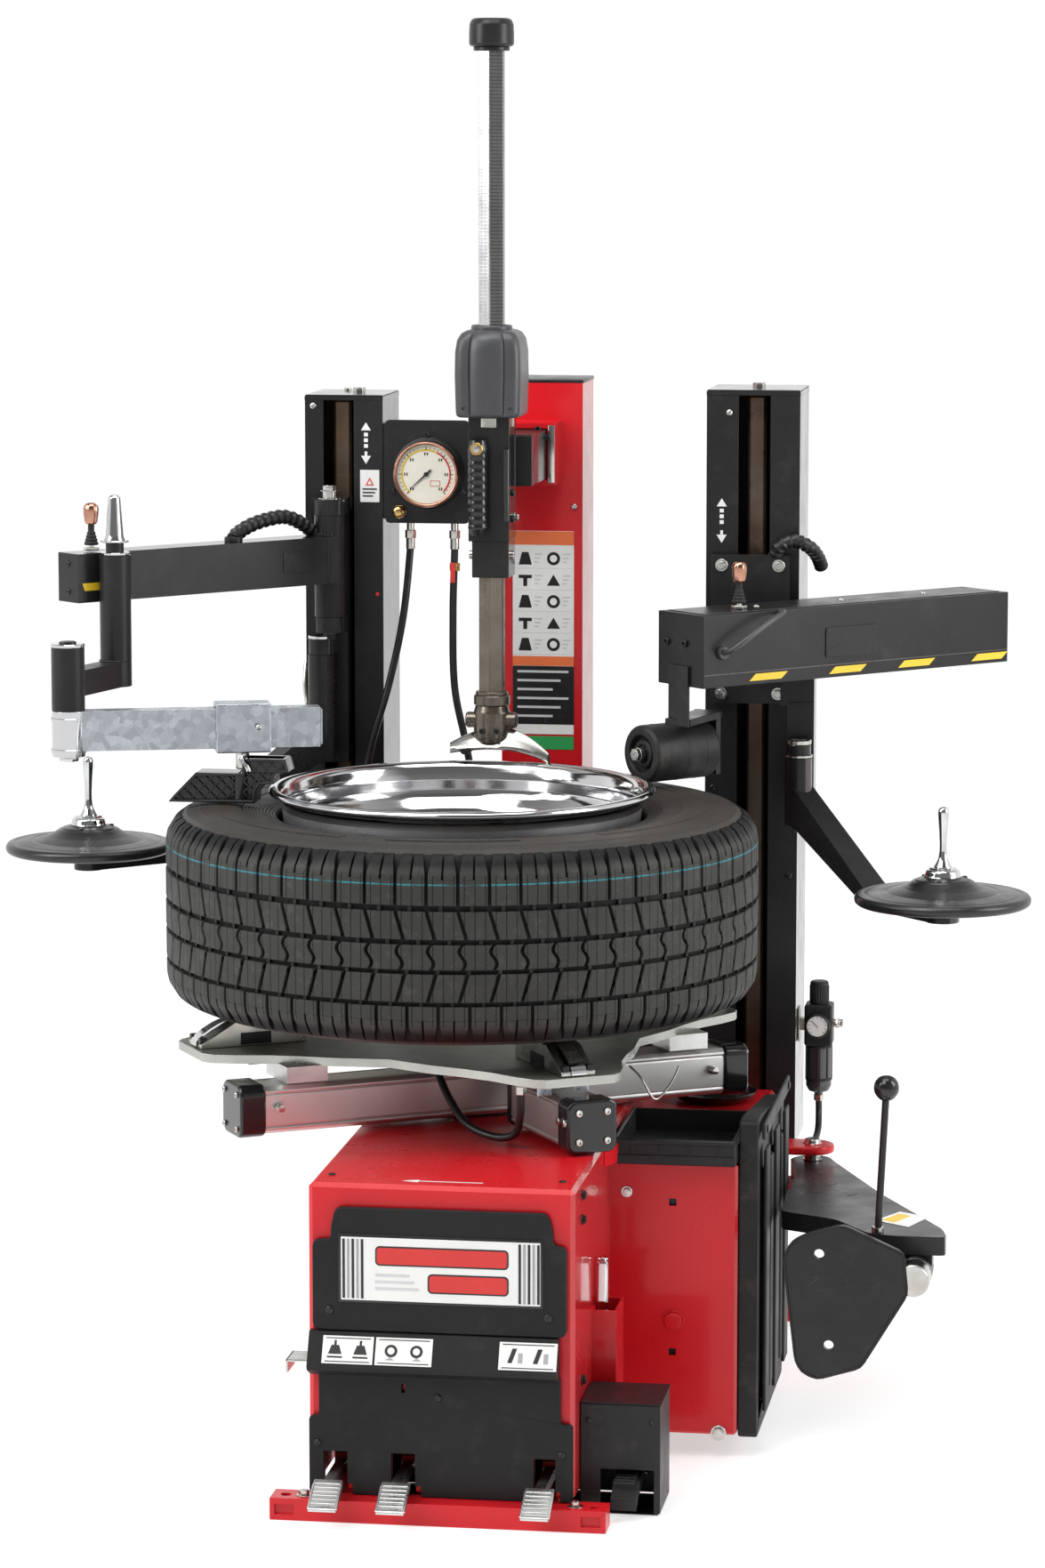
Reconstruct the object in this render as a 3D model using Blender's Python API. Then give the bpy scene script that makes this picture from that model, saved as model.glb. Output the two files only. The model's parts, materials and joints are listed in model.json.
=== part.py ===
"""Swing-arm tyre changer with tilting tower, two assist arms and a side bead
breaker.  Metres, +Z up, +X to the operator's right, -Y towards the operator.
Heights are from the floor; plan positions are from the turntable's axis and
are shifted by (TX, TY), which centres the machine's outline on the origin."""
import math

import bmesh
import bpy
from mathutils import Matrix, Vector

for _o in list(bpy.data.objects):
    bpy.data.objects.remove(_o, do_unlink=True)

# ---------------------------------------------------------------- dimensions
TX, TY = -0.0565, -0.0100          # turntable axis from the outline's centre
GAP = 0.0004                      # assembly gap between touching pieces

RAIL_H = 0.030                    # foot rails
CAB_X0, CAB_X1, CAB_X2 = -0.118, 0.238, 0.416   # nose left, nose right, side
CAB_Y0, CAB_YS, CAB_Y1 = -0.550, -0.200, 0.320  # front, step, rear
CAB_Z0, CAB_ZS, CAB_Z1 = 0.0305, 0.415, 0.450   # bottom, side top, nose top
SHEET = 0.004                     # cabinet sheet

PLATE_Z0, PLATE_Z1 = 0.5485, 0.5605             # turntable plate
LOBE_R, LOBE_W = 0.410, 0.150
LOBES = [32.0, 122.0, 212.0, 302.0]             # jaw directions, degrees
CYL_Z, CYL_H, CAP_H = 0.4902, 0.034, 0.0372     # clamp cylinders
JAW_IN, JAW_OUT = 0.2728, 0.404                 # claw face, outer end

RIM_Z0, RIM_Z1, RIM_R = 0.5905, 0.905, 0.2715
TYRE_R, TYRE_Z0, TYRE_Z1 = 0.419, 0.6005, 0.878

MAST = (0.002, 0.264)             # hexagonal mast axis
HEX_R = 0.0205                    # mast corner radius
HINGE_L = (-0.258, 0.366)         # left arm hinge
SLEEVE_L = (-0.505, 0.026)        # left link hinge
POST_L = (-0.542, -0.111)         # press arm hinge
PIN_L = (-0.309, -0.036)          # press block pin
LDISC_P, LDISC_C = (-0.273, 0.372), (-0.566, 0.100)
RDISC_P, RDISC_C = (0.445, 0.350), (0.674, 0.100)
ROLL_C, ROLL_Z = (0.270, 0.250), 0.9265
ROLL_R, ROLL_L = 0.042, 0.118
BREAK_P = (0.478, 0.262)          # bead breaker arm pivot
BLADE_P = (0.668, -0.236)         # blade pivot
TILT = (0.600, 0.606)             # tower pivot, y and z

# ----------------------------------------------------------------- materials
MATS = {
    "red": ((0.62, 0.010, 0.018), 0.32, 0.0),
    "black": ((0.018, 0.018, 0.020), 0.42, 0.0),
    "plastic": ((0.030, 0.030, 0.032), 0.50, 0.0),
    "rubber": ((0.028, 0.028, 0.029), 0.75, 0.0),
    "galv": ((0.50, 0.56, 0.57), 0.42, 0.9),
    "plate": ((0.40, 0.41, 0.40), 0.38, 0.9),
    "alu": ((0.68, 0.68, 0.66), 0.30, 1.0),
    "chrome": ((0.80, 0.80, 0.81), 0.10, 1.0),
    "steel": ((0.42, 0.40, 0.36), 0.35, 1.0),
    "iron": ((0.22, 0.22, 0.23), 0.55, 0.8),
    "dial": ((0.90, 0.89, 0.84), 0.35, 0.0),
    "brass": ((0.72, 0.52, 0.24), 0.30, 1.0),
}


def material(key, name):
    col, rough, metal = MATS[key]
    m = bpy.data.materials.new(name)
    m.use_nodes = True
    b = m.node_tree.nodes["Principled BSDF"]
    b.inputs["Base Color"].default_value = (*col, 1.0)
    b.inputs["Roughness"].default_value = rough
    b.inputs["Metallic"].default_value = metal
    m.diffuse_color = (*col, 1.0)
    return m


# --------------------------------------------------------------- raw shapes
def _mesh(bm):
    bmesh.ops.recalc_face_normals(bm, faces=bm.faces)
    me = bpy.data.meshes.new("shape")
    bm.to_mesh(me)
    bm.free()
    return me


def box(x0, x1, y0, y1, z0, z1, bevel=0.0, seg=1):
    bm = bmesh.new()
    bmesh.ops.create_cube(bm, size=1.0)
    bmesh.ops.scale(bm, vec=(x1 - x0, y1 - y0, z1 - z0), verts=bm.verts)
    bmesh.ops.translate(bm, vec=((x0 + x1) / 2, (y0 + y1) / 2, (z0 + z1) / 2), verts=bm.verts)
    if bevel:
        bmesh.ops.bevel(bm, geom=list(bm.edges), offset=bevel, segments=seg, affect='EDGES', profile=0.5)
    return _mesh(bm)


def prism(pts, lo, hi, axis="z"):
    """Extrude a closed outline between lo and hi along an axis."""
    put = {"z": lambda a, b, c: (a, b, c), "y": lambda a, b, c: (a, c, b),
           "x": lambda a, b, c: (c, a, b)}[axis]
    bm = bmesh.new()
    low = [bm.verts.new(put(a, b, lo)) for a, b in pts]
    high = [bm.verts.new(put(a, b, hi)) for a, b in pts]
    n = len(pts)
    bm.faces.new(low)
    bm.faces.new(list(reversed(high)))
    for i in range(n):
        bm.faces.new((low[i], low[(i + 1) % n], high[(i + 1) % n], high[i]))
    return _mesh(bm)


def rounded(pts, r, n=3):
    """Round every corner of an outline with n chords of an arc."""
    out = []
    m = len(pts)
    for i in range(m):
        p0, p1, p2 = (Vector(pts[i - 1]), Vector(pts[i]), Vector(pts[(i + 1) % m]))
        a, b = (p0 - p1), (p2 - p1)
        rr = min(r, a.length * 0.45, b.length * 0.45)
        a, b = p1 + a.normalized() * rr, p1 + b.normalized() * rr
        for k in range(n + 1):
            t = k / n
            q = a * (1 - t) ** 2 + p1 * 2 * t * (1 - t) + b * t ** 2
            out.append((q.x, q.y))
    return out


def lathe(profile, seg=32, centre=(0, 0, 0), axis=(0, 0, 1)):
    """Turn a closed (r, z) outline about an axis; r = 0 points close on it."""
    bm = bmesh.new()
    rings = []
    for r, z in profile:
        if r < 1e-7:
            rings.append([bm.verts.new((0, 0, z))])
        else:
            rings.append([bm.verts.new((r * math.cos(2 * math.pi * k / seg),
                                        r * math.sin(2 * math.pi * k / seg), z)) for k in range(seg)])
    n = len(rings)
    for i in range(n):
        a, b = rings[i], rings[(i + 1) % n]
        if len(a) == 1 and len(b) == 1:
            continue
        for k in range(seg):
            k2 = (k + 1) % seg
            if len(a) == 1:
                bm.faces.new((a[0], b[k], b[k2]))
            elif len(b) == 1:
                bm.faces.new((a[k], a[k2], b[0]))
            else:
                bm.faces.new((a[k], a[k2], b[k2], b[k]))
    rot = Vector((0, 0, 1)).rotation_difference(Vector(axis).normalized()).to_matrix().to_4x4()
    bm.transform(Matrix.Translation(Vector(centre)) @ rot)
    return _mesh(bm)


def rod(p0, p1, r, seg=20, r1=None):
    p0, p1 = Vector(p0), Vector(p1)
    L = (p1 - p0).length
    r1 = r if r1 is None else r1
    return lathe([(0, 0), (r, 0), (r1, L), (0, L)], seg, p0, (p1 - p0))


def ring(r0, r1, z0, z1, seg=32, centre=(0, 0, 0), axis=(0, 0, 1)):
    return lathe([(r0, z0), (r1, z0), (r1, z1), (r0, z1)], seg, centre, axis)


def turned(me, angle, pivot=(0, 0, 0), axis="Z"):
    me.transform(Matrix.Translation(Vector(pivot)) @ Matrix.Rotation(math.radians(angle), 4, axis)
                 @ Matrix.Translation(-Vector(pivot)))
    return me


def bar(p0, p1, w, z0, z1, ext0=0.0, ext1=0.0, off=0.0):
    """Straight flat-sided bar in plan from p0 to p1, w wide, between two heights."""
    a, b = Vector(p0), Vector(p1)
    u = (b - a).normalized()
    v = Vector((-u.y, u.x))
    a, b = a - u * ext0 + v * off, b + u * ext1 + v * off
    h = w / 2
    return prism([tuple(a - v * h), tuple(b - v * h), tuple(b + v * h), tuple(a + v * h)], z0, z1)


def loft(sections):
    """Skin a row of equal-length loops of points and cap both ends."""
    bm = bmesh.new()
    rows = [[bm.verts.new(p) for p in s] for s in sections]
    n = len(rows[0])
    for a, b in zip(rows, rows[1:]):
        for k in range(n):
            bm.faces.new((a[k], a[(k + 1) % n], b[(k + 1) % n], b[k]))
    bm.faces.new(list(reversed(rows[0])))
    bm.faces.new(rows[-1])
    return _mesh(bm)


# --------------------------------------------------------------- assembling
root = bpy.data.objects.new("machine", None)
root.location = (TX, TY, 0)
bpy.context.collection.objects.link(root)
NODES = []


def _temp(me, name):
    ob = bpy.data.objects.new(name, me)
    bpy.context.collection.objects.link(ob)
    ob.hide_render = True
    ob.display_type = 'WIRE'
    return ob


def node(name, key, parts, cuts=(), origin=(0, 0, 0), smooth=35.0):
    """One sub-part: a Boolean union of its shapes less its cutters."""
    parts = list(parts)
    ob = _temp(parts[0], name)
    tools = []
    for me, op in [(p, 'UNION') for p in parts[1:]] + [(c, 'DIFFERENCE') for c in cuts]:
        t = _temp(me, name + "_tool")
        tools.append(t)
        mod = ob.modifiers.new("bool", 'BOOLEAN')
        mod.operation = op
        mod.solver = 'EXACT'
        mod.object = t
    if tools:
        dg = bpy.context.evaluated_depsgraph_get()
        dg.update()
        me = bpy.data.meshes.new_from_object(ob.evaluated_get(dg))
        ob.modifiers.clear()
        ob.data = me
        for t in tools:
            bpy.data.objects.remove(t, do_unlink=True)
    bm = bmesh.new()
    bm.from_mesh(ob.data)
    bmesh.ops.remove_doubles(bm, verts=bm.verts, dist=1e-6)
    bmesh.ops.dissolve_degenerate(bm, edges=bm.edges, dist=1e-6)
    bm.to_mesh(ob.data)
    bm.free()
    ob.data.transform(Matrix.Translation(-Vector(origin)))
    ob.data.materials.clear()
    ob.data.materials.append(material(key, name))
    for p in ob.data.polygons:
        p.material_index = 0
    ob.location = origin
    ob.parent = root
    ob.hide_render = False
    ob.display_type = 'SOLID'
    ob.data.shade_smooth()
    ob.data.set_sharp_from_angle(angle=math.radians(smooth))
    NODES.append(ob)
    return ob


def catmull(pts, per=6):
    P = [Vector(p) for p in pts]
    P = [P[0] * 2 - P[1]] + P + [P[-1] * 2 - P[-2]]
    out = []
    for i in range(1, len(P) - 2):
        a, b, c, d = P[i - 1:i + 3]
        for k in range(per):
            t = k / per
            out.append(0.5 * ((2 * b) + (c - a) * t + (2 * a - 5 * b + 4 * c - d) * t * t
                              + (3 * b - a - 3 * c + d) * t ** 3))
    out.append(P[-2])
    return out


def hose(name, key, pts, r, per=6):
    cu = bpy.data.curves.new(name, 'CURVE')
    cu.dimensions = '3D'
    cu.bevel_depth = r
    cu.bevel_resolution = 2
    cu.use_fill_caps = True
    line = catmull(pts, per)
    sp = cu.splines.new('POLY')
    sp.points.add(len(line) - 1)
    for q, p in zip(sp.points, line):
        q.co = (*p, 1.0)
    cu.materials.append(material(key, name))
    ob = bpy.data.objects.new(name, cu)
    bpy.context.collection.objects.link(ob)
    ob.parent = root
    NODES.append(ob)
    return ob


def polar(r, deg, z=0.0):
    return (r * math.cos(math.radians(deg)), r * math.sin(math.radians(deg)), z)


# =================================================================== base
node("base_frame", "red",
     [box(-0.165, 0.285, -0.590, -0.546, 0, RAIL_H),
      box(-0.095, -0.055, -0.560, 0.600, 0.0, RAIL_H - 0.0004),
      box(0.175, 0.215, -0.560, 0.600, 0.0, RAIL_H - 0.0004),
      box(-0.300, 0.440, 0.570, 0.640, 0, RAIL_H)],
     [box(-0.158, -0.132, -0.60, -0.585, 0.008, 0.022), box(0.252, 0.278, -0.60, -0.585, 0.008, 0.022),
      rod((-0.146, -0.570, -0.01), (-0.146, -0.570, 0.05), 0.007, 12),
      rod((0.266, -0.570, -0.01), (0.266, -0.570, 0.05), 0.007, 12)])

# cabinet: open-bottomed sheet shell, nose plus wide side body
_s = SHEET
SLOTS = [(-0.097, -0.065), (-0.006, 0.026), (0.185, 0.214)]
node("cabinet", "red",
     [box(CAB_X0, CAB_X1, CAB_Y0, CAB_Y1, CAB_Z0, CAB_Z1, 0.006, 1),
      box(CAB_X1 - 0.02, CAB_X2, CAB_YS, CAB_Y1 - 0.0005, CAB_Z0 + 0.0005, CAB_ZS, 0.004, 1),
      box(CAB_X1 - 0.006, 0.272, -0.388, -0.312, 0.118, 0.250)],
     [box(CAB_X0 + _s, CAB_X1 - _s, CAB_Y0 + _s, CAB_Y1 - _s, -0.01, CAB_Z1 - _s),
      box(CAB_X1 - 0.03, CAB_X2 - _s, CAB_YS + _s, CAB_Y1 - _s, -0.01, CAB_ZS - _s),
      box(CAB_X1 + 0.003, 0.2695, -0.385, -0.315, 0.122, 0.300),
      rod((0, 0, 0.40), (0, 0, 0.50), 0.085, 32)]
     + [box(a, b, CAB_Y0 - 0.02, CAB_Y0 + 0.02, -0.01, 0.089) for a, b in SLOTS]
     + [box(0.321, 0.331, CAB_YS - 0.01, CAB_YS + 0.01, z - 0.005, z + 0.005) for z in (0.359, 0.147)])

_shelf = [(-0.5465, 0.2525), (-0.5630, 0.2525), (-0.5850, 0.2095), (-0.5830, 0.2040), (-0.5600, 0.1930),
          (-0.5465, 0.1930)]
node("name_cover", "black",
     [prism(rounded([(-0.111, 0.2535), (0.228, 0.2535), (0.228, 0.376), (0.210, 0.376), (0.210, 0.394),
                     (0.204, 0.420), (-0.080, 0.420), (-0.086, 0.394), (-0.086, 0.376), (-0.111, 0.376)],
                    0.010, 3), -0.5600, CAB_Y0 - GAP, "y")])

_cov = rounded([(-0.1165, 0.0310), (0.2365, 0.0310), (0.2365, 0.136), (0.220, 0.136), (0.220, 0.200),
                (-0.103, 0.200), (-0.103, 0.136), (-0.1165, 0.136)], 0.005, 2)
_shelf = [(y if y < -0.55 else CAB_Y0 - GAP, z) for y, z in _shelf]
node("pedal_cover", "black",
     [prism(_cov, -0.5600, CAB_Y0 - GAP, "y"), prism(_shelf, -0.1150, 0.2180, "x")],
     [box(a, b, -0.59, -0.53, 0.0, 0.089) for a, b in SLOTS]
     + [box(a, b, -0.59, -0.53, 0.0, 0.045) for a, b in
        ((-0.080, -0.058), (0.010, 0.034), (0.200, 0.2205))]
     + [box(0.008, 0.013, -0.59, -0.53, 0.172, 0.184)])

node("pedal_box", "black",
     [box(0.2386, 0.346, -0.500, -0.395, 0.003, 0.151)],
     [box(0.2416, 0.343, -0.497, -0.398, -0.01, 0.148), box(0.266, 0.337, -0.52, -0.49, -0.01, 0.062)])

node("side_pad", "rubber",
     [prism(rounded([(-0.196, 0.026), (0.168, 0.026), (0.168, 0.440), (-0.150, 0.475), (-0.196, 0.475)],
                    0.010, 2), 0.4170, 0.4440, "x")]
     + [box(0.440, 0.4505, -0.150 + 0.075 * i, -0.112 + 0.075 * i, 0.070, 0.400) for i in range(4)])

node("tool_tray", "plastic",
     [box(0.2445, 0.4158, -0.225, -0.010, CAB_ZS + 0.0004, 0.4515, 0.003, 1)],
     [box(0.2505, 0.4098, -0.219, -0.016, 0.4195, 0.480)])

node("gearbox", "iron",
     [lathe([(0.0, 0.200), (0.075, 0.200), (0.112, 0.230), (0.112, 0.330), (0.070, 0.352), (0.062, 0.428),
             (0.0, 0.428)], 28),
      box(-0.104, 0.02, -0.045, 0.045, 0.235, 0.325)],
     [rod((0, 0, 0.335), (0, 0, 0.45), 0.0315, 24)])

node("drive_motor", "iron",
     [rod((0.135, 0.190, 0.090), (0.135, 0.190, 0.330), 0.070, 24),
      box(0.105, 0.165, 0.105, 0.140, 0.15, 0.27),
      rod((0.135, 0.190, 0.050), (0.135, 0.190, 0.10), 0.030, 20)])

# rear structure that carries the tower and both columns
node("tower_bracket", "red",
     [box(-0.020, 0.240, CAB_Y1 + 0.0006, 0.600, 0.0308, 0.4400),
      box(-0.0196, 0.2396, 0.4560, 0.6280, 0.0312, 0.5450),
      box(-0.3000, 0.2970, 0.4600, 0.5400, 0.4650, 0.5300),
      box(-0.0400, -0.0240, 0.572, 0.628, 0.480, 0.640),
      box(0.1070, 0.1230, 0.572, 0.628, 0.480, 0.640),
      rod((-0.036, TILT[0], TILT[1]), (0.119, TILT[0], TILT[1]), 0.012, 16)],
     [box(-0.014, 0.234, CAB_Y1 + 0.0066, 0.622, 0.0, 0.4340), box(-0.014, 0.234, 0.5450, 0.622, 0.0, 0.539)])


def column(name, x0, x1, s0, s1, z0, z1):
    w = 0.005
    y0, y1 = 0.420, 0.560
    out = [(x0, y0), (s0, y0), (s0, y0 + w), (x0 + w, y0 + w), (x0 + w, y1 - w), (x1 - w, y1 - w),
           (x1 - w, y0 + w), (s1, y0 + w), (s1, y0), (x1, y0), (x1, y1), (x0, y1)]
    node(name, "black", [prism(out, z0, z1 - 0.002), box(x0 - 0.0004, x1 + 0.0004, y0 - 0.0004, y1 + 0.0004,
                                                        z1 - 0.006, z1),
                         box(x0 + 0.001, x1 - 0.001, y0 + 0.0303, y1 - 0.001, z0 + 0.001, z0 + 0.008)])


column("left_column", -0.305, -0.187, -0.277, -0.231, 0.5306, 1.4275)
column("right_column", 0.2985, 0.437, 0.346, 0.393, 0.310, 1.4400)
node("left_guide_bar", "steel", [box(-0.268, -0.240, 0.4510, 0.4790, 0.5396, 1.4210, 0.004, 1)])
node("right_guide_bar", "steel", [box(0.356, 0.384, 0.4510, 0.4790, 0.3190, 1.4335, 0.004, 1)])

# ============================================================ gauge and air
node("gauge_panel", "black",
     [prism(rounded([(-0.1835, 1.239), (-0.0575, 1.239), (-0.0575, 1.393), (-0.1835, 1.393)], 0.006, 2),
            0.4215, 0.4255, "y"),
      box(-0.1862, -0.1822, 0.4215, 0.4600, 1.245, 1.387)],
     [rod((-0.162, 0.41, 1.256), (-0.162, 0.44, 1.256), 0.0062, 14)])
node("pressure_gauge", "dial",
     [lathe([(0.0, 0.0), (0.036, 0.0), (0.049, 0.006), (0.049, 0.026), (0.045, 0.029), (0.0, 0.026)], 32,
            (-0.118, 0.4211, 1.314), (0, -1, 0))])
node("air_filter_unit", "plastic",
     [box(0.4374, 0.4500, 0.452, 0.488, 0.470, 0.525),
      rod((0.468, 0.470, 0.378), (0.468, 0.470, 0.462), 0.0195, 16),
      box(0.4460, 0.4900, 0.448, 0.492, 0.455, 0.520, 0.004, 1),
      rod((0.468, 0.470, 0.515), (0.468, 0.470, 0.553), 0.0150, 16),
      rod((0.468, 0.452, 0.489), (0.468, 0.428, 0.489), 0.0185, 16)])
hose("gauge_hose_1", "rubber",
     [(-0.150, 0.4470, 1.2360), (-0.150, 0.4470, 1.205), (-0.158, 0.428, 1.10), (-0.176, 0.406, 1.00),
      (-0.205, 0.400, 0.895), (-0.210, 0.402, 0.82), (-0.192, 0.407, 0.73), (-0.165, 0.420, 0.66), (-0.128, 0.444, 0.60),
      (-0.104, 0.452, 0.555), (-0.100, 0.450, 0.480), (-0.098, 0.420, 0.4300), (-0.096, 0.370, 0.400),
      (-0.095, 0.3240, 0.3980)], 0.0055, 4)
hose("gauge_hose_2", "rubber",
     [(-0.083, 0.4470, 1.2360), (-0.083, 0.4470, 1.200), (-0.086, 0.448, 1.10), (-0.084, 0.450, 0.99),
      (-0.066, 0.450, 0.900), (-0.050, 0.448, 0.80), (-0.046, 0.444, 0.68), (-0.050, 0.444, 0.58),
      (-0.054, 0.444, 0.50), (-0.056, 0.420, 0.425), (-0.056, 0.370, 0.384), (-0.056, 0.3240, 0.3820)],
     0.0055, 4)
node("bleed_button", "brass",
     [lathe([(0.0, 0.0), (0.0055, 0.0), (0.0055, 0.018), (0.0095, 0.020), (0.0095, 0.028), (0.007, 0.030),
             (0.0, 0.030)], 16, (-0.162, 0.4350, 1.256), (0, -1, 0))],
     origin=(-0.162, 0.4215, 1.256))

# ================================================================= pedals
def pedal(name, xc, w, arm_w=0.014):
    prof = [(-0.640, 0.0285), (-0.638, 0.0345), (-0.600, 0.0535), (-0.585, 0.0580), (-0.480, 0.0600),
            (-0.480, 0.0450), (-0.585, 0.0440), (-0.600, 0.0400)]
    pad = [(-0.640, 0.0285), (-0.638, 0.0345), (-0.600, 0.0535), (-0.5875, 0.0575), (-0.5875, 0.0480),
           (-0.598, 0.0435)]
    node(name, "alu",
         [prism(pad, xc - w / 2, xc + w / 2, "x"), prism(prof, xc - arm_w / 2, xc + arm_w / 2, "x"),
          rod((xc - 0.0115, -0.475, 0.0525), (xc + 0.0115, -0.475, 0.0525), 0.0120, 14)],
         origin=(xc, -0.475, 0.0525))


pedal("tower_pedal", -0.0845, 0.037)
pedal("clamp_pedal", 0.0060, 0.037)
pedal("rotation_pedal", 0.1975, 0.037)
node("inflation_pedal", "plastic",
     [prism([(-0.534, 0.0160), (-0.534, 0.0330), (-0.505, 0.0480), (-0.420, 0.0520), (-0.420, 0.0380),
             (-0.505, 0.0280)], 0.284, 0.318, "x"),
      rod((0.281, -0.418, 0.045), (0.321, -0.418, 0.045), 0.0110, 14)],
     origin=(0.301, -0.418, 0.045))
node("tyre_lever", "chrome",
     [loft([[(0.2445, -0.366, 0.1235), (0.2515, -0.366, 0.1235), (0.2515, -0.338, 0.1235), (0.2445, -0.338, 0.1235)],
            [(0.2430, -0.362, 0.2600), (0.2550, -0.362, 0.2600), (0.2550, -0.340, 0.2600), (0.2430, -0.340, 0.2600)],
            [(0.2440, -0.364, 0.3060), (0.2560, -0.364, 0.3060), (0.2560, -0.340, 0.3060), (0.2440, -0.340, 0.3060)],
            [(0.2470, -0.360, 0.3160), (0.2530, -0.360, 0.3160), (0.2530, -0.344, 0.3160), (0.2470, -0.344, 0.3160)]])],
     origin=(0.249, -0.350, 0.1235))

# ============================================================== turntable
def lobe_outline():
    half = [(LOBE_R, 0.050), (LOBE_R - 0.010, 0.064), (0.372, 0.080), (0.330, 0.098), (0.290, 0.124),
            (0.254, 0.152)]
    out = []
    for a in LOBES:
        c, s = math.cos(math.radians(a)), math.sin(math.radians(a))
        for u, v in [(u, -v) for u, v in reversed(half)] + half + [(0.190 * 1.0, 0.190 * 1.0)]:
            out.append((u * c - v * s, u * s + v * c))
    return out


def radial(profile, deg, w):
    """Extrude an (r, z) outline w wide about a radial line."""
    return turned(prism(profile, -w / 2, w / 2, "y"), deg)


node("turntable_plate", "plate",
     [prism(lobe_outline(), PLATE_Z0, PLATE_Z1),
      rod((0, 0, 0.452), (0, 0, PLATE_Z0 + 0.004), 0.056, 28),
      rod((0, 0, 0.345), (0, 0, 0.460), 0.0300, 24),
      turned(box(-0.32, -0.26, -0.140, -0.058, 0.5270, 0.5500), 32.0),
      turned(box(0.26, 0.32, -0.140, -0.058, 0.5270, 0.5500), 32.0),
      turned(box(0.23, 0.29, -0.012, 0.060, 0.5270, 0.5500), 302.0)],
     [turned(box(0.288, 0.398, -0.012, 0.012, 0.50, 0.60), a) for a in LOBES])

_jaw = [(0.246, 0.5610), (JAW_OUT, 0.5610), (JAW_OUT, 0.5670), (0.352, 0.5965), (JAW_IN, 0.5985),
        (JAW_IN, 0.5901), (0.246, 0.5901)]
for _i, _a in enumerate(LOBES):
    node("jaw_%d" % (_i + 1), "galv",
         [radial(_jaw, _a, 0.050), radial([(0.296, 0.5300), (0.328, 0.5300), (0.328, 0.5650), (0.296, 0.5650)], _a, 0.018)],
         origin=polar(0.33, _a, 0.561))

_c = 32.0
node("clamp_cylinder_1", "alu",
     [turned(box(-0.362, 0.362, -0.100 - CYL_H, -0.100 + CYL_H, CYL_Z - CYL_H, CYL_Z + CYL_H, 0.005, 1), _c)]
     + [turned(box(a, b, -0.100 - CAP_H, -0.100 + CAP_H, CYL_Z - CAP_H, CYL_Z + CAP_H, 0.008, 1), _c)
        for a, b in ((-0.388, -0.352), (0.352, 0.388))])
node("clamp_cylinder_2", "alu",
     [turned(box(0.195, 0.385, 0.020 - CYL_H, 0.020 + CYL_H, CYL_Z - CYL_H, CYL_Z + CYL_H, 0.005, 1), 302.0),
      turned(box(0.372, 0.408, 0.020 - CAP_H, 0.020 + CAP_H, CYL_Z - CAP_H, CYL_Z + CAP_H, 0.008, 1), 302.0)])
hose("clamp_hose_1", "rubber",
     [(-0.020, -0.1600, 0.5330), (-0.005, -0.190, 0.5300), (0.018, -0.225, 0.500), (0.050, -0.268, 0.474),
      (0.092, -0.296, 0.4640), (0.122, -0.312, 0.4720), (0.132, -0.326, 0.500), (0.133, -0.330, 0.530),
      (0.133, -0.330, 0.5480)], 0.0055, 5)

node("wheel_rim", "alu",
     [lathe([(RIM_R, RIM_Z1 - 0.004), (RIM_R, 0.8960), (0.2610, 0.8900), (0.2540, 0.8800), (0.2520, 0.8500),
             (0.2340, 0.8300), (0.2280, 0.8000), (0.2280, 0.6700), (0.2450, 0.6400), (0.2540, 0.6180),
             (0.2580, 0.6030), (RIM_R, 0.5990), (RIM_R, RIM_Z0), (0.2610, RIM_Z0), (0.2480, 0.6000),
             (0.2380, 0.6400), (0.2200, 0.6700), (0.2200, 0.8000), (0.2270, 0.8300), (0.2440, 0.8560),
             (0.2480, 0.8900), (0.2600, RIM_Z1)], 40),
      lathe([(0.0330, 0.8020), (0.0800, 0.8020), (0.0840, 0.8300), (0.0700, 0.8420), (0.0330, 0.8420)], 30)]
     + [turned(box(0.070, 0.2240, -0.012, 0.012, 0.8050, 0.8350), 36 * k) for k in range(10)])

node("tyre", "rubber",
     [lathe([(0.2620, 0.8640), (0.3000, 0.8740), (0.3450, TYRE_Z1), (0.3850, 0.8730), (0.4060, 0.8620),
             (TYRE_R, 0.8450), (TYRE_R, 0.6330), (0.4060, 0.6160), (0.3850, 0.6060), (0.3450, TYRE_Z0),
             (0.3000, 0.6040), (0.2620, 0.6140), (0.2620, 0.6300), (0.2760, 0.6300), (0.3000, 0.6170),
             (0.3450, 0.6130), (0.3850, 0.6220), (0.4020, 0.6400), (0.4020, 0.8390), (0.3850, 0.8570),
             (0.3450, 0.8650), (0.3000, 0.8610), (0.2760, 0.8500), (0.2620, 0.8500)], 40)])

# ================================================================== tower
node("tower", "red",
     [box(-0.020, 0.103, 0.500, 0.620, 0.575, 1.446), box(-0.0195, 0.0700, 0.4400, 0.5040, 1.2960, 1.3890)],
     [box(-0.015, 0.098, 0.505, 0.615, 0.560, 1.441),
      box(-0.0120, 0.0580, 0.400, 0.640, 1.3050, 1.3810),
      rod((-0.04, TILT[0], TILT[1]), (0.12, TILT[0], TILT[1]), 0.0126, 16)])


def hexagon(r, cx, cy, turn=30.0):
    return [(cx + r * math.cos(math.radians(60 * k + turn)), cy + r * math.sin(math.radians(60 * k + turn)))
            for k in range(6)]


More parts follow.
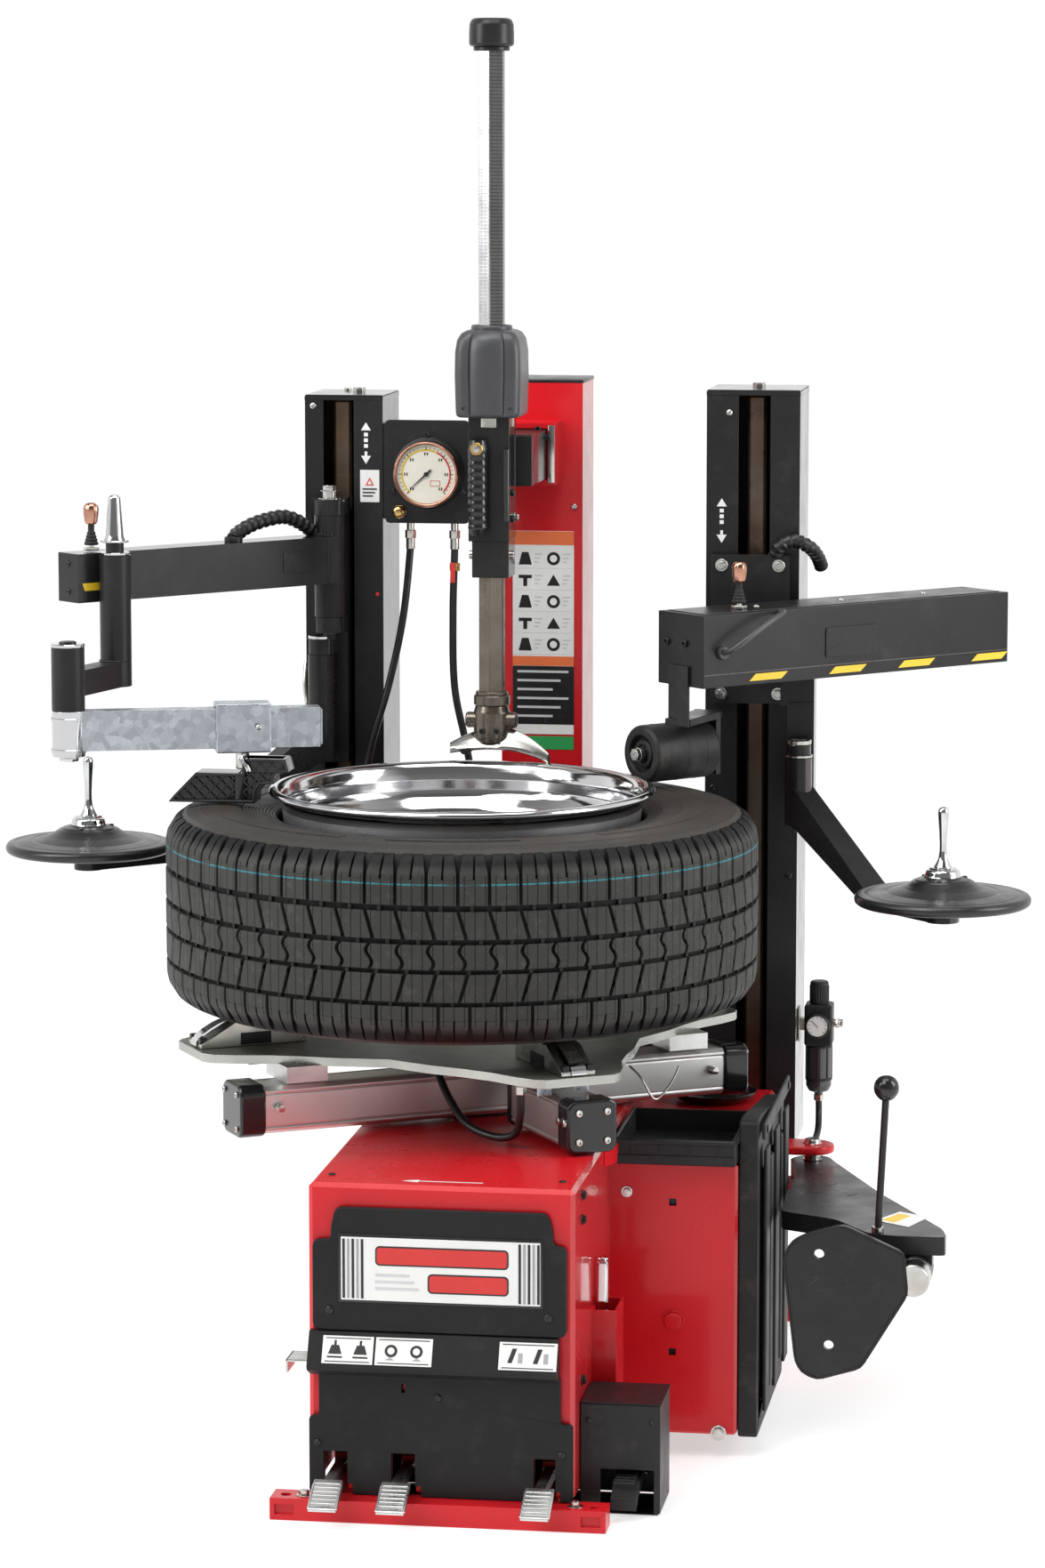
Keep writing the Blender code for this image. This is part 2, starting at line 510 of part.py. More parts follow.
_mx, _my = MAST
node("slide_arm", "black",
     [box(-0.0110, 0.0570, 0.290, 0.660, 1.3065, 1.3795),
      box(-0.0280, 0.0320, 0.2335, 0.3000, 1.2300, 1.5200),
      box(-0.0230, 0.0310, 0.2350, 0.2960, 1.1770, 1.2350)],
     [prism(hexagon(HEX_R + 0.0012, _mx, _my), 1.10, 1.60)])
node("lock_cover", "plastic",
     [loft([[(_mx + sx * a, _my + sy * b, z) for sx, sy in
             ((-1, -0.72), (-0.72, -1), (0.72, -1), (1, -0.72), (1, 0.72), (0.72, 1), (-0.72, 1), (-1, 0.72))]
            for z, a, b in ((1.410, 0.046, 0.050), (1.428, 0.056, 0.058), (1.500, 0.056, 0.058),
                            (1.528, 0.052, 0.054), (1.536, 0.044, 0.046))])],
     [box(-0.0310, 0.0350, 0.2300, 0.3030, 1.380, 1.5230),
      prism(hexagon(HEX_R + 0.0030, _mx, _my), 1.50, 1.60)])
node("lock_handle", "black",
     [box(-0.0270, 0.0030, 0.2080, 0.2240, 1.2400, 1.3780, 0.003, 1)],
     origin=(-0.012, 0.2160, 1.366))
node("hex_mast", "steel",
     [prism(hexagon(HEX_R, _mx, _my), 0.9900, 1.9480),
      loft([[(_mx + sx * a, _my + sy * a, z) for sx, sy in
             ((-1, -0.8), (-0.8, -1), (0.8, -1), (1, -0.8), (1, 0.8), (0.8, 1), (-0.8, 1), (-1, 0.8))]
            for z, a in ((1.941, 0.0325), (1.968, 0.0325), (1.978, 0.0300), (1.982, 0.0240))])],
     origin=(_mx, _my, 0.99))


def duck():
    """Curved mounting tool: an arc-shaped shoe that follows the rim's edge."""
    rows = []
    for k in range(9):
        t = k / 8.0
        x = -0.062 + 0.152 * t
        lift = 0.010 * math.sin(math.pi * t) + (0.010 if t < 0.15 else 0.0)
        yc = math.sqrt(0.262 ** 2 - min(abs(x), 0.25) ** 2)
        w = 0.018 + 0.016 * math.sin(math.pi * min(1, max(0, t))) ** 0.7
        rows.append([(x, yc - w, 0.9215 + lift), (x, yc + w, 0.9085 + lift * 0.3),
                     (x, yc + w, 0.9185 + lift), (x, yc - w * 0.6, 0.9420 + lift * 1.3)])
    return loft(rows)


node("mount_head", "chrome",
     [rod((_mx, _my, 0.9300), (_mx, _my, 0.9890), 0.0270, 20),
      rod((_mx - 0.036, _my - 0.004, 0.9660), (_mx + 0.036, _my - 0.004, 0.9660), 0.0120, 14), duck()],
     origin=(_mx, _my, 0.99))

# =============================================================== left side
_hx, _hy = HINGE_L
node("left_carriage", "black",
     [box(-0.2920, -0.2370, 0.3980, 0.4196, 0.8800, 1.2780),
      box(-0.2700, -0.2380, 0.4100, 0.4480, 0.9000, 1.2600),
      box(_hx - 0.022, _hx + 0.022, _hy - 0.010, 0.405, 1.0800, 1.1030), rod((_hx, _hy, 1.0800), (_hx, _hy, 1.1030), 0.0230, 18),
      box(_hx - 0.022, _hx + 0.022, _hy - 0.010, 0.405, 1.2550, 1.2780), rod((_hx, _hy, 1.2550), (_hx, _hy, 1.2780), 0.0230, 18),
      rod((_hx, _hy, 1.0700), (_hx, _hy, 1.2900), 0.0100, 14),
      box(LDISC_P[0] - 0.016, LDISC_P[0] + 0.020, LDISC_P[1] - 0.008, 0.405, 1.0460, 1.0690),
      rod((LDISC_P[0], LDISC_P[1], 1.0460), (LDISC_P[0], LDISC_P[1], 1.0690), 0.0190, 16),
      rod((LDISC_P[0], LDISC_P[1], 0.8860), (LDISC_P[0], LDISC_P[1], 1.0600), 0.0100, 14)],
     origin=(-0.254, 0.420, 1.08))
_au = (Vector((-0.575, 0.015)) - Vector(HINGE_L)).normalized()
_end = Vector(HINGE_L) + _au * 0.468
node("left_arm", "black",
     [rod((_hx, _hy, 1.1036), (_hx, _hy, 1.2544), 0.0230, 20),
      bar(HINGE_L, tuple(_end), 0.050, 1.1550, 1.2250, ext0=-0.004),
      rod((*SLEEVE_L, 1.0720), (*SLEEVE_L, 1.2230), 0.0225, 20)],
     [rod((_hx, _hy, 1.05), (_hx, _hy, 1.30), 0.0106, 14),
      rod((*SLEEVE_L, 1.05), (*SLEEVE_L, 1.24), 0.0136, 16)],
     origin=(_hx, _hy, 1.18))
node("left_link", "black",
     [rod((*SLEEVE_L, 1.0350), (*SLEEVE_L, 1.2420), 0.0130, 16), rod((*SLEEVE_L, 1.0350), (*SLEEVE_L, 1.0714), 0.0225, 20),
      bar(SLEEVE_L, POST_L, 0.034, 1.0350, 1.0714), rod((*POST_L, 1.0160), (*POST_L, 1.1070), 0.0235, 20),
      rod((*POST_L, 0.9520), (*POST_L, 1.0300), 0.0120, 16)],
     origin=(*SLEEVE_L, 1.05))
_pe = Vector((-0.204, -0.005))
node("press_arm", "galv",
     [rod((*POST_L, 0.9510), (*POST_L, 1.0155), 0.0235, 20), bar(POST_L, tuple(_pe), 0.030, 0.9590, 1.0170 - 0.0015)],
     [rod((*POST_L, 0.94), (*POST_L, 1.03), 0.0126, 16)],
     origin=(*POST_L, 0.985))
_pu = (_pe - Vector(POST_L)).normalized()
_pc = Vector(POST_L) + _pu * (Vector(PIN_L) - Vector(POST_L)).dot(_pu)
PINX = (_pc.x, _pc.y)
node("press_slider", "galv",
     [bar(tuple(_pc - _pu * 0.039), tuple(_pc + _pu * 0.039), 0.0430, 0.9530, 1.0230),
      rod((*PINX, 0.9280), (*PINX, 0.9560), 0.0100, 16)],
     [bar(tuple(_pc - _pu * 0.06), tuple(_pc + _pu * 0.06), 0.0308, 0.9586, 1.0160)],
     origin=(*PINX, 0.985))
_blk = [(-0.412, 0.8815), (-0.372, 0.9240), (-0.305, 0.9240), (-0.297, 0.9490), (-0.243, 0.9490),
        (-0.238, 0.9260), (-0.252, 0.9265), (-0.259, 0.9200), (-0.259, 0.9095), (-0.2795, 0.9085),
        (-0.2855, 0.9000), (-0.2870, 0.8815)]
node("press_block", "plastic",
     [prism(_blk, PINX[1] - 0.022, PINX[1] + 0.022, "y")],
     [rod((*PINX, 0.9200), (*PINX, 0.9600), 0.0106, 16),
      bar(tuple(_pc - _pu * 0.10), tuple(_pc + _pu * 0.10), 0.060, 0.9455, 1.0)],
     origin=(*PINX, 0.92))


def tapered(p, q, w0, w1, zt0, zb0, zt1, zb1):
    """Arm that narrows and drops in plan from p to q."""
    a, b = Vector(p), Vector(q)
    u = (b - a).normalized()
    v = Vector((-u.y, u.x))
    A, B = [a - v * w0 / 2, a + v * w0 / 2], [b - v * w1 / 2, b + v * w1 / 2]
    return loft([[(A[0].x, A[0].y, zb0), (A[1].x, A[1].y, zb0), (A[1].x, A[1].y, zt0), (A[0].x, A[0].y, zt0)],
                 [(B[0].x, B[0].y, zb1), (B[1].x, B[1].y, zb1), (B[1].x, B[1].y, zt1), (B[0].x, B[0].y, zt1)]])


_lq = tuple(Vector(LDISC_C) + (Vector(LDISC_P) - Vector(LDISC_C)).normalized() * 0.140)
_rq = tuple(Vector(RDISC_C) + (Vector(RDISC_P) - Vector(RDISC_C)).normalized() * 0.145)
node("left_disc_arm", "black",
     [rod((*LDISC_P, 0.8880), (*LDISC_P, 1.0454), 0.0200, 20),
      tapered(LDISC_P, _lq, 0.034, 0.040, 0.955, 0.892, 0.779, 0.757), bar(_lq, LDISC_C, 0.0398, 0.7572, 0.7788, ext0=0.004),
      rod((*LDISC_C, 0.757), (*LDISC_C, 0.782), 0.022, 18), rod((*LDISC_C, 0.770), (*LDISC_C, 0.810), 0.0080, 14)],
     [rod((*LDISC_P, 0.80), (*LDISC_P, 1.10), 0.0106, 14)],
     origin=(*LDISC_P, 0.95))


def disc(name, c, z, r, axis=(0, 0, 1), key="rubber"):
    base = Vector((c[0], c[1], z))
    node(name, key,
         [lathe([(0.0086, 0.0010), (0.030, 0.0010), (0.050, -0.006), (r - 0.004, -0.0085), (r, -0.004), (r, 0.004),
                 (r - 0.010, 0.0070), (0.070, 0.0120), (0.042, 0.0260), (0.026, 0.0300), (0.0160, 0.0420), (0.0086, 0.0420)],
                36, tuple(base), axis)], origin=tuple(base))


disc("left_disc", LDISC_C, 0.7915, 0.120)

# ============================================================== right side
_bu, _bv = Vector((math.sqrt(0.5), math.sqrt(0.5))), Vector((-math.sqrt(0.5), math.sqrt(0.5)))
_A = Vector((0.325, 0.150))                 # front end corner of the arm box
_mid = _A + _bv * 0.0520
node("right_carriage", "black",
     [box(0.3080, 0.4245, 0.3980, 0.4196, 0.9800, 1.2000),
      box(0.3560, 0.3840, 0.4100, 0.4480, 1.0000, 1.1900),
      prism([(0.3120, 0.4100), (0.3120, 0.3440), (0.3320, 0.3075), (0.4220, 0.3975), (0.4220, 0.4100)], 1.0400, 1.1250),
      box(0.4250, 0.4650, 0.3720, 0.4100, 0.8300, 1.0240),
      box(0.4150, 0.4300, 0.3720, 0.4180, 0.9800, 1.0240),
      box(RDISC_P[0] - 0.016, RDISC_P[0] + 0.016, RDISC_P[1], 0.3800, 0.9080, 0.9260),
      rod((*RDISC_P, 0.9080), (*RDISC_P, 0.9260), 0.0180, 16), rod((*RDISC_P, 0.8060), (*RDISC_P, 0.9150), 0.0100, 14)],
     origin=(0.370, 0.420, 1.08))
node("right_arm", "black",
     [bar(tuple(_mid), tuple(_mid + _bu * 0.585), 0.1040, 1.0300, 1.1350)],
     [bar(tuple(_mid + _bu * 0.003), tuple(_mid + _bu * 0.582), 0.0980, 1.0, 1.1320)],
     origin=(*_mid, 1.08))
_rc = Vector(ROLL_C)
_r0, _r1 = _rc - _bu * (ROLL_L / 2), _rc + _bu * (ROLL_L / 2)
_tab = Vector((0.2815, 0.1950))
node("roller_bracket", "black",
     [bar(tuple(_r1 + _bu * 0.0010), tuple(_r1 + _bu * 0.0100), 0.052, 0.8900, 0.9810),
      bar(tuple(_mid - _bu * 0.0045), tuple(_r1 + _bu * 0.0100), 0.040, 0.9720, 0.9820, off=0.0),
      bar(tuple(_mid - _bu * 0.0045), tuple(_mid - _bu * 0.0005), 0.045, 0.9720, 1.0600),
      rod((*(_r0 + _bu * 0.004), ROLL_Z), (*(_r1 + _bu * 0.006), ROLL_Z), 0.0120, 16)],
     origin=(*_mid, 1.0))
node("press_roller", "plastic",
     [lathe([(0.0128, 0.0), (0.0250, 0.0), (0.0250, 0.0), (ROLL_R - 0.003, 0.0), (ROLL_R, 0.003), (ROLL_R, ROLL_L - 0.002),
             (0.0128, ROLL_L - 0.002)][:2] + [(ROLL_R - 0.003, 0.0), (ROLL_R, 0.003), (ROLL_R, ROLL_L - 0.002),
                                      (0.0128, ROLL_L - 0.002)],
            28, (_r0.x, _r0.y, ROLL_Z), (_bu.x, _bu.y, 0))],
     [rod((*(_r0 - _bu * 0.01), ROLL_Z), (*(_r0 + _bu * 0.030), ROLL_Z), 0.0240, 20)],
     origin=(*ROLL_C, ROLL_Z))
node("right_disc_arm", "black",
     [rod((*RDISC_P, 0.8080), (*RDISC_P, 0.9074), 0.0200, 20),
      tapered(RDISC_P, _rq, 0.036, 0.044, 0.872, 0.812, 0.732, 0.710), bar(_rq, RDISC_C, 0.0438, 0.7102, 0.7318, ext0=0.004),
      rod((*RDISC_C, 0.710), (*RDISC_C, 0.735), 0.024, 18), rod((*RDISC_C, 0.722), (*RDISC_C, 0.764), 0.0080, 14)],
     [rod((*RDISC_P, 0.70), (*RDISC_P, 0.95), 0.0106, 14)],
     origin=(*RDISC_P, 0.86))
disc("right_disc", RDISC_C, 0.7440, 0.125)


def stick(name, x, y, z):
    node(name, "plastic",
         [lathe([(0.0, 0.0), (0.0050, 0.0), (0.0120, 0.005), (0.0110, 0.013), (0.0060, 0.024), (0.0050, 0.034), (0.0085, 0.044),
                 (0.0100, 0.062), (0.0070, 0.068), (0.0, 0.0690)], 16, (x, y, z))], origin=(x, y, z))


stick("joystick_left", -0.545, 0.050, 1.2265)
stick("joystick_right", 0.366, 0.250, 1.1365)

# ============================================================ bead breaker
_px, _py = BREAK_P
node("breaker_bracket", "red",
     [box(0.4165, 0.4290, 0.2050, 0.3180, 0.2700, 0.3540),
      box(0.4200, _px, 0.2300, 0.2940, 0.2760, 0.2920), rod((_px, _py, 0.2760), (_px, _py, 0.2920), 0.0320, 20),
      box(0.4200, _px, 0.2300, 0.2940, 0.3360, 0.3480), rod((_px, _py, 0.3360), (_px, _py, 0.3480), 0.0320, 20),
      rod((_px, _py, 0.2700), (_px, _py, 0.3560), 0.0120, 16)])
_plate = [(0.4560, 0.2200), (0.4620, 0.1600), (0.4640, -0.0800), (0.5450, -0.1200), (0.5940, -0.1950),
          (0.6300, -0.2080), (0.7050, -0.2080), (0.6950, -0.1570), (0.5940, 0.0510), (0.5120, 0.2500),
          (0.5000, 0.2850), (0.4780, 0.2960), (0.4560, 0.2850), (0.4440, 0.2600)]
node("breaker_arm", "black",
     [prism(rounded(_plate, 0.012, 2), 0.2980, 0.3240),
      rod((0.6620, -0.1700, 0.2740), (0.6620, -0.2200, 0.2740), 0.0230, 20),
      box(0.6400, 0.6840, -0.2000, -0.1650, 0.2740, 0.3000),
      rod((0.6080, -0.190, 0.3100), (0.6180, -0.190, 0.5180), 0.0050, 10),
      lathe([(0.0, -0.0175), (0.0100, -0.0145), (0.0160, -0.0070), (0.0175, 0.0), (0.0160, 0.0070), (0.0100, 0.0145),
             (0.0, 0.0175)], 16, (0.6185, -0.190, 0.5260))],
     [rod((_px, _py, 0.25), (_px, _py, 0.40), 0.0128, 16)],
     origin=(_px, _py, 0.311))
_bl = [(0.4835, 0.3020), (0.4960, 0.3240), (0.5184, 0.3358), (0.5668, 0.3490), (0.6510, 0.3118), (0.6568, 0.2549),
       (0.5929, 0.1483), (0.5319, 0.1300), (0.5100, 0.1400), (0.5010, 0.1560)]


_r = rounded(_bl, 0.009, 2)
node("breaker_blade", "black",
     [prism(_r, -0.2600, -0.2500, "y"), rod((0.6620, -0.2590, 0.2740), (0.6620, -0.2206, 0.2740), 0.0225, 24)],
     [rod((0.534, -0.30, 0.307), (0.534, -0.20, 0.307), 0.0070, 14),
      rod((0.548, -0.30, 0.180), (0.548, -0.20, 0.180), 0.0070, 14)],
     origin=(0.662, -0.2203, 0.274))
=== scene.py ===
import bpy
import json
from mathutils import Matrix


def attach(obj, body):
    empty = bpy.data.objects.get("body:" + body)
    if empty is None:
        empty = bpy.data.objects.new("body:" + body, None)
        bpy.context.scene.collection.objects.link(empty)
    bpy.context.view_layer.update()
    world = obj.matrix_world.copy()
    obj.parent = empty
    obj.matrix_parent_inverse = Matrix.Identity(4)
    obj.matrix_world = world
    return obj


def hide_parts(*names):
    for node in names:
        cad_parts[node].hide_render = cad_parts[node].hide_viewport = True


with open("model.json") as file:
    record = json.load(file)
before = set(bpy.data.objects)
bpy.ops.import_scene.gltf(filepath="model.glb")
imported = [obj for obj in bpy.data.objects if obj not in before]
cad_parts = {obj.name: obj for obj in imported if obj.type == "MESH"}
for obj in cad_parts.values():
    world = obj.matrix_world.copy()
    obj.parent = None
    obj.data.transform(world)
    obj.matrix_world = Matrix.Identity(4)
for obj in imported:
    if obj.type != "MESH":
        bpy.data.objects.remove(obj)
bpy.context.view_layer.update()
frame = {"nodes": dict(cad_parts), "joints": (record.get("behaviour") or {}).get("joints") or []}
import bpy, bmesh, json, math, random
import numpy as np
from mathutils import Matrix, Vector

NODES = frame["nodes"]
JOINT = {j["name"]: j for j in frame["joints"]}
TX, TY = [float(v) for v in JOINT["turntable_spin"]["pos_m"][:2]]
D2R = math.pi / 180

# camera
cam_data = bpy.data.cameras.new("camera")
cam_data.sensor_width = 36.0
cam_data.lens = 112.3
cam_data.clip_end = 200.0
camera = bpy.data.objects.new("camera", cam_data)
bpy.context.scene.collection.objects.link(camera)
camera.location = (1.097 + TX, -6.762 + TY, 1.868)
camera.rotation_euler = (82.015 * D2R, 0, 8.5 * D2R)
bpy.context.scene.camera = camera
bpy.context.scene.view_settings.view_transform = "Standard"


def catmull(pts, per):
    p = [Vector(q) for q in pts]
    p = [2 * p[0] - p[1]] + p + [2 * p[-1] - p[-2]]
    out = []
    for i in range(1, len(p) - 2):
        a, b, c, d = p[i - 1:i + 3]
        for k in range(per):
            t = k / per
            out.append(0.5 * ((2 * b) + (c - a) * t + (2 * a - 5 * b + 4 * c - d) * t * t
                              + (3 * b - a - 3 * c + d) * t ** 3))
    out.append(p[-2])
    return out


def link(o):
    bpy.context.scene.collection.objects.link(o)
    return o


HOSE_1 = [(-0.150, 0.4470, 1.2360), (-0.150, 0.4470, 1.205), (-0.158, 0.428, 1.10), (-0.176, 0.406, 1.00),
          (-0.205, 0.400, 0.895), (-0.210, 0.402, 0.82), (-0.192, 0.407, 0.73), (-0.165, 0.420, 0.66),
          (-0.128, 0.444, 0.60), (-0.104, 0.452, 0.555), (-0.100, 0.450, 0.480), (-0.098, 0.420, 0.4300),
          (-0.096, 0.370, 0.400), (-0.095, 0.3240, 0.3980)]
HOSE_2 = [(-0.083, 0.4470, 1.2360), (-0.083, 0.4470, 1.200), (-0.086, 0.448, 1.10), (-0.084, 0.450, 0.99),
          (-0.066, 0.450, 0.900), (-0.050, 0.448, 0.80), (-0.046, 0.444, 0.68), (-0.050, 0.444, 0.58),
          (-0.054, 0.444, 0.50), (-0.056, 0.420, 0.425), (-0.056, 0.370, 0.384), (-0.056, 0.3240, 0.3820)]
HOSE_3 = [(-0.020, -0.1600, 0.5330), (-0.005, -0.190, 0.5300), (0.018, -0.225, 0.500), (0.050, -0.268, 0.474),
          (0.092, -0.296, 0.4640), (0.122, -0.312, 0.4720), (0.132, -0.326, 0.500), (0.133, -0.330, 0.530),
          (0.133, -0.330, 0.5480)]
# ---------------------------------------------------------------- shapes
def mat4(pos=(0, 0, 0), axis="Z", spin=0.0):
    """A frame at pos whose own Z runs along axis, turned by spin degrees about it."""
    if isinstance(axis, str):
        axis = {"X": (1, 0, 0), "Y": (0, 1, 0), "Z": (0, 0, 1), "-X": (-1, 0, 0), "-Y": (0, -1, 0), "-Z": (0, 0, -1)}[axis]
    z = Vector(axis).normalized()
    up = Vector((0, 0, 1)) if abs(z.z) < 0.9 else Vector((0, 1, 0))
    x = up.cross(z).normalized()
    y = z.cross(x)
    m = Matrix((x, y, z)).transposed().to_4x4()
    m.translation = Vector(pos)
    return m @ Matrix.Rotation(spin * D2R, 4, "Z")


def rotz(deg, pos=(0, 0, 0)):
    return Matrix.Translation(Vector(pos)) @ Matrix.Rotation(deg * D2R, 4, "Z")


def shell(bm):
    v = np.array([q.co[:] for q in bm.verts])
    bm.verts.index_update()
    f = [[q.index for q in g.verts] for g in bm.faces]
    bm.free()
    return v, f


def bevelled(bm, b, seg, min_angle=25):
    if b > 0:
        bmesh.ops.recalc_face_normals(bm, faces=bm.faces)
        es = [e for e in bm.edges if len(e.link_faces) == 2 and e.calc_face_angle(0) > min_angle * D2R]
        bmesh.ops.bevel(bm, geom=es, offset=b, segments=seg, profile=0.5, affect="EDGES", clamp_overlap=True)
    return bm


def bx(x0, x1, y0, y1, z0, z1, b=0.002, seg=2):
    bm = bmesh.new()
    bmesh.ops.create_cube(bm, size=1)
    for v in bm.verts:
        v.co = ((x0 + x1) / 2 + v.co.x * (x1 - x0), (y0 + y1) / 2 + v.co.y * (y1 - y0), (z0 + z1) / 2 + v.co.z * (z1 - z0))
    b = min(b, 0.45 * min(x1 - x0, y1 - y0, z1 - z0))
    return shell(bevelled(bm, b, seg))


def prism(outline, z0, z1, b=0.0015, seg=2, holes=()):
    """A flat plate of that outline between z0 and z1; holes are outlines wound the same way."""
    bm = bmesh.new()

    def loop(o, z):
        return [bm.verts.new((p[0], p[1], z)) for p in o]
    if not holes:
        lo, hi = loop(outline, z0), loop(outline, z1)
        bm.faces.new(lo[::-1])
        bm.faces.new(hi)
        rings = [(lo, hi)]
    else:
        rings = []
        for z, flip in ((z0, True), (z1, False)):
            es = []
            made = []
            for o in [outline] + list(holes):
                vs = loop(o, z)
                made.append(vs)
                for i in range(len(vs)):
                    es.append(bm.edges.new((vs[i], vs[(i + 1) % len(vs)])))
            bmesh.ops.triangle_fill(bm, edges=es, use_beauty=True, normal=(0, 0, -1 if flip else 1))
            rings.append(made)
        rings = list(zip(rings[0], rings[1]))
    for lo, hi in rings:
        n = len(lo)
        for i in range(n):
            bm.faces.new((lo[i], lo[(i + 1) % n], hi[(i + 1) % n], hi[i]))
    bmesh.ops.recalc_face_normals(bm, faces=bm.faces)
    if holes:
        bmesh.ops.dissolve_limit(bm, angle_limit=0.01, verts=bm.verts, edges=bm.edges)
    return shell(bevelled(bm, b, seg, 35))


def lathe(profile, n=64, closed=True, arc=360.0):
    """Turned about Z. A profile point at r = 0 closes the end; closed joins last to first."""
    p = list(profile)
    verts, rings = [], []
    for r, z in p:
        if abs(r) < 1e-7:
            rings.append([len(verts)])
            verts.append((0, 0, z))
        else:
            rings.append(list(range(len(verts), len(verts) + n)))
            for k in range(n):
                a = 2 * math.pi * k / n
                verts.append((r * math.cos(a), r * math.sin(a), z))
    faces = []
    m = len(p)
    for i in range(m if closed else m - 1):
        a, b = rings[i], rings[(i + 1) % m]
        if len(a) == 1 and len(b) == 1:
            continue
        for k in range(n):
            k2 = (k + 1) % n
            if len(a) == 1:
                faces.append((a[0], b[k2], b[k]))
            elif len(b) == 1:
                faces.append((a[k], a[k2], b[0]))
            else:
                faces.append((a[k], a[k2], b[k2], b[k]))
    return np.array(verts, float), faces


def cyl(r, z0, z1, c=0.001, n=32):
    c = min(c, r * 0.4, abs(z1 - z0) * 0.4)
    k = 0.3 * c
    return lathe([(0, z0), (r - c, z0), (r - k, z0 + k), (r, z0 + c), (r, z1 - c), (r - k, z1 - k), (r - c, z1), (0, z1)], n, False)


def ring(r0, r1, z0, z1, c=0.0008, n=48):
    c = min(c, (r1 - r0) * 0.4, abs(z1 - z0) * 0.4)
    return lathe([(r0 + c, z0), (r1 - c, z0), (r1, z0 + c), (r1, z1 - c), (r1 - c, z1), (r0 + c, z1), (r0, z1 - c), (r0, z0 + c)], n, True)


def ngon(n, r, spin=0.0):
    return [(r * math.cos((360 * k / n + spin) * D2R), r * math.sin((360 * k / n + spin) * D2R)) for k in range(n)]


def rrect(x0, x1, y0, y1, r, n=5):
    o = []
    for cx, cy, a in ((x1 - r, y0 + r, -90), (x1 - r, y1 - r, 0), (x0 + r, y1 - r, 90), (x0 + r, y0 + r, 180)):
        for k in range(n + 1):
            t = (a + 90 * k / n) * D2R
            o.append((cx + r * math.cos(t), cy + r * math.sin(t)))
    return o


def sweep(pts, r, n=12, flat=1.0):
    p = [Vector(q) for q in pts]
    verts, faces = [], []
    ref = Vector((0, 0, 1))
    rr = r if isinstance(r, (list, tuple)) else [r] * len(p)
    t0 = (p[1] - p[0]).normalized()
    if abs(t0.z) > 0.9:
        ref = Vector((0, 1, 0))
    x = (ref - t0 * ref.dot(t0)).normalized()
    for i, q in enumerate(p):
        t = ((p[min(i + 1, len(p) - 1)] - p[max(i - 1, 0)])).normalized()
        x = (x - t * x.dot(t)).normalized()
        y = t.cross(x)
        for k in range(n):
            a = 2 * math.pi * k / n
            verts.append((q + (x * math.cos(a) + y * math.sin(a) * flat) * rr[i])[:])
    m = len(p)
    for i in range(m - 1):
        for k in range(n):
            k2 = (k + 1) % n
            faces.append((i * n + k, i * n + k2, (i + 1) * n + k2, (i + 1) * n + k))
    faces.append(tuple(range(n))[::-1])
    faces.append(tuple((m - 1) * n + k for k in range(n)))
    return np.array(verts, float), faces


def loft(rings):
    verts, faces, n = [], [], len(rings[0])
    for g in rings:
        verts += [tuple(q) for q in g]
    for i in range(len(rings) - 1):
        for k in range(n):
            k2 = (k + 1) % n
            faces.append((i * n + k, i * n + k2, (i + 1) * n + k2, (i + 1) * n + k))
    faces.append(tuple(range(n))[::-1])
    faces.append(tuple((len(rings) - 1) * n + k for k in range(n)))
    return np.array(verts, float), faces


class Part:
    """Collects closed shells, each with one of the part's materials, and makes one piece of them."""

    def __init__(self):
        self.v, self.f, self.m, self.count = [], [], [], 0

    def add(self, shape, mi=0, M=None, keep=False):
        v, f = shape
        v = np.asarray(v, float)
        if M is not None:
            A = np.array(M)
            v = v @ A[:3, :3].T + A[:3, 3]
        self.v.append(v)
        c = self.count
        self.f += [tuple(i + c for i in g) for g in f]
        self.m += [mi] * len(f)
        self.count += len(v)
        return self

    def hexbolt(self, pos, axis, af=0.013, h=0.005, mi=0, washer=True, spin=10):
        """A hex head with its washer standing on pos, along axis."""
        M = mat4(pos, axis, spin)
        w = 0.0
        if washer:
            w = 0.0012
            self.add(ring(af * 0.25, af * 0.78, 0, w, 0.0003, 28), mi, M)
        r = af / math.sqrt(3)
        self.add(prism(ngon(6, r), w - 0.0001, w + h, 0.0008, 2), mi, M)
        self.add(cyl(af * 0.40, w + h - 0.0005, w + h + 0.0004, 0.0003, 20), mi, M)

    def socket(self, pos, axis, d=0.009, h=0.005, mi=0, dark=None):
        """A cap screw with its hex socket."""
        M = mat4(pos, axis, 17)
        r, s = d / 2, d * 0.27
        self.add(lathe([(r - 0.0006, 0), (r, 0.0006), (r, h - 0.0007), (r - 0.0007, h), (s, h)] + [(s, h * 0.4), (0, h * 0.4), (0, 0)], 24, True), mi, M)

    def pan(self, pos, axis, d=0.010, h=0.003, mi=0):
        """A pan head with a shallow round recess in its crown."""
        M = mat4(pos, axis, 30)
        r = d / 2
        self.add(lathe([(0, 0), (r, 0), (r, h * 0.35), (r * 0.82, h * 0.8), (r * 0.5, h), (r * 0.42, h * 0.98), (r * 0.36, h * 0.55), (0, h * 0.5)], 28, False), mi, M)

    def weld(self, pts, r=0.0022, mi=0):
        """A run of weld: small overlapping lobes along the points."""
        p = [Vector(q) for q in pts]
        for i in range(len(p) - 1):
            L = (p[i + 1] - p[i]).length
            n = max(1, int(L / (r * 1.3)))
            for k in range(n):
                q = p[i].lerp(p[i + 1], (k + 0.5) / n)
                s = r * (0.9 + 0.2 * ((k * 37) % 5) / 5)
                bm = bmesh.new()
                bmesh.ops.create_icosphere(bm, subdivisions=1, radius=s)
                self.add(shell(bm), mi, Matrix.Translation(q))


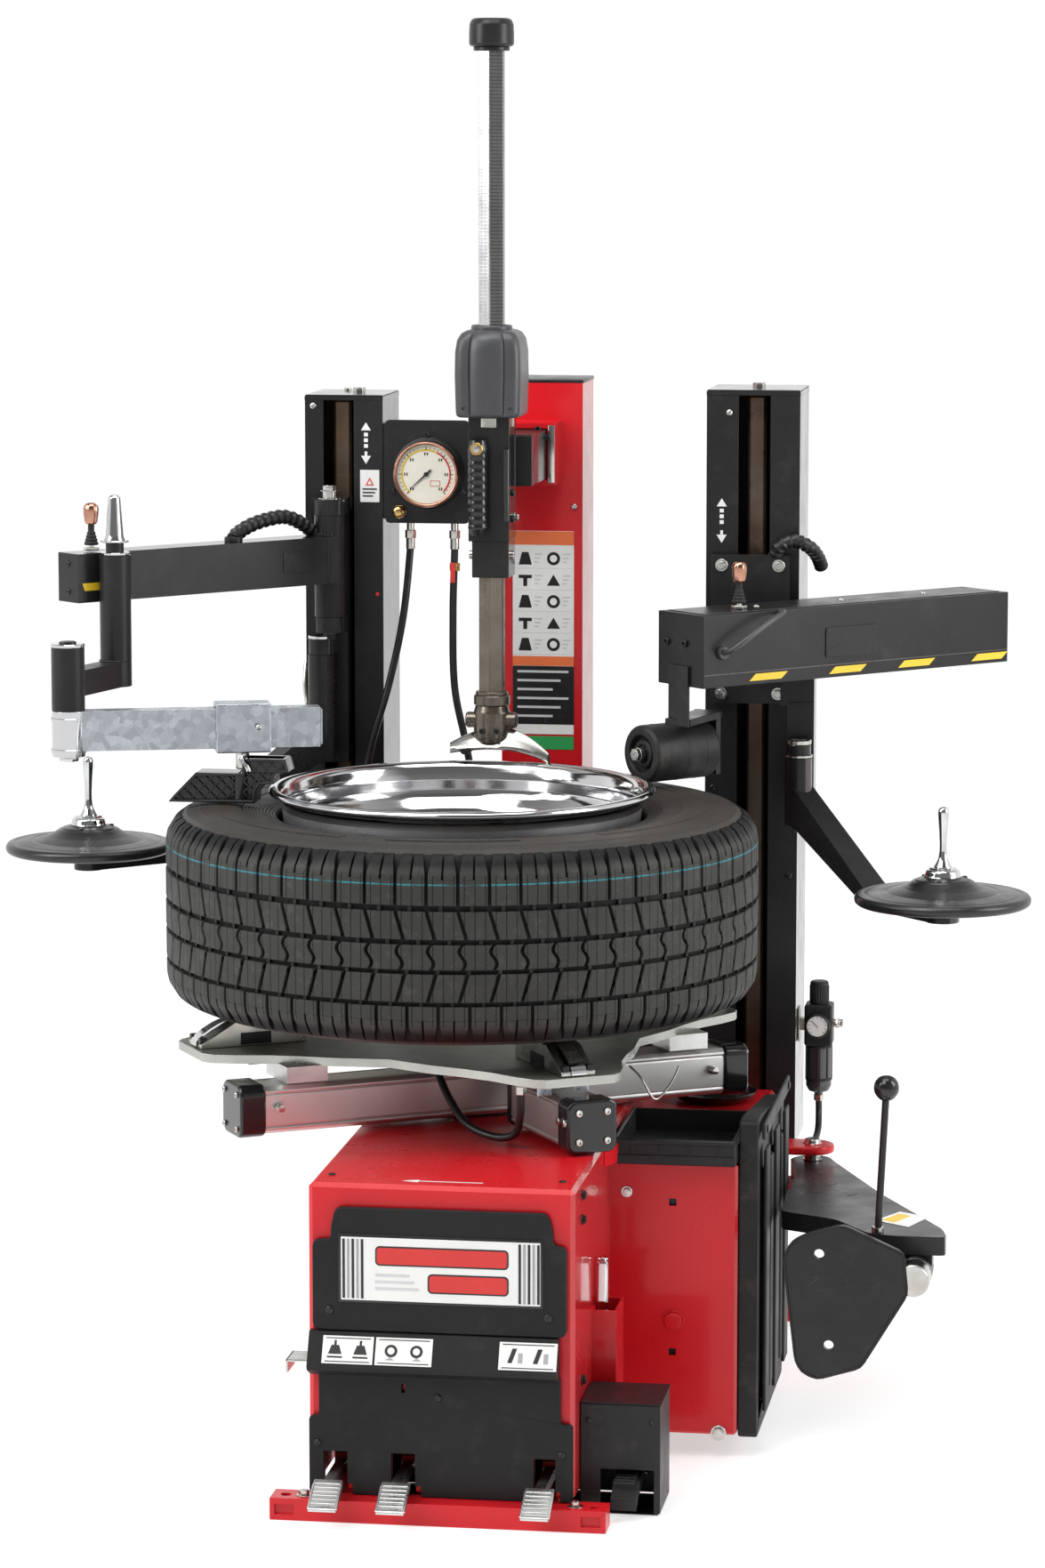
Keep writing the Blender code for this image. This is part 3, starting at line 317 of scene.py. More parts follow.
def make(name, part, mats, body, replaces=(), sharp=42, weighted=True):
    v = np.concatenate(part.v)
    v = v + np.array([TX, TY, 0.0])
    me = bpy.data.meshes.new(name)
    me.from_pydata([tuple(q) for q in v.tolist()], [], part.f)
    for mt in mats:
        me.materials.append(mt)
    me.polygons.foreach_set("material_index", np.array(part.m, dtype=np.int32))
    me.update()
    bm = bmesh.new()
    bm.from_mesh(me)
    bmesh.ops.recalc_face_normals(bm, faces=bm.faces)
    bm.to_mesh(me)
    bm.free()
    me.shade_smooth()
    me.set_sharp_from_angle(angle=sharp * D2R)
    o = link(bpy.data.objects.new(name, me))
    if weighted:
        w = o.modifiers.new("weighted", "WEIGHTED_NORMAL")
        w.keep_sharp = True
        w.weight = 80
    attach(o, body)
    if replaces:
        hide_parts(*replaces)
    return o


# ---------------------------------------------------------------- free hoses
cords = []
for name, route, per, body, lay in (("gauge_hose_1_cord", HOSE_1, 4, "root", "hanging"),
                                    ("gauge_hose_2_cord", HOSE_2, 4, "root", "hanging"),
                                    ("clamp_hose_1_cord", HOSE_3, 5, "turntable", "loose")):
    pts = catmull(route, per * 2)
    tube = Part()
    tube.add(sweep(pts, 0.0055, 18), 0)
    o = make(name, tube, [], body, [name[:-5]], sharp=60, weighted=False)
    cords.append(o)


# ---------------------------------------------------------------- finishes
class Finish:
    def __init__(self, name):
        self.mat = bpy.data.materials.new(name)
        self.mat.use_nodes = True
        self.t = self.mat.node_tree
        self.t.nodes.clear()
        self.out = self.t.nodes.new("ShaderNodeOutputMaterial")
        self.b = self.t.nodes.new("ShaderNodeBsdfPrincipled")
        self.t.links.new(self.b.outputs[0], self.out.inputs[0])
        self.obj = self.t.nodes.new("ShaderNodeTexCoord").outputs["Object"]

    def put(self, sock, val):
        if isinstance(val, bpy.types.NodeSocket):
            self.t.links.new(val, sock)
        else:
            if isinstance(val, (tuple, list)) and len(val) == 3 and sock.type == "RGBA":
                val = (*val, 1)
            sock.default_value = val

    def vec(self, scale=(1, 1, 1), rot=(0, 0, 0), loc=(0, 0, 0), src=None):
        n = self.t.nodes.new("ShaderNodeMapping")
        self.put(n.inputs["Vector"], src or self.obj)
        n.inputs["Scale"].default_value = scale
        n.inputs["Rotation"].default_value = rot
        n.inputs["Location"].default_value = loc
        return n.outputs[0]

    def noise(self, scale, detail=3.0, rough=0.5, src=None, dist=0.0):
        n = self.t.nodes.new("ShaderNodeTexNoise")
        self.put(n.inputs["Vector"], src or self.obj)
        n.inputs["Scale"].default_value = scale
        n.inputs["Detail"].default_value = detail
        n.inputs["Roughness"].default_value = rough
        n.inputs["Distortion"].default_value = dist
        return n.outputs[0]

    def voronoi(self, scale, src=None, feature="F1", out="Distance"):
        n = self.t.nodes.new("ShaderNodeTexVoronoi")
        n.feature = feature
        self.put(n.inputs["Vector"], src or self.obj)
        n.inputs["Scale"].default_value = scale
        return n.outputs[out]

    def math(self, op, a, b=0.0, c=None, clamp=False):
        n = self.t.nodes.new("ShaderNodeMath")
        n.operation = op
        n.use_clamp = clamp
        self.put(n.inputs[0], a)
        self.put(n.inputs[1], b)
        if c is not None:
            self.put(n.inputs[2], c)
        return n.outputs[0]

    def rng(self, v, a, b, c=0.0, d=1.0, kind="LINEAR"):
        n = self.t.nodes.new("ShaderNodeMapRange")
        n.interpolation_type = kind
        self.put(n.inputs["Value"], v)
        for k, q in (("From Min", a), ("From Max", b), ("To Min", c), ("To Max", d)):
            n.inputs[k].default_value = q
        return n.outputs[0]

    def mix(self, fac, a, b, blend="MIX"):
        n = self.t.nodes.new("ShaderNodeMix")
        n.data_type = "RGBA"
        n.blend_type = blend
        self.put(n.inputs[0], fac)
        self.put(n.inputs[6], a)
        self.put(n.inputs[7], b)
        return n.outputs[2]

    def sep(self, src=None):
        n = self.t.nodes.new("ShaderNodeSeparateXYZ")
        self.put(n.inputs[0], src or self.obj)
        return n.outputs

    def comb(self, x, y, z):
        n = self.t.nodes.new("ShaderNodeCombineXYZ")
        for i, q in enumerate((x, y, z)):
            self.put(n.inputs[i], q)
        return n.outputs[0]

    def bump(self, height, strength, dist, normal=None):
        n = self.t.nodes.new("ShaderNodeBump")
        self.put(n.inputs["Height"], height)
        n.inputs["Strength"].default_value = strength
        n.inputs["Distance"].default_value = dist
        if normal is not None:
            self.t.links.new(normal, n.inputs["Normal"])
        return n.outputs[0]

    def polar(self, cx=0.0, cy=0.0):
        """(radius, angle in turns) about the machine-frame point (cx, cy)."""
        s = self.sep(self.vec(loc=(-(cx + TX), -(cy + TY), 0)))
        r = self.math("SQRT", self.math("ADD", self.math("MULTIPLY", s[0], s[0]), self.math("MULTIPLY", s[1], s[1])))
        a = self.math("DIVIDE", self.math("ARCTAN2", s[1], s[0]), 2 * math.pi)
        return r, a, s[2]

    def done(self, base, rough, metal=0.0, normal=None, coat=0.0, coat_rough=0.08, spec=0.5, sheen=0.0, emit=None, ior=None, trans=0.0):
        b = self.b.inputs
        self.put(b["Base Color"], base)
        self.put(b["Roughness"], rough)
        self.put(b["Metallic"], metal)
        b["Coat Weight"].default_value = coat
        b["Coat Roughness"].default_value = coat_rough
        b["Specular IOR Level"].default_value = spec
        if sheen:
            b["Sheen Weight"].default_value = sheen
        if ior:
            b["IOR"].default_value = ior
        if trans:
            b["Transmission Weight"].default_value = trans
        if normal is not None:
            self.t.links.new(normal, b["Normal"])
        return self.mat


def pbr(name, base, rough, metal=0.0, var=0.12, vscale=6.0, rvar=0.10, rscale=18.0, bump=0.0, bscale=500.0,
        bdist=0.0004, coat=0.0, coat_rough=0.08, spec=0.5, brush=None, bstr=0.12, wave=0.0, speck=0.0, dust=0.0,
        dust_col=(0.30, 0.27, 0.23), scratch=0.0, tint=None, sheen=0.0):
    """A finish with its own grain: patches, roughness variation, fine bump, brushing, specks and dust in random
    patches.
    """
    f = Finish(name)
    big = f.noise(vscale, 5, 0.6)
    k = f.rng(big, 0.3, 0.7, 1 - var, 1 + var)
    col = f.mix(1.0, base, f.comb(k, k, k), "MULTIPLY")
    if tint is not None:
        col = f.mix(f.rng(f.noise(vscale * 0.6, 4, 0.55), 0.45, 0.7, 0.0, 0.6), col, tint)
    r = f.rng(f.noise(rscale, 4, 0.6), 0.3, 0.7, max(0.02, rough - rvar), min(1.0, rough + rvar))
    nrm = None
    if wave:
        nrm = f.bump(f.noise(9.0, 2, 0.4), wave, 0.004)
    if brush:
        s = {"X": (3, 260, 260), "Y": (260, 3, 260), "Z": (260, 260, 3)}.get(brush)
        if s:
            g = f.noise(1.0, 3, 0.65, f.vec(scale=s))
        else:
            rr, aa, zz = f.polar(*brush)
            g = f.noise(1.0, 3, 0.65, f.comb(f.math("MULTIPLY", rr, 420.0), f.math("MULTIPLY", zz, 420.0), f.math("MULTIPLY", aa, 3.0)))
        nrm = f.bump(g, bstr, 0.0006, nrm)
        r = f.math("ADD", r, f.rng(g, 0.3, 0.7, -0.06, 0.08), clamp=True)
        gk = f.rng(g, 0.3, 0.7, 0.90, 1.08)
        col = f.mix(1.0, col, f.comb(gk, gk, gk), "MULTIPLY")
    if bump:
        nrm = f.bump(f.noise(bscale, 3, 0.6), bump, bdist, nrm)
    if speck:
        sp = f.rng(f.voronoi(900.0), 0.0, 0.22, 1.0, 0.0)
        sp = f.math("MULTIPLY", sp, f.rng(f.noise(420.0, 1, 0.5), 0.55, 0.68, 0.0, 1.0))
        col = f.mix(f.math("MULTIPLY", sp, speck), col, (0.42, 0.43, 0.45))
        r = f.math("SUBTRACT", r, f.math("MULTIPLY", sp, 0.18), clamp=True)
    if scratch:
        s1 = f.voronoi(14.0, f.vec(scale=(1, 9, 2.2), rot=(0.4, 0.3, 0.9)), "DISTANCE_TO_EDGE")
        s2 = f.rng(s1, 0.0, 0.012, 1.0, 0.0)
        s2 = f.math("MULTIPLY", s2, f.rng(f.noise(11.0, 3, 0.6), 0.5, 0.62, 0.0, scratch))
        col = f.mix(s2, col, tuple(min(1.0, c * 1.8 + 0.05) for c in base))
        r = f.math("ADD", r, f.math("MULTIPLY", s2, 0.18), clamp=True)
    if dust:
        d = f.math("MULTIPLY", f.rng(f.noise(26.0, 6, 0.7), 0.52, 0.72, 0.0, dust), f.rng(f.noise(5.0, 2, 0.5), 0.42, 0.6, 0.2, 1.0))
        col = f.mix(d, col, dust_col)
        r = f.math("ADD", r, f.math("MULTIPLY", d, 0.5), clamp=True)
    return f.done(col, r, metal, nrm, coat, coat_rough, spec, sheen)


RED = pbr("red_powder", (0.585, 0.011, 0.017), 0.30, var=0.05, vscale=3.0, rvar=0.05, bump=0.10, bscale=170.0, bdist=0.0006,
          coat=0.22, coat_rough=0.07, wave=0.10, dust=0.05, dust_col=(0.45, 0.05, 0.05), spec=0.22)
# A darker, glossier copy of the red powder for the faces turned to +X: painted shade on that side of the cabinet and
# tower.
RED_SHADED_SIDE = pbr("red_powder_shaded_side", (0.47, 0.013, 0.018), 0.24, var=0.07, vscale=4.0, rvar=0.06, bump=0.10, bscale=170.0, bdist=0.0006,
               coat=0.55, coat_rough=0.05, wave=0.45, dust=0.06, dust_col=(0.40, 0.08, 0.08), spec=0.3)
BLACK = pbr("black_powder", (0.013, 0.013, 0.014), 0.36, var=0.25, rvar=0.08, bump=0.35, bscale=760.0, bdist=0.0005, coat=0.10,
            coat_rough=0.22, speck=0.55, dust=0.04, spec=0.24)
BLACK_GLOSS = pbr("black_gloss", (0.011, 0.011, 0.012), 0.17, var=0.2, rvar=0.06, bump=0.06, bscale=220.0, coat=0.40,
                  coat_rough=0.06, scratch=0.3, wave=0.12, spec=0.3)
BLACK_SATIN = pbr("black_satin", (0.014, 0.014, 0.015), 0.30, var=0.2, rvar=0.08, bump=0.14, bscale=480.0, speck=0.25, scratch=0.3, dust=0.05, spec=0.30)
PLASTIC = pbr("black_plastic", (0.016, 0.016, 0.017), 0.42, var=0.15, rvar=0.07, bump=0.22, bscale=620.0, bdist=0.0004, dust=0.07, scratch=0.2, spec=0.28)
PLASTIC_FINE = pbr("black_plastic_fine", (0.013, 0.013, 0.014), 0.50, var=0.12, rvar=0.05, bump=0.5, bscale=1100.0, bdist=0.0004, dust=0.04, spec=0.22)
PLASTIC_GREY = pbr("cover_plastic", (0.045, 0.046, 0.050), 0.36, var=0.12, rvar=0.06, bump=0.20, bscale=700.0, dust=0.05, scratch=0.2)
RUBBER = pbr("black_rubber", (0.014, 0.014, 0.014), 0.55, var=0.2, rvar=0.08, bump=0.3, bscale=420.0, dust=0.10, sheen=0.03, spec=0.3)
DISC = pbr("disc_rubber", (0.014, 0.014, 0.014), 0.30, var=0.2, rvar=0.08, bump=0.12, bscale=420.0, dust=0.06, scratch=0.2, spec=0.5)
HOSE = pbr("hose_rubber", (0.012, 0.012, 0.013), 0.33, var=0.2, rvar=0.08, bump=0.2, bscale=260.0, dust=0.10, coat=0.12, coat_rough=0.2, spec=0.35)
TABLE = pbr("table_zinc", (0.255, 0.262, 0.225), 0.40, metal=0.75, var=0.10, vscale=9.0, rvar=0.09, brush=(0.0, 0.0), bstr=0.05,
            tint=(0.30, 0.29, 0.22), scratch=0.5, dust=0.05)
EDGE = pbr("machined_edge", (0.46, 0.46, 0.43), 0.30, metal=1.0, var=0.10, rvar=0.08, brush=(0.0, 0.0), bstr=0.10)
ZINC = pbr("zinc_plated", (0.50, 0.50, 0.46), 0.30, metal=1.0, var=0.16, vscale=14.0, rvar=0.10, bump=0.08, bscale=300.0,
           tint=(0.46, 0.44, 0.34), scratch=0.4)
ALU = pbr("aluminium_extruded", (0.72, 0.72, 0.71), 0.42, metal=0.9, var=0.05, rvar=0.05, bump=0.06, bscale=600.0)
ALU_CAST = pbr("aluminium_cast", (0.62, 0.62, 0.61), 0.34, metal=1.0, var=0.12, vscale=22.0, rvar=0.12, bump=0.25, bscale=240.0, dust=0.12, scratch=0.5)
CHROME = pbr("chrome", (0.66, 0.67, 0.68), 0.08, metal=1.0, var=0.03, rvar=0.03, bump=0.02, bscale=90.0, scratch=0.25)
NICKEL = pbr("nickel", (0.60, 0.585, 0.55), 0.20, metal=1.0, var=0.08, rvar=0.08, bump=0.05, bscale=180.0, scratch=0.4)
STEEL = pbr("bright_steel", (0.52, 0.52, 0.51), 0.26, metal=1.0, var=0.14, vscale=20.0, rvar=0.10, bump=0.06, bscale=260.0, tint=(0.40, 0.36, 0.30), scratch=0.5)
BOLT = pbr("bolt_zinc", (0.56, 0.56, 0.53), 0.24, metal=1.0, var=0.18, vscale=40.0, rvar=0.10, bump=0.08, bscale=400.0, dust=0.08)
BOLT_DARK = pbr("bolt_black", (0.035, 0.034, 0.033), 0.34, metal=0.6, var=0.3, vscale=60.0, rvar=0.1, bump=0.15, bscale=500.0)
RUSTY = pbr("oiled_bar", (0.135, 0.085, 0.055), 0.38, metal=0.65, var=0.35, vscale=10.0, rvar=0.12, brush="Z", bstr=0.25,
            tint=(0.20, 0.17, 0.15), scratch=0.5)
OILED = pbr("oiled_steel", (0.16, 0.135, 0.11), 0.28, metal=0.85, var=0.25, vscale=16.0, rvar=0.12, brush="Z", bstr=0.10, tint=(0.25, 0.22, 0.18))
BRASS = pbr("brass", (0.62, 0.40, 0.15), 0.22, metal=1.0, var=0.10, rvar=0.08, bump=0.05, bscale=260.0, scratch=0.3)
COPPER = pbr("rose_metal", (0.52, 0.27, 0.19), 0.20, metal=1.0, var=0.10, rvar=0.08, bump=0.04, bscale=260.0)
# A lighter, warm grey copy of the arm black, for the right disc arm's faces turned to +X: painted light on that side.
ARM_LIT_SIDE = pbr("arm_lit_side", (0.060, 0.046, 0.046), 0.30, var=0.2, rvar=0.07, bump=0.2, bscale=420.0, coat=0.3, coat_rough=0.1)
WELD = pbr("painted_weld", (0.016, 0.016, 0.017), 0.30, var=0.3, vscale=60.0, rvar=0.1, bump=0.3, bscale=260.0)
DUCT = pbr("duct_sleeve", (0.010, 0.010, 0.011), 0.40, var=0.2, rvar=0.1, bump=0.35, bscale=190.0)
BOWL = pbr("bowl_plastic", (0.030, 0.032, 0.036), 0.14, var=0.1, rvar=0.04, bump=0.03, bscale=120.0, coat=0.5)


def paint(name, base, rough=0.38):
    return pbr(name, base, rough, var=0.05, vscale=14.0, rvar=0.06, rscale=40.0, bump=0.05, bscale=500.0, dust=0.07,
               dust_col=tuple(c * 0.6 for c in base), scratch=0.15, spec=0.5)


P_WHITE = paint("label_white", (0.80, 0.80, 0.78))
P_BLACK = paint("label_black", (0.012, 0.012, 0.013), 0.3)
P_GREY = paint("label_grey", (0.36, 0.36, 0.37))
P_PALE = paint("label_pale", (0.58, 0.59, 0.60))
P_RED = paint("label_red", (0.62, 0.03, 0.025))
P_ORANGE = paint("label_orange", (0.80, 0.17, 0.05))
P_YELLOW = paint("label_yellow", (0.78, 0.52, 0.02))
P_GREEN = paint("label_green", (0.03, 0.34, 0.09))
P_CREAM = paint("dial_cream", (0.74, 0.72, 0.62))


def galvanised():
    f = Finish("galvanised")
    cell = f.voronoi(95.0, f.vec(scale=(1, 1, 1)), "F1", "Color")
    s = f.sep(cell)
    k = f.rng(s[0], 0, 1, 0.80, 1.12)
    col = f.mix(1.0, (0.50, 0.53, 0.56), f.comb(k, k, f.math("MULTIPLY", k, 1.02)), "MULTIPLY")
    fine = f.noise(700.0, 3, 0.7)
    kk = f.rng(fine, 0.3, 0.7, 0.86, 1.10)
    col = f.mix(1.0, col, f.comb(kk, kk, kk), "MULTIPLY")
    r = f.rng(s[1], 0, 1, 0.24, 0.42)
    n = f.bump(fine, 0.12, 0.0005)
    return f.done(col, r, 0.95, n)


GALV = galvanised()


def machined_rim():
    """Polished barrel inside and on the lips, silver paint outside, with turning marks."""
    f = Finish("polished_rim")
    r, a, z = f.polar(0.0, 0.0)
    g = f.noise(1.0, 3, 0.6, f.comb(f.math("MULTIPLY", r, 900.0), f.math("MULTIPLY", z, 900.0), f.math("MULTIPLY", a, 2.0)))
    n = f.bump(g, 0.04, 0.0005)
    n = f.bump(f.noise(7.0, 2, 0.4), 0.06, 0.004, n)
    k = f.rng(g, 0.3, 0.7, 0.93, 1.05)
    col = f.mix(1.0, (0.66, 0.66, 0.67), f.comb(k, k, k), "MULTIPLY")
    rr = f.rng(f.noise(16.0, 4, 0.6), 0.3, 0.7, 0.06, 0.14)
    return f.done(col, rr, 1.0, n)


RIM = machined_rim()
SILVER = pbr("silver_paint", (0.56, 0.56, 0.58), 0.30, metal=0.85, var=0.05, vscale=10.0, rvar=0.05, bump=0.12, bscale=900.0, coat=0.5,
             coat_rough=0.10, speck=0.25)
SPOKE = pbr("silver_spoke", (0.60, 0.61, 0.64), 0.24, metal=0.9, var=0.05, vscale=12.0, rvar=0.05, bump=0.10, bscale=900.0, coat=0.6,
            coat_rough=0.08, speck=0.2)


def tread():
    f = Finish("tyre_tread")
    r, a, z = f.polar(0.0, 0.0)
    px = f.math("MULTIPLY", a, 62.0)
    inside = f.rng(r, 0.4105, 0.4135, 0.0, 1.0)
    zig = f.math("MULTIPLY", f.math("PINGPONG", f.math("MULTIPLY", z, 1.0), 0.004), 18.0)
    fr = f.math("FRACT", f.math("ADD", f.math("MULTIPLY", px, 3.0), zig))
    sipe = f.math("LESS_THAN", f.math("ABSOLUTE", f.math("SUBTRACT", fr, 0.5)), 0.045)
    zone = f.math("MULTIPLY", f.math("LESS_THAN", z, 0.842), f.math("GREATER_THAN", z, 0.636))
    sipe = f.math("MULTIPLY", f.math("MULTIPLY", sipe, zone), inside)
    teal = f.math("LESS_THAN", f.math("ABSOLUTE", f.math("SUBTRACT", z, 0.8295)), 0.0011)
    teal = f.math("MULTIPLY", f.math("MULTIPLY", teal, inside), f.rng(f.noise(30.0, 3, 0.6), 0.38, 0.5, 0.15, 0.85))
    big = f.noise(9.0, 4, 0.6)
    k = f.rng(big, 0.3, 0.7, 0.86, 1.14)
    # Darker towards the groove floors, from 0.036 on the block tops down to 0.004 at the bottom of the grooves: painted
    # shade in the grooves.
    base = f.mix(f.rng(r, 0.4095, 0.416, 0.0, 1.0), (0.004, 0.004, 0.004), (0.036, 0.036, 0.033))
    col = f.mix(1.0, base, f.comb(k, k, k), "MULTIPLY")
    col = f.mix(f.math("MULTIPLY", f.rng(f.noise(60.0, 4, 0.6), 0.55, 0.75, 0.0, 0.35), inside), col, (0.10, 0.10, 0.09))
    col = f.mix(teal, col, (0.03, 0.22, 0.26))
    # The sipes are also painted near-black, darker than the rubber round them: painted shade in the narrow cuts, which
    # the bump draws as well.
    col = f.mix(sipe, col, (0.003, 0.003, 0.003))
    rg = f.rng(f.noise(24.0, 4, 0.6), 0.3, 0.7, 0.50, 0.68)
    n = f.bump(f.noise(520.0, 3, 0.6), 0.18, 0.0004)
    n = f.bump(f.math("SUBTRACT", 1.0, sipe), 0.6, 0.002, n)
    return f.done(col, rg, 0.0, n, spec=0.24)


def sidewall():
    f = Finish("tyre_sidewall")
    r, a, z = f.polar(0.0, 0.0)
    band = f.math("MULTIPLY", f.math("GREATER_THAN", r, 0.372), f.math("LESS_THAN", r, 0.389))
    hat = f.math("FRACT", f.math("MULTIPLY", a, 620.0))
    hat = f.math("MULTIPLY", f.rng(f.math("ABSOLUTE", f.math("SUBTRACT", hat, 0.5)), 0.12, 0.3, 1.0, 0.0), band)
    ribs = f.math("FRACT", f.math("MULTIPLY", r, 210.0))
    ribs = f.rng(f.math("ABSOLUTE", f.math("SUBTRACT", ribs, 0.5)), 0.18, 0.34, 1.0, 0.0)
    inner = f.math("MULTIPLY", ribs, f.math("LESS_THAN", r, 0.312))
    h = f.math("ADD", hat, inner)
    k = f.rng(f.noise(7.0, 5, 0.6), 0.3, 0.7, 0.84, 1.16)
    col = f.mix(1.0, (0.034, 0.031, 0.028), f.comb(k, k, k), "MULTIPLY")
    col = f.mix(f.rng(f.noise(3.0, 4, 0.6), 0.48, 0.66, 0.0, 0.5), col, (0.050, 0.041, 0.034))
    rg = f.rng(f.noise(20.0, 4, 0.6), 0.3, 0.7, 0.46, 0.62)
    n = f.bump(f.noise(480.0, 3, 0.6), 0.14, 0.0004)
    n = f.bump(h, 0.7, 0.0012, n)
    return f.done(col, rg, 0.0, n, spec=0.32)


TREAD, SIDEWALL = tread(), sidewall()


def duct_ribs(name, base, axis, per_m, rough=0.4, strength=0.8):
    f = Finish(name)
    s = f.sep()[axis]
    q = f.math("ABSOLUTE", f.math("SUBTRACT", f.math("FRACT", f.math("MULTIPLY", s, per_m)), 0.5))
    h = f.rng(q, 0.1, 0.4, 1.0, 0.0, "SMOOTHSTEP")
    k = f.rng(f.noise(18.0, 4, 0.6), 0.3, 0.7, 0.8, 1.2)
    col = f.mix(1.0, base, f.comb(k, k, k), "MULTIPLY")
    rg = f.rng(f.noise(30.0, 3, 0.6), 0.3, 0.7, rough - 0.08, rough + 0.08)
    n = f.bump(h, strength, 0.0015)
    n = f.bump(f.noise(400.0, 3, 0.6), 0.15, 0.0004, n)
    return f.done(col, rg, 0.0, n)


RIBBED = duct_ribs("ribbed_rubber", (0.012, 0.012, 0.012), 2, 240.0)


def mast_face(name, base, rough, ticks):
    """A ground steel face with fine cross graduations and grey streaks."""
    f = Finish(name)
    z = f.sep()[2]
    q = f.math("FRACT", f.math("MULTIPLY", z, 200.0))
    t = f.rng(f.math("ABSOLUTE", f.math("SUBTRACT", q, 0.5)), 0.10, 0.22, 1.0, 0.0)
    streak = f.noise(1.0, 3, 0.6, f.vec(scale=(160, 160, 1.5)))
    k = f.rng(streak, 0.3, 0.7, 0.78, 1.08)
    col = f.mix(1.0, base, f.comb(k, k, k), "MULTIPLY")
    col = f.mix(f.math("MULTIPLY", t, ticks), col, tuple(c * 0.35 for c in base))
    rg = f.rng(f.noise(30.0, 3, 0.6), 0.3, 0.7, rough - 0.04, rough + 0.05)
    n = f.bump(t, 0.25 * ticks + 0.02, 0.0006)
    return f.done(col, rg, 1.0, n)


# Of the two copies of the ground steel below, the second is much darker and goes on the facets on the +X side of the
# mast: painted shade on those facets. Its stronger cross lines are drawn marks.
MAST = mast_face("mast_bright", (0.60, 0.60, 0.61), 0.16, 0.10)
MAST_SHADED_FACETS = mast_face("mast_graduated_shaded_facets", (0.17, 0.165, 0.16), 0.24, 0.75)
for o in cords:
    o.data.materials.append(HOSE)


# ---------------------------------------------------------------- helpers for pieces
def add(part, shape, fn, M=None):
    """Adds a shell whose faces take the material that fn(x, y, z) of their middle gives, before M."""
    v, f = shape
    v = np.asarray(v, float)
    mi = [fn(*v[list(g)].mean(0)) for g in f]
    if M is not None:
        A = np.array(M)
        v = v @ A[:3, :3].T + A[:3, 3]
    part.v.append(v)
    c = part.count
    part.f += [tuple(i + c for i in g) for g in f]
    part.m += mi
    part.count += len(v)


def fillet(profile, r, n=4, closed=True):
    """The profile with every corner rounded by up to r."""
    p = [np.array(q, float) for q in profile]
    out = []
    m = len(p)
    for i in range(m):
        if not closed and i in (0, m - 1):
            out.append(tuple(p[i]))
            continue
        a, b, c = p[i - 1], p[i], p[(i + 1) % m]
        la, lc = np.linalg.norm(a - b), np.linalg.norm(c - b)
        t = min(r, la * 0.45, lc * 0.45)
        s, e = b + (a - b) / la * t, b + (c - b) / lc * t
        for k in range(n + 1):
            u = k / n
            out.append(tuple((1 - u) ** 2 * s + 2 * u * (1 - u) * b + u * u * e))
    return out


# ---------------------------------------------------------------- wheel on the table
SIDE_R = [(0.612, 0.3975), (0.618, 0.406), (0.635, 0.4165), (0.646, 0.4188), (0.70, 0.4192), (0.74, 0.4193), (0.78, 0.4192),
          (0.834, 0.4188), (0.845, 0.4165), (0.862, 0.406), (0.868, 0.3975)]


def crown(z):
    return float(np.interp(z, [q[0] for q in SIDE_R], [q[1] for q in SIDE_R]))


def lug(z0, z1, left, right, top=0.0085, c=0.0011, cuts=(), floor=None):
    """A tread block between the heights z0 and z1, its sides at left(z) and right(z) metres round the tyre."""
    zs = sorted({z0, z0 + c, z1 - c, z1} | {q for q in cuts if z0 + c < q < z1 - c})
    cols = 4
    vs, fs, idx = [], [], {}

    def put(u, z, h):
        r = crown(z) - top + h
        a = u / 0.419
        vs.append((r * math.cos(a), r * math.sin(a), z))
        return len(vs) - 1
    n = len(zs)
    for i, z in enumerate(zs):
        l, r = left(z), right(z)
        for j, u in enumerate((l, l + c, r - c, r)):
            edge = i in (0, n - 1) or j in (0, 3)
            idx[i, j] = put(u, z, top - (c if edge else 0.0))
    for i in range(n - 1):
        for j in range(cols - 1):
            fs.append((idx[i, j], idx[i, j + 1], idx[i + 1, j + 1], idx[i + 1, j]))
    ringk = [(0, j) for j in range(cols)] + [(i, 3) for i in range(1, n)] + [(n - 1, j) for j in range(cols - 2, -1, -1)] + [(i, 0) for i in range(n - 2, 0, -1)]
    low = {}
    for k in ringk:
        i, j = k
        l, r = left(zs[i]), right(zs[i])
        u = (l, l + c, r - c, r)[j]
        low[k] = put(u, zs[i], -0.002)
    m = len(ringk)
    for q in range(m):
        a, b = ringk[q], ringk[(q + 1) % m]
        fs.append((idx[b], idx[a], low[a], low[b]))
    fs.append(tuple(low[k] for k in ringk))
    return np.array(vs), fs


PITCH = 2 * math.pi * 0.419 / 62
blocks = []
G0 = 0.0046


def straight(u):
    return lambda z: u


def lean(u, z0, k):
    return lambda z: u + (z - z0) * k


def ess(u, z0, z1, amp):
    return lambda z: u + amp * math.sin(2 * math.pi * (z - z0) / (z1 - z0))


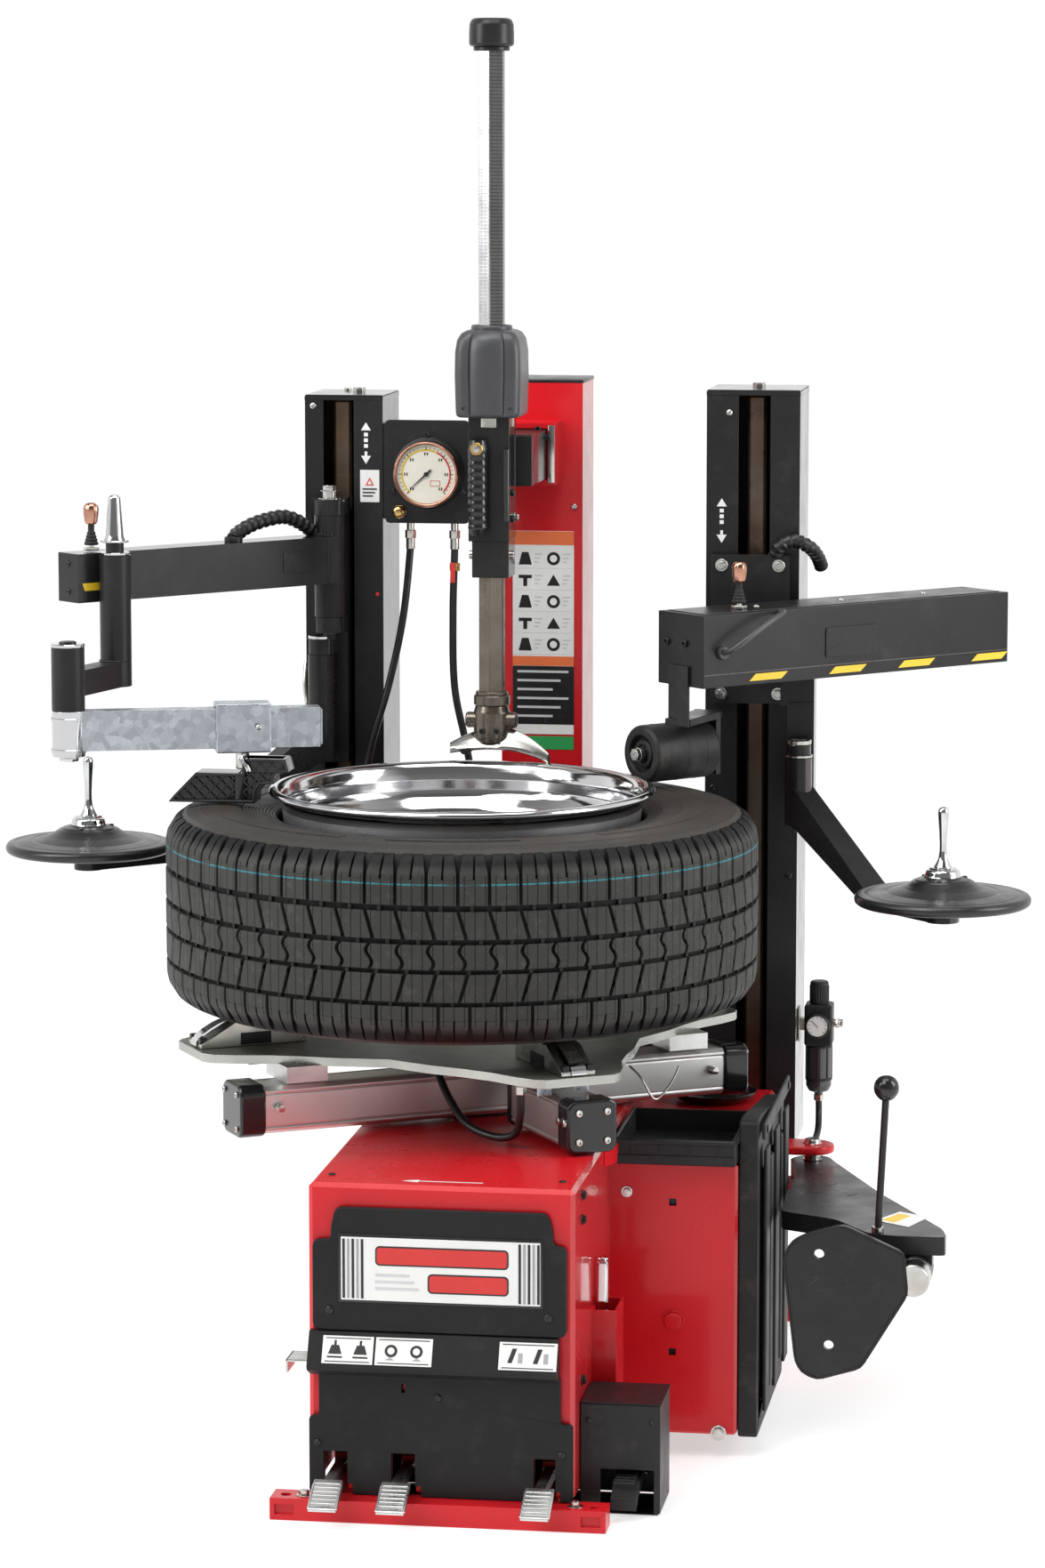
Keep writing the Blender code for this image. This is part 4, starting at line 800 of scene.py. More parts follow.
SH = (0.818, 0.826, 0.834, 0.840, 0.845, 0.850, 0.856, 0.862)
neck = lambda z: 0.0 if z < 0.845 else (z - 0.845) * 0.16
mid_s = lambda z, h: (PITCH - G0) / 2 + h * 0.0012 + (z - 0.835) * 0.05
blocks.append(lug(0.8010, 0.8360, straight(0), straight(PITCH - G0), cuts=SH))
blocks.append(lug(0.8352, 0.8680, lambda z: neck(z), lambda z: mid_s(z, -1), cuts=SH, c=0.0009))
blocks.append(lug(0.8352, 0.8680, lambda z: mid_s(z, 1), lambda z: PITCH - G0 - neck(z), cuts=SH, c=0.0009))
blocks.append(lug(0.7550, 0.7930, lean(0.012, 0.755, -0.30), lean(0.012 + PITCH - 0.0050, 0.755, -0.30)))
CS = [0.714 + 0.034 * k / 8 for k in range(1, 8)]
blocks.append(lug(0.7140, 0.7480, ess(0.006, 0.714, 0.748, 0.0042), ess(0.006 + PITCH - 0.0048, 0.714, 0.748, 0.0042), cuts=CS))
blocks.append(lug(0.6700, 0.7080, lean(0.002, 0.670, 0.30), lean(0.002 + PITCH - 0.0050, 0.670, 0.30)))
LO = (0.618, 0.624, 0.630, 0.635, 0.640, 0.646)
nl = lambda z: 0.0 if z > 0.635 else (0.635 - z) * 0.20
blocks.append(lug(0.6445, 0.6640, straight(0.016), straight(0.016 + PITCH - G0), cuts=LO))
blocks.append(lug(0.6120, 0.6452, lambda z: 0.016 + nl(z), lambda z: 0.016 + (PITCH - G0) / 2 - 0.0012, cuts=LO, c=0.0009))
blocks.append(lug(0.6120, 0.6452, lambda z: 0.016 + (PITCH - G0) / 2 + 0.0012, lambda z: 0.016 + PITCH - G0 - nl(z), cuts=LO, c=0.0009))
for z0, z1, u in ((0.7925, 0.8015, 0.014), (0.7475, 0.7555, 0.026), (0.7075, 0.7145, 0.010), (0.6635, 0.6705, 0.030)):
    v, f = lug(z0, z1, straight(u), straight(u + 0.0055), c=0.0006)
    rad = np.hypot(v[:, 0], v[:, 1])
    v = v * np.array([1, 1, 1]) * np.stack([(rad - 0.0048) / rad, (rad - 0.0048) / rad, np.ones(len(v))], 1)
    blocks.append((v, f))
P = Part()
OUT = [(0.262, 0.614), (0.2625, 0.606), (0.272, 0.6035), (0.300, 0.604), (0.3055, 0.6025), (0.307, 0.6035), (0.345, 0.6008), (0.371, 0.6035), (0.3725, 0.6045), (0.385, 0.6070), (0.396, 0.6115),
       (0.4015, 0.620), (0.4080, 0.636), (0.4104, 0.648)]
UP = [(0.4104, 0.832), (0.4080, 0.844), (0.4015, 0.860), (0.396, 0.8672), (0.3905, 0.8712), (0.3895, 0.8724), (0.3725, 0.8752), (0.3715, 0.8762), (0.345, 0.8785), (0.322, 0.8775), (0.3125, 0.8758), (0.3110, 0.8742),
      (0.300, 0.8738), (0.284, 0.8715), (0.272, 0.8675), (0.2635, 0.8655), (0.2615, 0.862)]
INN = [(0.2630, 0.850), (0.276, 0.850), (0.300, 0.861), (0.345, 0.865), (0.385, 0.857), (0.402, 0.839), (0.402, 0.640), (0.385, 0.622),
       (0.345, 0.613), (0.300, 0.617), (0.276, 0.630), (0.2630, 0.630)]
carc = OUT + [(0.4106, 0.66 + 0.02 * k) for k in range(9)] + UP + INN
add(P, lathe(fillet(carc, 0.003, 2), 144, True), lambda x, y, z: 0 if (math.hypot(x, y) > 0.3965 and 0.606 < z < 0.872) else 1)
for k in range(62):
    M = rotz(360.0 * k / 62)
    for b in blocks:
        P.add(b, 0, M)
# raised plain arcs and bars on the upper sidewall
for a0, span, r0, r1 in ((205, 46, 0.330, 0.352), (262, 30, 0.330, 0.352), (312, 52, 0.334, 0.348), (30, 60, 0.330, 0.352), (120, 50, 0.334, 0.348)):
    n = max(4, int(span / 3))
    vs, fs = [], []
    for i in range(n + 1):
        a = (a0 + span * i / n) * D2R
        for r in (r0, r1):
            zc = 0.8776 if r < 0.34 else 0.8782
            for z in (zc - 0.003, zc + 0.0010):
                vs.append((r * math.cos(a), r * math.sin(a), z))
    for i in range(n):
        o = 4 * i
        fs += [(o + 1, o + 3, o + 7, o + 5), (o, o + 4, o + 6, o + 2), (o, o + 1, o + 5, o + 4), (o + 2, o + 6, o + 7, o + 3)]
    fs += [(0, 2, 3, 1), (4 * n, 4 * n + 1, 4 * n + 3, 4 * n + 2)]
    P.add((np.array(vs), fs), 1)
make("tyre_treaded", P, [TREAD, SIDEWALL], "turntable", ["tyre"], sharp=50)

P = Part()
RP = [(.2715, .901), (.2715, .896), (.261, .890), (.254, .880), (.252, .850), (.234, .830), (.228, .800), (.228, .670), (.245, .640), (.254, .618),
      (.258, .603), (.2715, .599), (.2715, .5905), (.261, .5905), (.248, .600), (.238, .640), (.220, .670), (.220, .800), (.227, .830), (.244, .856),
      (.248, .890), (.260, .905)]
RV = [(.2735, .8995), (.2728, .8965), (.2620, .8915), (.2550, .8820), (.2525, .8500), (.234, .830), (.228, .800), (.228, .670), (.245, .640),
      (.254, .618), (.258, .603), (.2720, .5985), (.2733, .5960), (.2725, .5912), (.2640, .5905), (.2500, .600), (.2405, .640), (.220, .670),
      (.220, .785), (.2235, .815), (.2300, .838), (.2440, .854), (.2475, .862), (.2490, .884), (.2545, .8985), (.2600, .9040), (.2665, .9052), (.2715, .9035)]
add(P, lathe(fillet(RV, 0.006, 5), 160, True),
    lambda x, y, z: 1 if (math.hypot(x, y) > 0.2255 and z < 0.874 and (math.hypot(x, y) > 0.2515 or z < 0.835 and math.hypot(x, y) > 0.2275)) else 0)
# spokes in five converging pairs
for q in range(5):
    mid = 18 + 72 * q
    for s in (-1, 1):
        a1, a0 = (mid + 18 * s) * D2R, (mid + 10.5 * s) * D2R
        A = Vector((0.070 * math.cos(a0), 0.070 * math.sin(a0), 0))
        B = Vector((0.2262 * math.cos(a1), 0.2262 * math.sin(a1), 0))
        d = (B - A).normalized()
        n = Vector((-d.y, d.x, 0))
        rings = []
        for i in range(15):
            u = i / 14
            c = A.lerp(B, u)
            w = 0.0118 + 0.0052 * u + 0.006 * max(0, u - 0.86) / 0.14 * 1.0
            zt = 0.8335 - 0.002 * u + 0.004 * math.sin(math.pi * min(1, u * 1.15)) - 0.010 * max(0, u - 0.8) / 0.2
            zb = 0.806 - 0.004 * u
            g = []
            for x, z in ((-w, zb + 0.004), (-w * 0.9, zb), (w * 0.9, zb), (w, zb + 0.004), (w * 0.94, zt - 0.006), (w * 0.74, zt - 0.0012), (w * 0.5, zt),
                         (w * 0.28, zt - 0.0002), (w * 0.18, zt - 0.0022), (-w * 0.18, zt - 0.0022), (-w * 0.28, zt - 0.0002), (-w * 0.5, zt), (-w * 0.74, zt - 0.0012), (-w * 0.94, zt - 0.006)):
                g.append((c.x + n.x * x, c.y + n.y * x, z))
            rings.append(g)
        P.add(loft(rings), 2)
        # raised boss where the spoke meets the barrel
        e = A.lerp(B, 0.915)
        P.add(cyl(0.0125, 0.812, 0.8345, 0.003, 24), 2, Matrix.Translation((e.x, e.y, 0)))
    e = Vector((0.100 * math.cos(mid * D2R), 0.100 * math.sin(mid * D2R), 0))
    P.add(prism([(x, y) for x, y in ngon(24, 0.020)], 0.806, 0.826, 0.003, 3), 2, Matrix.Translation(e))
hub = []
for k in range(100):
    a = 2 * math.pi * k / 100
    hub.append(((0.0835 + 0.0035 * math.cos(5 * (a - 18 * D2R))) * math.cos(a), (0.0835 + 0.0035 * math.cos(5 * (a - 18 * D2R))) * math.sin(a)))
lugs = []
for k in range(5):
    cx, cy = 0.0575 * math.cos((54 + 72 * k) * D2R), 0.0575 * math.sin((54 + 72 * k) * D2R)
    lugs.append([(cx + x, cy + y) for x, y in ngon(24, 0.0105)])
P.add(prism(hub, 0.8025, 0.8400, 0.0022, 3, holes=[ngon(48, 0.0335)] + lugs), 2)
P.add(ring(0.0338, 0.0400, 0.8395, 0.8425, 0.001, 64), 0)
for k in range(5):
    cx, cy = 0.0575 * math.cos((54 + 72 * k) * D2R), 0.0575 * math.sin((54 + 72 * k) * D2R)
    P.add(ring(0.0104, 0.0140, 0.8390, 0.8418, 0.0008, 32), 0, Matrix.Translation((cx, cy, 0)))
    P.add(ring(0.0065, 0.0105, 0.8045, 0.8120, 0.001, 32), 0, Matrix.Translation((cx, cy, 0)))
# valve stem on the inner barrel
vm = mat4((0.232 * math.cos(268 * D2R), 0.232 * math.sin(268 * D2R), 0.846), (-math.cos(268 * D2R) * 0.6, -math.sin(268 * D2R) * 0.6, 0.8))
P.add(cyl(0.0052, -0.012, 0.010, 0.001, 20), 3, vm)
P.add(cyl(0.0038, 0.009, 0.030, 0.0006, 16), 4, vm)
P.add(cyl(0.0046, 0.026, 0.036, 0.0012, 18), 3, vm)
make("wheel_rim_polished", P, [RIM, SILVER, SPOKE, RUBBER, BRASS], "turntable", ["wheel_rim"], sharp=40)


# ---------------------------------------------------------------- hold-down discs
def disc(name, cx, cy, cz, r, body, node):
    prof = [(.0088, .001), (.030, .001), (.034, -.003), (.048, -.006), (r - .012, -.0092), (r - .004, -.0092), (r, -.0055), (r + .0005, .001), (r - .003, .0055),
            (r - .010, .0068), (r - .014, .0060), (r - .018, .0072), (.084, .0098), (.080, .0090), (.076, .0104), (.058, .016), (.050, .020), (.042, .0255),
            (.0405, .0245), (.038, .0275), (.027, .0300), (.0255, .0330), (.0240, .0395), (.0215, .0415), (.0165, .0420), (.0155, .0435), (.0088, .0435)]
    Q = Part()
    add(Q, lathe(fillet(prof, 0.0018, 3), 96, True), lambda x, y, z: 1 if math.hypot(x, y) < 0.0262 and z > 0.0312 else 0, Matrix.Translation((cx, cy, cz)))
    Q.add(prism(ngon(6, 0.0195, 12), 0.0398, 0.0440, 0.0012, 2, holes=[ngon(24, 0.0088)]), 1, Matrix.Translation((cx, cy, cz)))
    Q.add(lathe(fillet([(0, .0425), (.0120, .0425), (.0128, .0450), (.0100, .0500), (.0068, .0560), (.0052, .0660), (.0050, .0780), (.0060, .0980), (.0074, .1150), (.0078, .1240), (.0062, .1290), (0, .1310)], .0040, 5, False), 40, False), 1, Matrix.Translation((cx, cy, cz)))
    for k in range(3):
        a = (120 * k + 25) * D2R
        Q.socket((cx + 0.0335 * math.cos(a), cy + 0.0335 * math.sin(a), cz + 0.0262), "Z", 0.007, 0.004, 2)
    make(name, Q, [DISC, CHROME, BOLT_DARK], body, [node], sharp=38)


disc("left_disc_cone", -0.566, 0.100, 0.7915, 0.120, "left_disc", "left_disc")
disc("right_disc_cone", 0.674, 0.100, 0.744, 0.125, "right_disc", "right_disc")


# ---------------------------------------------------------------- finishes and edges of the machine's own parts
def dress(node, mats, fn=None, bevel=0.002, seg=2, angle=32, slot=None, flat=1.2):
    """Gives a node its finishes (fn of a face's middle and normal picks one) and soft edges."""
    o = NODES[node]
    me = o.data
    me.materials.clear()
    for m in mats:
        me.materials.append(m)
    if "custom_normal" in me.attributes:
        me.attributes.remove(me.attributes["custom_normal"])
    idx = np.zeros(len(me.polygons), dtype=np.int32)
    if fn:
        for p in me.polygons:
            c, n = p.center, p.normal
            idx[p.index] = fn(c.x - TX, c.y - TY, c.z, n)
    me.polygons.foreach_set("material_index", idx)
    me.shade_smooth()
    me.set_sharp_from_angle(angle=40 * D2R)
    w = o.modifiers.new("weld", "WELD")
    w.merge_threshold = 0.00001
    if flat:
        d = o.modifiers.new("flat", "DECIMATE")
        d.decimate_type = "DISSOLVE"
        d.angle_limit = flat * D2R
        d.delimit = {"MATERIAL"}
    if bevel:
        b = o.modifiers.new("edges", "BEVEL")
        b.width = bevel
        b.segments = seg
        b.limit_method = "ANGLE"
        b.angle_limit = angle * D2R
        b.harden_normals = False
        b.use_clamp_overlap = True
        b.miter_outer = "MITER_ARC"
    n = o.modifiers.new("weighted", "WEIGHTED_NORMAL")
    n.keep_sharp = False if bevel else True
    n.weight = 90
    return o


side = lambda x, y, z, n: 1 if n.x > 0.7 else 0
dress("base_frame", [RED], bevel=0.003)
# Faces turned to +X take the darker red copy: painted shade on the cabinet's side.
dress("cabinet", [RED, RED_SHADED_SIDE], side, bevel=0.0045, seg=3)
dress("name_cover", [PLASTIC_FINE], bevel=0.0022, seg=3)
dress("pedal_cover", [PLASTIC_FINE], bevel=0.0012, flat=0)
dress("pedal_box", [PLASTIC], bevel=0.003, seg=3)
dress("side_pad", [RUBBER], bevel=0.003, seg=3)
dress("tool_tray", [PLASTIC], bevel=0.0028, seg=3)
dress("gearbox", [ALU_CAST], bevel=0.003, seg=3)
dress("drive_motor", [BLACK_SATIN], bevel=0.002)
dress("tower_bracket", [BLACK], bevel=0.003)
dress("left_column", [BLACK, BLACK_GLOSS], side, bevel=0.0035, seg=3)
dress("right_column", [BLACK, BLACK_GLOSS], side, bevel=0.0035, seg=3)
dress("left_guide_bar", [RUSTY], bevel=0.001)
dress("right_guide_bar", [RUSTY], bevel=0.001)
dress("gauge_panel", [BLACK], bevel=0.0012)
dress("breaker_bracket", [RED, BOLT], lambda x, y, z, n: 1 if math.hypot(x - .478, y - .262) < 0.0145 else 0, bevel=0.003)
for nd in ("tower_pedal", "clamp_pedal", "rotation_pedal"):
    dress(nd, [ALU_CAST], bevel=0.0015)
dress("inflation_pedal", [RUBBER], bevel=0.0015)
dress("tyre_lever", [CHROME], bevel=0.0015, seg=3)
dress("turntable_plate", [TABLE, EDGE, ALU_CAST], lambda x, y, z, n: 2 if z < 0.5475 else (1 if abs(n.z) < 0.5 and math.hypot(x, y) > 0.075 else 0), bevel=0.0012)
for k in range(1, 5):
    dress("jaw_%d" % k, [ZINC], bevel=0.0015)
# Faces turned to +X take the darker red copy: painted shade on the tower's side.
dress("tower", [RED, RED_SHADED_SIDE], side, bevel=0.005, seg=3)
dress("slide_arm", [BLACK, BLACK_GLOSS], side, bevel=0.003, seg=3)
dress("left_carriage", [BLACK_SATIN, BLACK_GLOSS, BOLT], lambda x, y, z, n: 2 if z > 1.2785 else (1 if n.x > 0.7 else 0), bevel=0.002)
dress("left_arm", [BLACK, BLACK_GLOSS], lambda x, y, z, n: 1 if n.z > 0.8 else 0, bevel=0.0028, seg=3)
dress("left_link", [BLACK, CHROME], lambda x, y, z, n: 1 if z < 1.0155 else 0, bevel=0.002)
dress("press_arm", [GALV, CHROME], lambda x, y, z, n: 1 if math.hypot(x + 0.542, y + 0.111) < 0.0245 and z < 0.9985 else 0, bevel=0.0015)
dress("press_slider", [GALV, NICKEL], lambda x, y, z, n: 1 if z < 0.9525 else 0, bevel=0.0025, seg=3)
dress("left_disc_arm", [BLACK_SATIN, NICKEL], lambda x, y, z, n: 1 if z < 0.85 and math.hypot(x + 0.566, y - 0.100) < 0.02 else 0, bevel=0.002)
dress("right_carriage", [BLACK_SATIN, BLACK_GLOSS], side, bevel=0.002)
dress("right_arm", [BLACK, ARM_LIT_SIDE], lambda x, y, z, n: 0, bevel=0.002, seg=3)
dress("roller_bracket", [BLACK_SATIN], bevel=0.0015)
# Faces turned to +X take the lighter arm colour: painted light on that side of the arm.
dress("right_disc_arm", [BLACK_SATIN, ARM_LIT_SIDE, NICKEL], lambda x, y, z, n: 2 if z < 0.79 and math.hypot(x - 0.674, y - 0.100) < 0.02 else (1 if n.x > 0.55 else 0), bevel=0.002)
dress("breaker_arm", [BLACK_SATIN, CHROME, STEEL], lambda x, y, z, n: 2 if (math.hypot(x - 0.662, z - 0.274) < 0.0235 and abs(n.y) > 0.9 and y < -0.16) else 0, bevel=0.002)
dress("breaker_blade", [BLACK_SATIN, STEEL], lambda x, y, z, n: 1 if y > -.2505 + 0 and y > -.2498 or (x > .658 and math.hypot(x - .662, z - .274) < .0228) else 0, bevel=0.0010, seg=2)


# ---------------------------------------------------------------- base, cabinet and pedals
P = Part()
for x, y in ((-.122, -.5705), (.242, -.5705)):
    P.hexbolt((x, y, 0.030), "Z", 0.013, 0.006, 0)
for x in (-0.255, 0.395):
    P.hexbolt((x, 0.605, 0.0305), "Z", 0.017, 0.008, 0)
make("base_bolts", P, [BOLT], "root")

P = Part()
# screws of the two covers and bolts of the cabinet
for x, z in ((-.088, .281), (.204, .280)):
    P.pan((x, -.5602, z), "-Y", 0.011, 0.0028, 1)
for x, z in ((-.105, .100), (.222, .095), (.057, .167)):
    P.pan((x, -.5602, z), "-Y", 0.010, 0.0028, 1)
for z in (.429, .396, .178):
    P.hexbolt((.2384, -.480, z), "X", 0.010, 0.004, 1)
P.hexbolt((.391, -.2003, .034), "-Y", 0.014, 0.006, 0)
P.hexbolt((.262, -.2003, .372), "-Y", 0.010, 0.004, 0)
for x, y in ((-.095, .295), (.215, .295), (-.095, -.500), (.215, -.500)):
    P.pan((x, y, .4502), "Z", 0.010, 0.0022, 1)
for y in (-.17, 0.05, .28):
    for z in (.07, .36):
        P.hexbolt((-.1182, y, z), "-X", 0.010, 0.004, 1)
for x in (-.07, .19, .36):
    for z in (.07, .38):
        P.hexbolt((x, .3202, z), "Y", 0.010, 0.004, 1) if not (-.03 < x < .25 and z > .3) else None
# vent louvres on the back
for k in range(9):
    P.add(bx(.235, .375, .3202, .3245, .150 + .018 * k, .157 + .018 * k, 0.0018, 2), 2)
# round plug and a small bracket tab
P.add(cyl(0.0125, 0, 0.004, 0.0015, 32), 3, mat4((.3274, -.2001, .1912), "-Y"))
P.add(ring(0.0128, 0.0150, 0, 0.0020, 0.0006, 32), 3, mat4((.3274, -.2001, .1912), "-Y"))
P.add(bx(-.150, -.1186, -.548, -.500, .205, .208, 0.0008), 0)
P.add(bx(-.150, -.147, -.548, -.500, .190, .208, 0.0008), 0)
# side filler under the nose and the gusset on the top edge
P.add(prism([(.2385, -.26), (.2385, -.2005), (.263, -.2005)], .418, .447, 0.001), 3)
make("cabinet_fittings", P, [BOLT, BOLT_DARK, RED, RED], "root")

P = Part()
# rubber boot ring round the shaft hole and the dish behind the tray
P.add(lathe(fillet([(.088, .4502), (.112, .4502), (.112, .4518), (.106, .4524), (.090, .4524), (.088, .4518)], 0.0006, 2), 72, True), 0)
P.add(lathe(fillet([(0, .4155), (.040, .4155), (.052, .4170), (.060, .4230), (.063, .4290), (.0605, .4300), (.055, .4230), (.046, .4200), (0, .4195)], 0.0008, 2, False), 56, False), 1, Matrix.Translation((.335, .235, 0)))
make("cabinet_rubbers", P, [RUBBER, BLACK_GLOSS], "root")

P = Part()
# direction arrow on the cabinet top
za = .4503
P.add(prism([(.004, -.524), (.026, -.531), (.026, -.5255), (.112, -.5255), (.112, -.5225), (.026, -.5225), (.026, -.517)], za, za + .0004, 0), 0)
# name plate: frame, ground, stripes at both ends and plain blocks
yn = -.5602
P.add(bx(-.0755, .1975, yn - .0012, yn, .2925, .3845, 0.0010, 3), 1)
P.add(bx(-.0720, .1940, yn - .0018, yn - .0010, .2960, .3810, 0.0003, 1), 0)
ys = yn - .0018
for k in range(5):
    for x0 in (-.0700 + k * .0062, .1650 + k * .0062):
        P.add(bx(x0, x0 + .0034, ys - .0004, ys + .0001, .2985, .3785, 0), 2 if k % 2 else 1)
PM = Matrix(((1, 0, 0, 0), (0, 0, -1, ys), (0, 1, 0, 0), (0, 0, 0, 1)))
for x0, x1, z0, z1 in ((-.026, .152, .3435, .3700), (.044, .152, .3080, .3345)):
    P.add(prism(rrect(x0, x1, z0, z1, .0060), 0, .0003, 0), 1, PM)
    P.add(prism(rrect(x0 + .0022, x1 - .0022, z0 + .0022, z1 - .0022, .0042), .0003, .0006, 0), 4, PM)
for k in range(3):
    P.add(bx(-.026, .020 + .006 * k, ys - .0004, ys + .0001, .3290 - .0090 * k, .3325 - .0090 * k, 0), 3)
make("name_plate", P, [P_WHITE, P_BLACK, P_GREY, P_PALE, P_RED], "root", weighted=False)

P = Part()
# pictogram labels on the slanted shelf
a = Vector((0, -.563 - .0003, .2525))
b = Vector((0, -.585 - .0003, .2095))
dn = (b - a).normalized()
nrm = Vector((0, dn.z, -dn.y)).normalized()
nrm = nrm if nrm.y < 0 else -nrm
S = Matrix(((1, 0, 0, 0), (0, -dn.y, nrm.y, a.y), (0, -dn.z, nrm.z, a.z), (0, 0, 0, 1)))   # (x, up from the top edge, out)


def slant(part, x0, x1, u0, u1, w, mi, o=None):
    """A thin block on the slanted shelf, u measured down from its top edge."""
    q = o or [(x0, -u1), (x1, -u1), (x1, -u0), (x0, -u0)]
    part.add(prism(q, w, w + .0004, 0), mi, S)


for x0, x1 in ((-.095, -.027), (-.024, .052), (.141, .218)):
    slant(P, x0, x1, .0055, .0430, .0002, 0)
    xm = (x0 + x1) / 2
    slant(P, x0 + .004, x1 - .004, .0080, .0092, .0005, 1)
    slant(P, x0 + .004, x1 - .004, .0395, .0407, .0005, 1)
    for s in (-1, 1):
        c = xm + s * .017
        if x0 < -.05:
            slant(P, 0, 0, 0, 0, .0005, 1, [(c - .009, -.030), (c + .009, -.030), (c + .005, -.018), (c - .005, -.018)])
            slant(P, c - .0015, c + .0015, .0115, .0180, .0005, 1)
            slant(P, c - .010, c + .010, .0330, .0352, .0005, 1)
        elif x0 < 0:
            slant(P, 0, 0, 0, 0, .0005, 1, [(c + .0085 * math.cos(t * D2R), -.0235 + .0085 * math.sin(t * D2R)) for t in range(0, 360, 20)])
            slant(P, 0, 0, 0, 0, .0009, 0, [(c + .0048 * math.cos(t * D2R), -.0235 + .0048 * math.sin(t * D2R)) for t in range(0, 360, 20)])
            slant(P, 0, 0, 0, 0, .0005, 2, [(c - .005 * s, -.036), (c + .007 * s, -.036), (c + .001 * s, -.032)][::s])
        else:
            slant(P, 0, 0, 0, 0, .0005, 1, [(c - .010, -.0335), (c - .004, -.0335), (c + .002, -.014), (c - .004, -.014)])
            slant(P, 0, 0, 0, 0, .0005, 2, [(c + .004, -.0335), (c + .010, -.0335), (c + .010, -.020), (c + .004, -.020)])
make("pedal_labels", P, [P_WHITE, P_BLACK, P_GREY], "root", weighted=False)

# ribs and lips on the pedals' pads
for nd, xc in (("tower_pedal", -.0845), ("clamp_pedal", .006), ("rotation_pedal", .1975)):
    P = Part()
    for k in range(6):
        t = k / 5
        y = -.6330 + .036 * t
        z = .0375 + .0170 * t
        P.add(sweep([(xc - .0165, y, z), (xc + .0165, y, z)], 0.0016, 8), 0)
    P.add(sweep([(xc - .0185, -.6395, .0310), (xc + .0185, -.6395, .0310)], 0.0028, 12), 0)
    for s in (-1, 1):
        P.add(sweep([(xc + s * .0185, -.639, .0325), (xc + s * .0185, -.600, .0530), (xc + s * .0175, -.589, .0565)], 0.0018, 8), 0)
    make(nd + "_ribs", P, [ALU_CAST], nd, sharp=60)

P = Part()
for k in range(7):
    y = -.5300 + .0135 * k
    P.add(sweep([(.287, y, .0525 - .0002 * k), (.315, y, .0525 - .0002 * k)], 0.0016, 8), 0)
P.add(cyl(.0042, -.0196, .0196, .0008, 20), 1, mat4((.301, -.430, .040), "X"))
make("inflation_pedal_ribs", P, [RUBBER, CHROME], "inflation_pedal", sharp=60)

P = Part()
# flange and feet of the pedal box, rim of the tray
P.add(bx(.2388, .3475, -.501, -.394, .1512, .1535, .001), 0)
for x in (.2500, .3350):
    P.pan((x, -.5003, .128), "-Y", .008, .0024, 1)
P.add(sweep([(.2475, -.2255, .4490), (.4145, -.2255, .4490)], .0042, 12), 0)
P.add(sweep([(.4160, -.221, .4490), (.4160, -.012, .4490)], .0028, 12), 0)
P.add(bx(.2475, .4145, -.2270, -.2245, .4180, .4300, .001), 0)
for k in range(4):
    x = .272 + .040 * k
    P.add(bx(x - .0015, x + .0015, -.2265, -.2242, .4240, .4450, .0006), 0)
make("plastic_trims", P, [PLASTIC, BOLT_DARK], "root")

P = Part()
# smooth raised ribs and end steps on the side pad
for y in (-.150, -.014, .122):
    P.add(bx(.4490, .4540, y - .024, y + .024, .060, .430, .0026, 3), 0)
P.add(bx(.4480, .4530, -.190, .162, .448, .470, .0022, 3), 0)
for y in (-.165, .140):
    P.add(cyl(.006, 0, .003, .0008, 24), 1, mat4((.4525, y, .459), "X"))
make("pad_ribs", P, [RUBBER, BOLT_DARK], "root")

P = Part()
# dark sheets put where there is only shade, behind the pedal slots, in the pedal box and behind the square holes:
# painted shade
P.add(bx(-.112, .233, -.402, -.400, .004, .236, .0005, 1), 0)
P.add(bx(-.112, .233, -.544, -.400, .0015, .0030, .0004, 1), 0)
P.add(bx(.2420, .3430, -.498, -.400, .0010, .0022, .0003, 1), 0)
for z in (.359, .147):
    P.add(bx(.312, .340, -.1935, -.1920, z - .012, z + .012, .0003, 1), 0)
make("shade_sheets_behind_openings", P, [BLACK_SATIN], "root")

P = Part()
P.add(bx(.2435, .2440, -.3595, -.3445, .190, .300, .0002, 1), 0)
P.add(bx(.2550, .2563, -.3575, -.3465, .200, .305, .0005, 1), 0)
P.add(cyl(.0062, -.0070, .0070, .0012, 20), 0, mat4((.2495, -.352, .309), "X"))
make("lever_panel", P, [CHROME], "tyre_lever")


# ---------------------------------------------------------------- columns, tower and gauge
def front_plate(part, outline, y, w, mi):
    """A flat thin block on a front face at y, its outline in (x, z)."""
    part.add(prism(outline, 0, w, 0), mi, Matrix(((1, 0, 0, 0), (0, 0, -1, y), (0, 1, 0, 0), (0, 0, 0, 1))))


def rect(x0, x1, z0, z1):
    return [(x0, z0), (x1, z0), (x1, z1), (x0, z1)]


yc = .4200
P = Part()
for x0, zt, zb, s in ((-.2125, 1.389, 1.327, 1.0), (.3190, 1.282, 1.216, 1.0)):
    xm = x0
    if x0 > 0:
        xm = .3215
    front_plate(P, [(xm - .0075, zt - .012), (xm + .0075, zt - .012), (xm, zt)], yc, .0003, 0)
    for k in range(3):
        front_plate(P, rect(xm - .0030, xm + .0030, zt - .021 - .0085 * k, zt - .0155 - .0085 * k), yc, .0003, 0)
    front_plate(P, [(xm, zb), (xm + .0075, zb + .012), (xm - .0075, zb + .012)], yc, .0003, 0)
    front_plate(P, rect(xm - .0020, xm + .0020, zb + .012, zb + .0185), yc, .0003, 0)
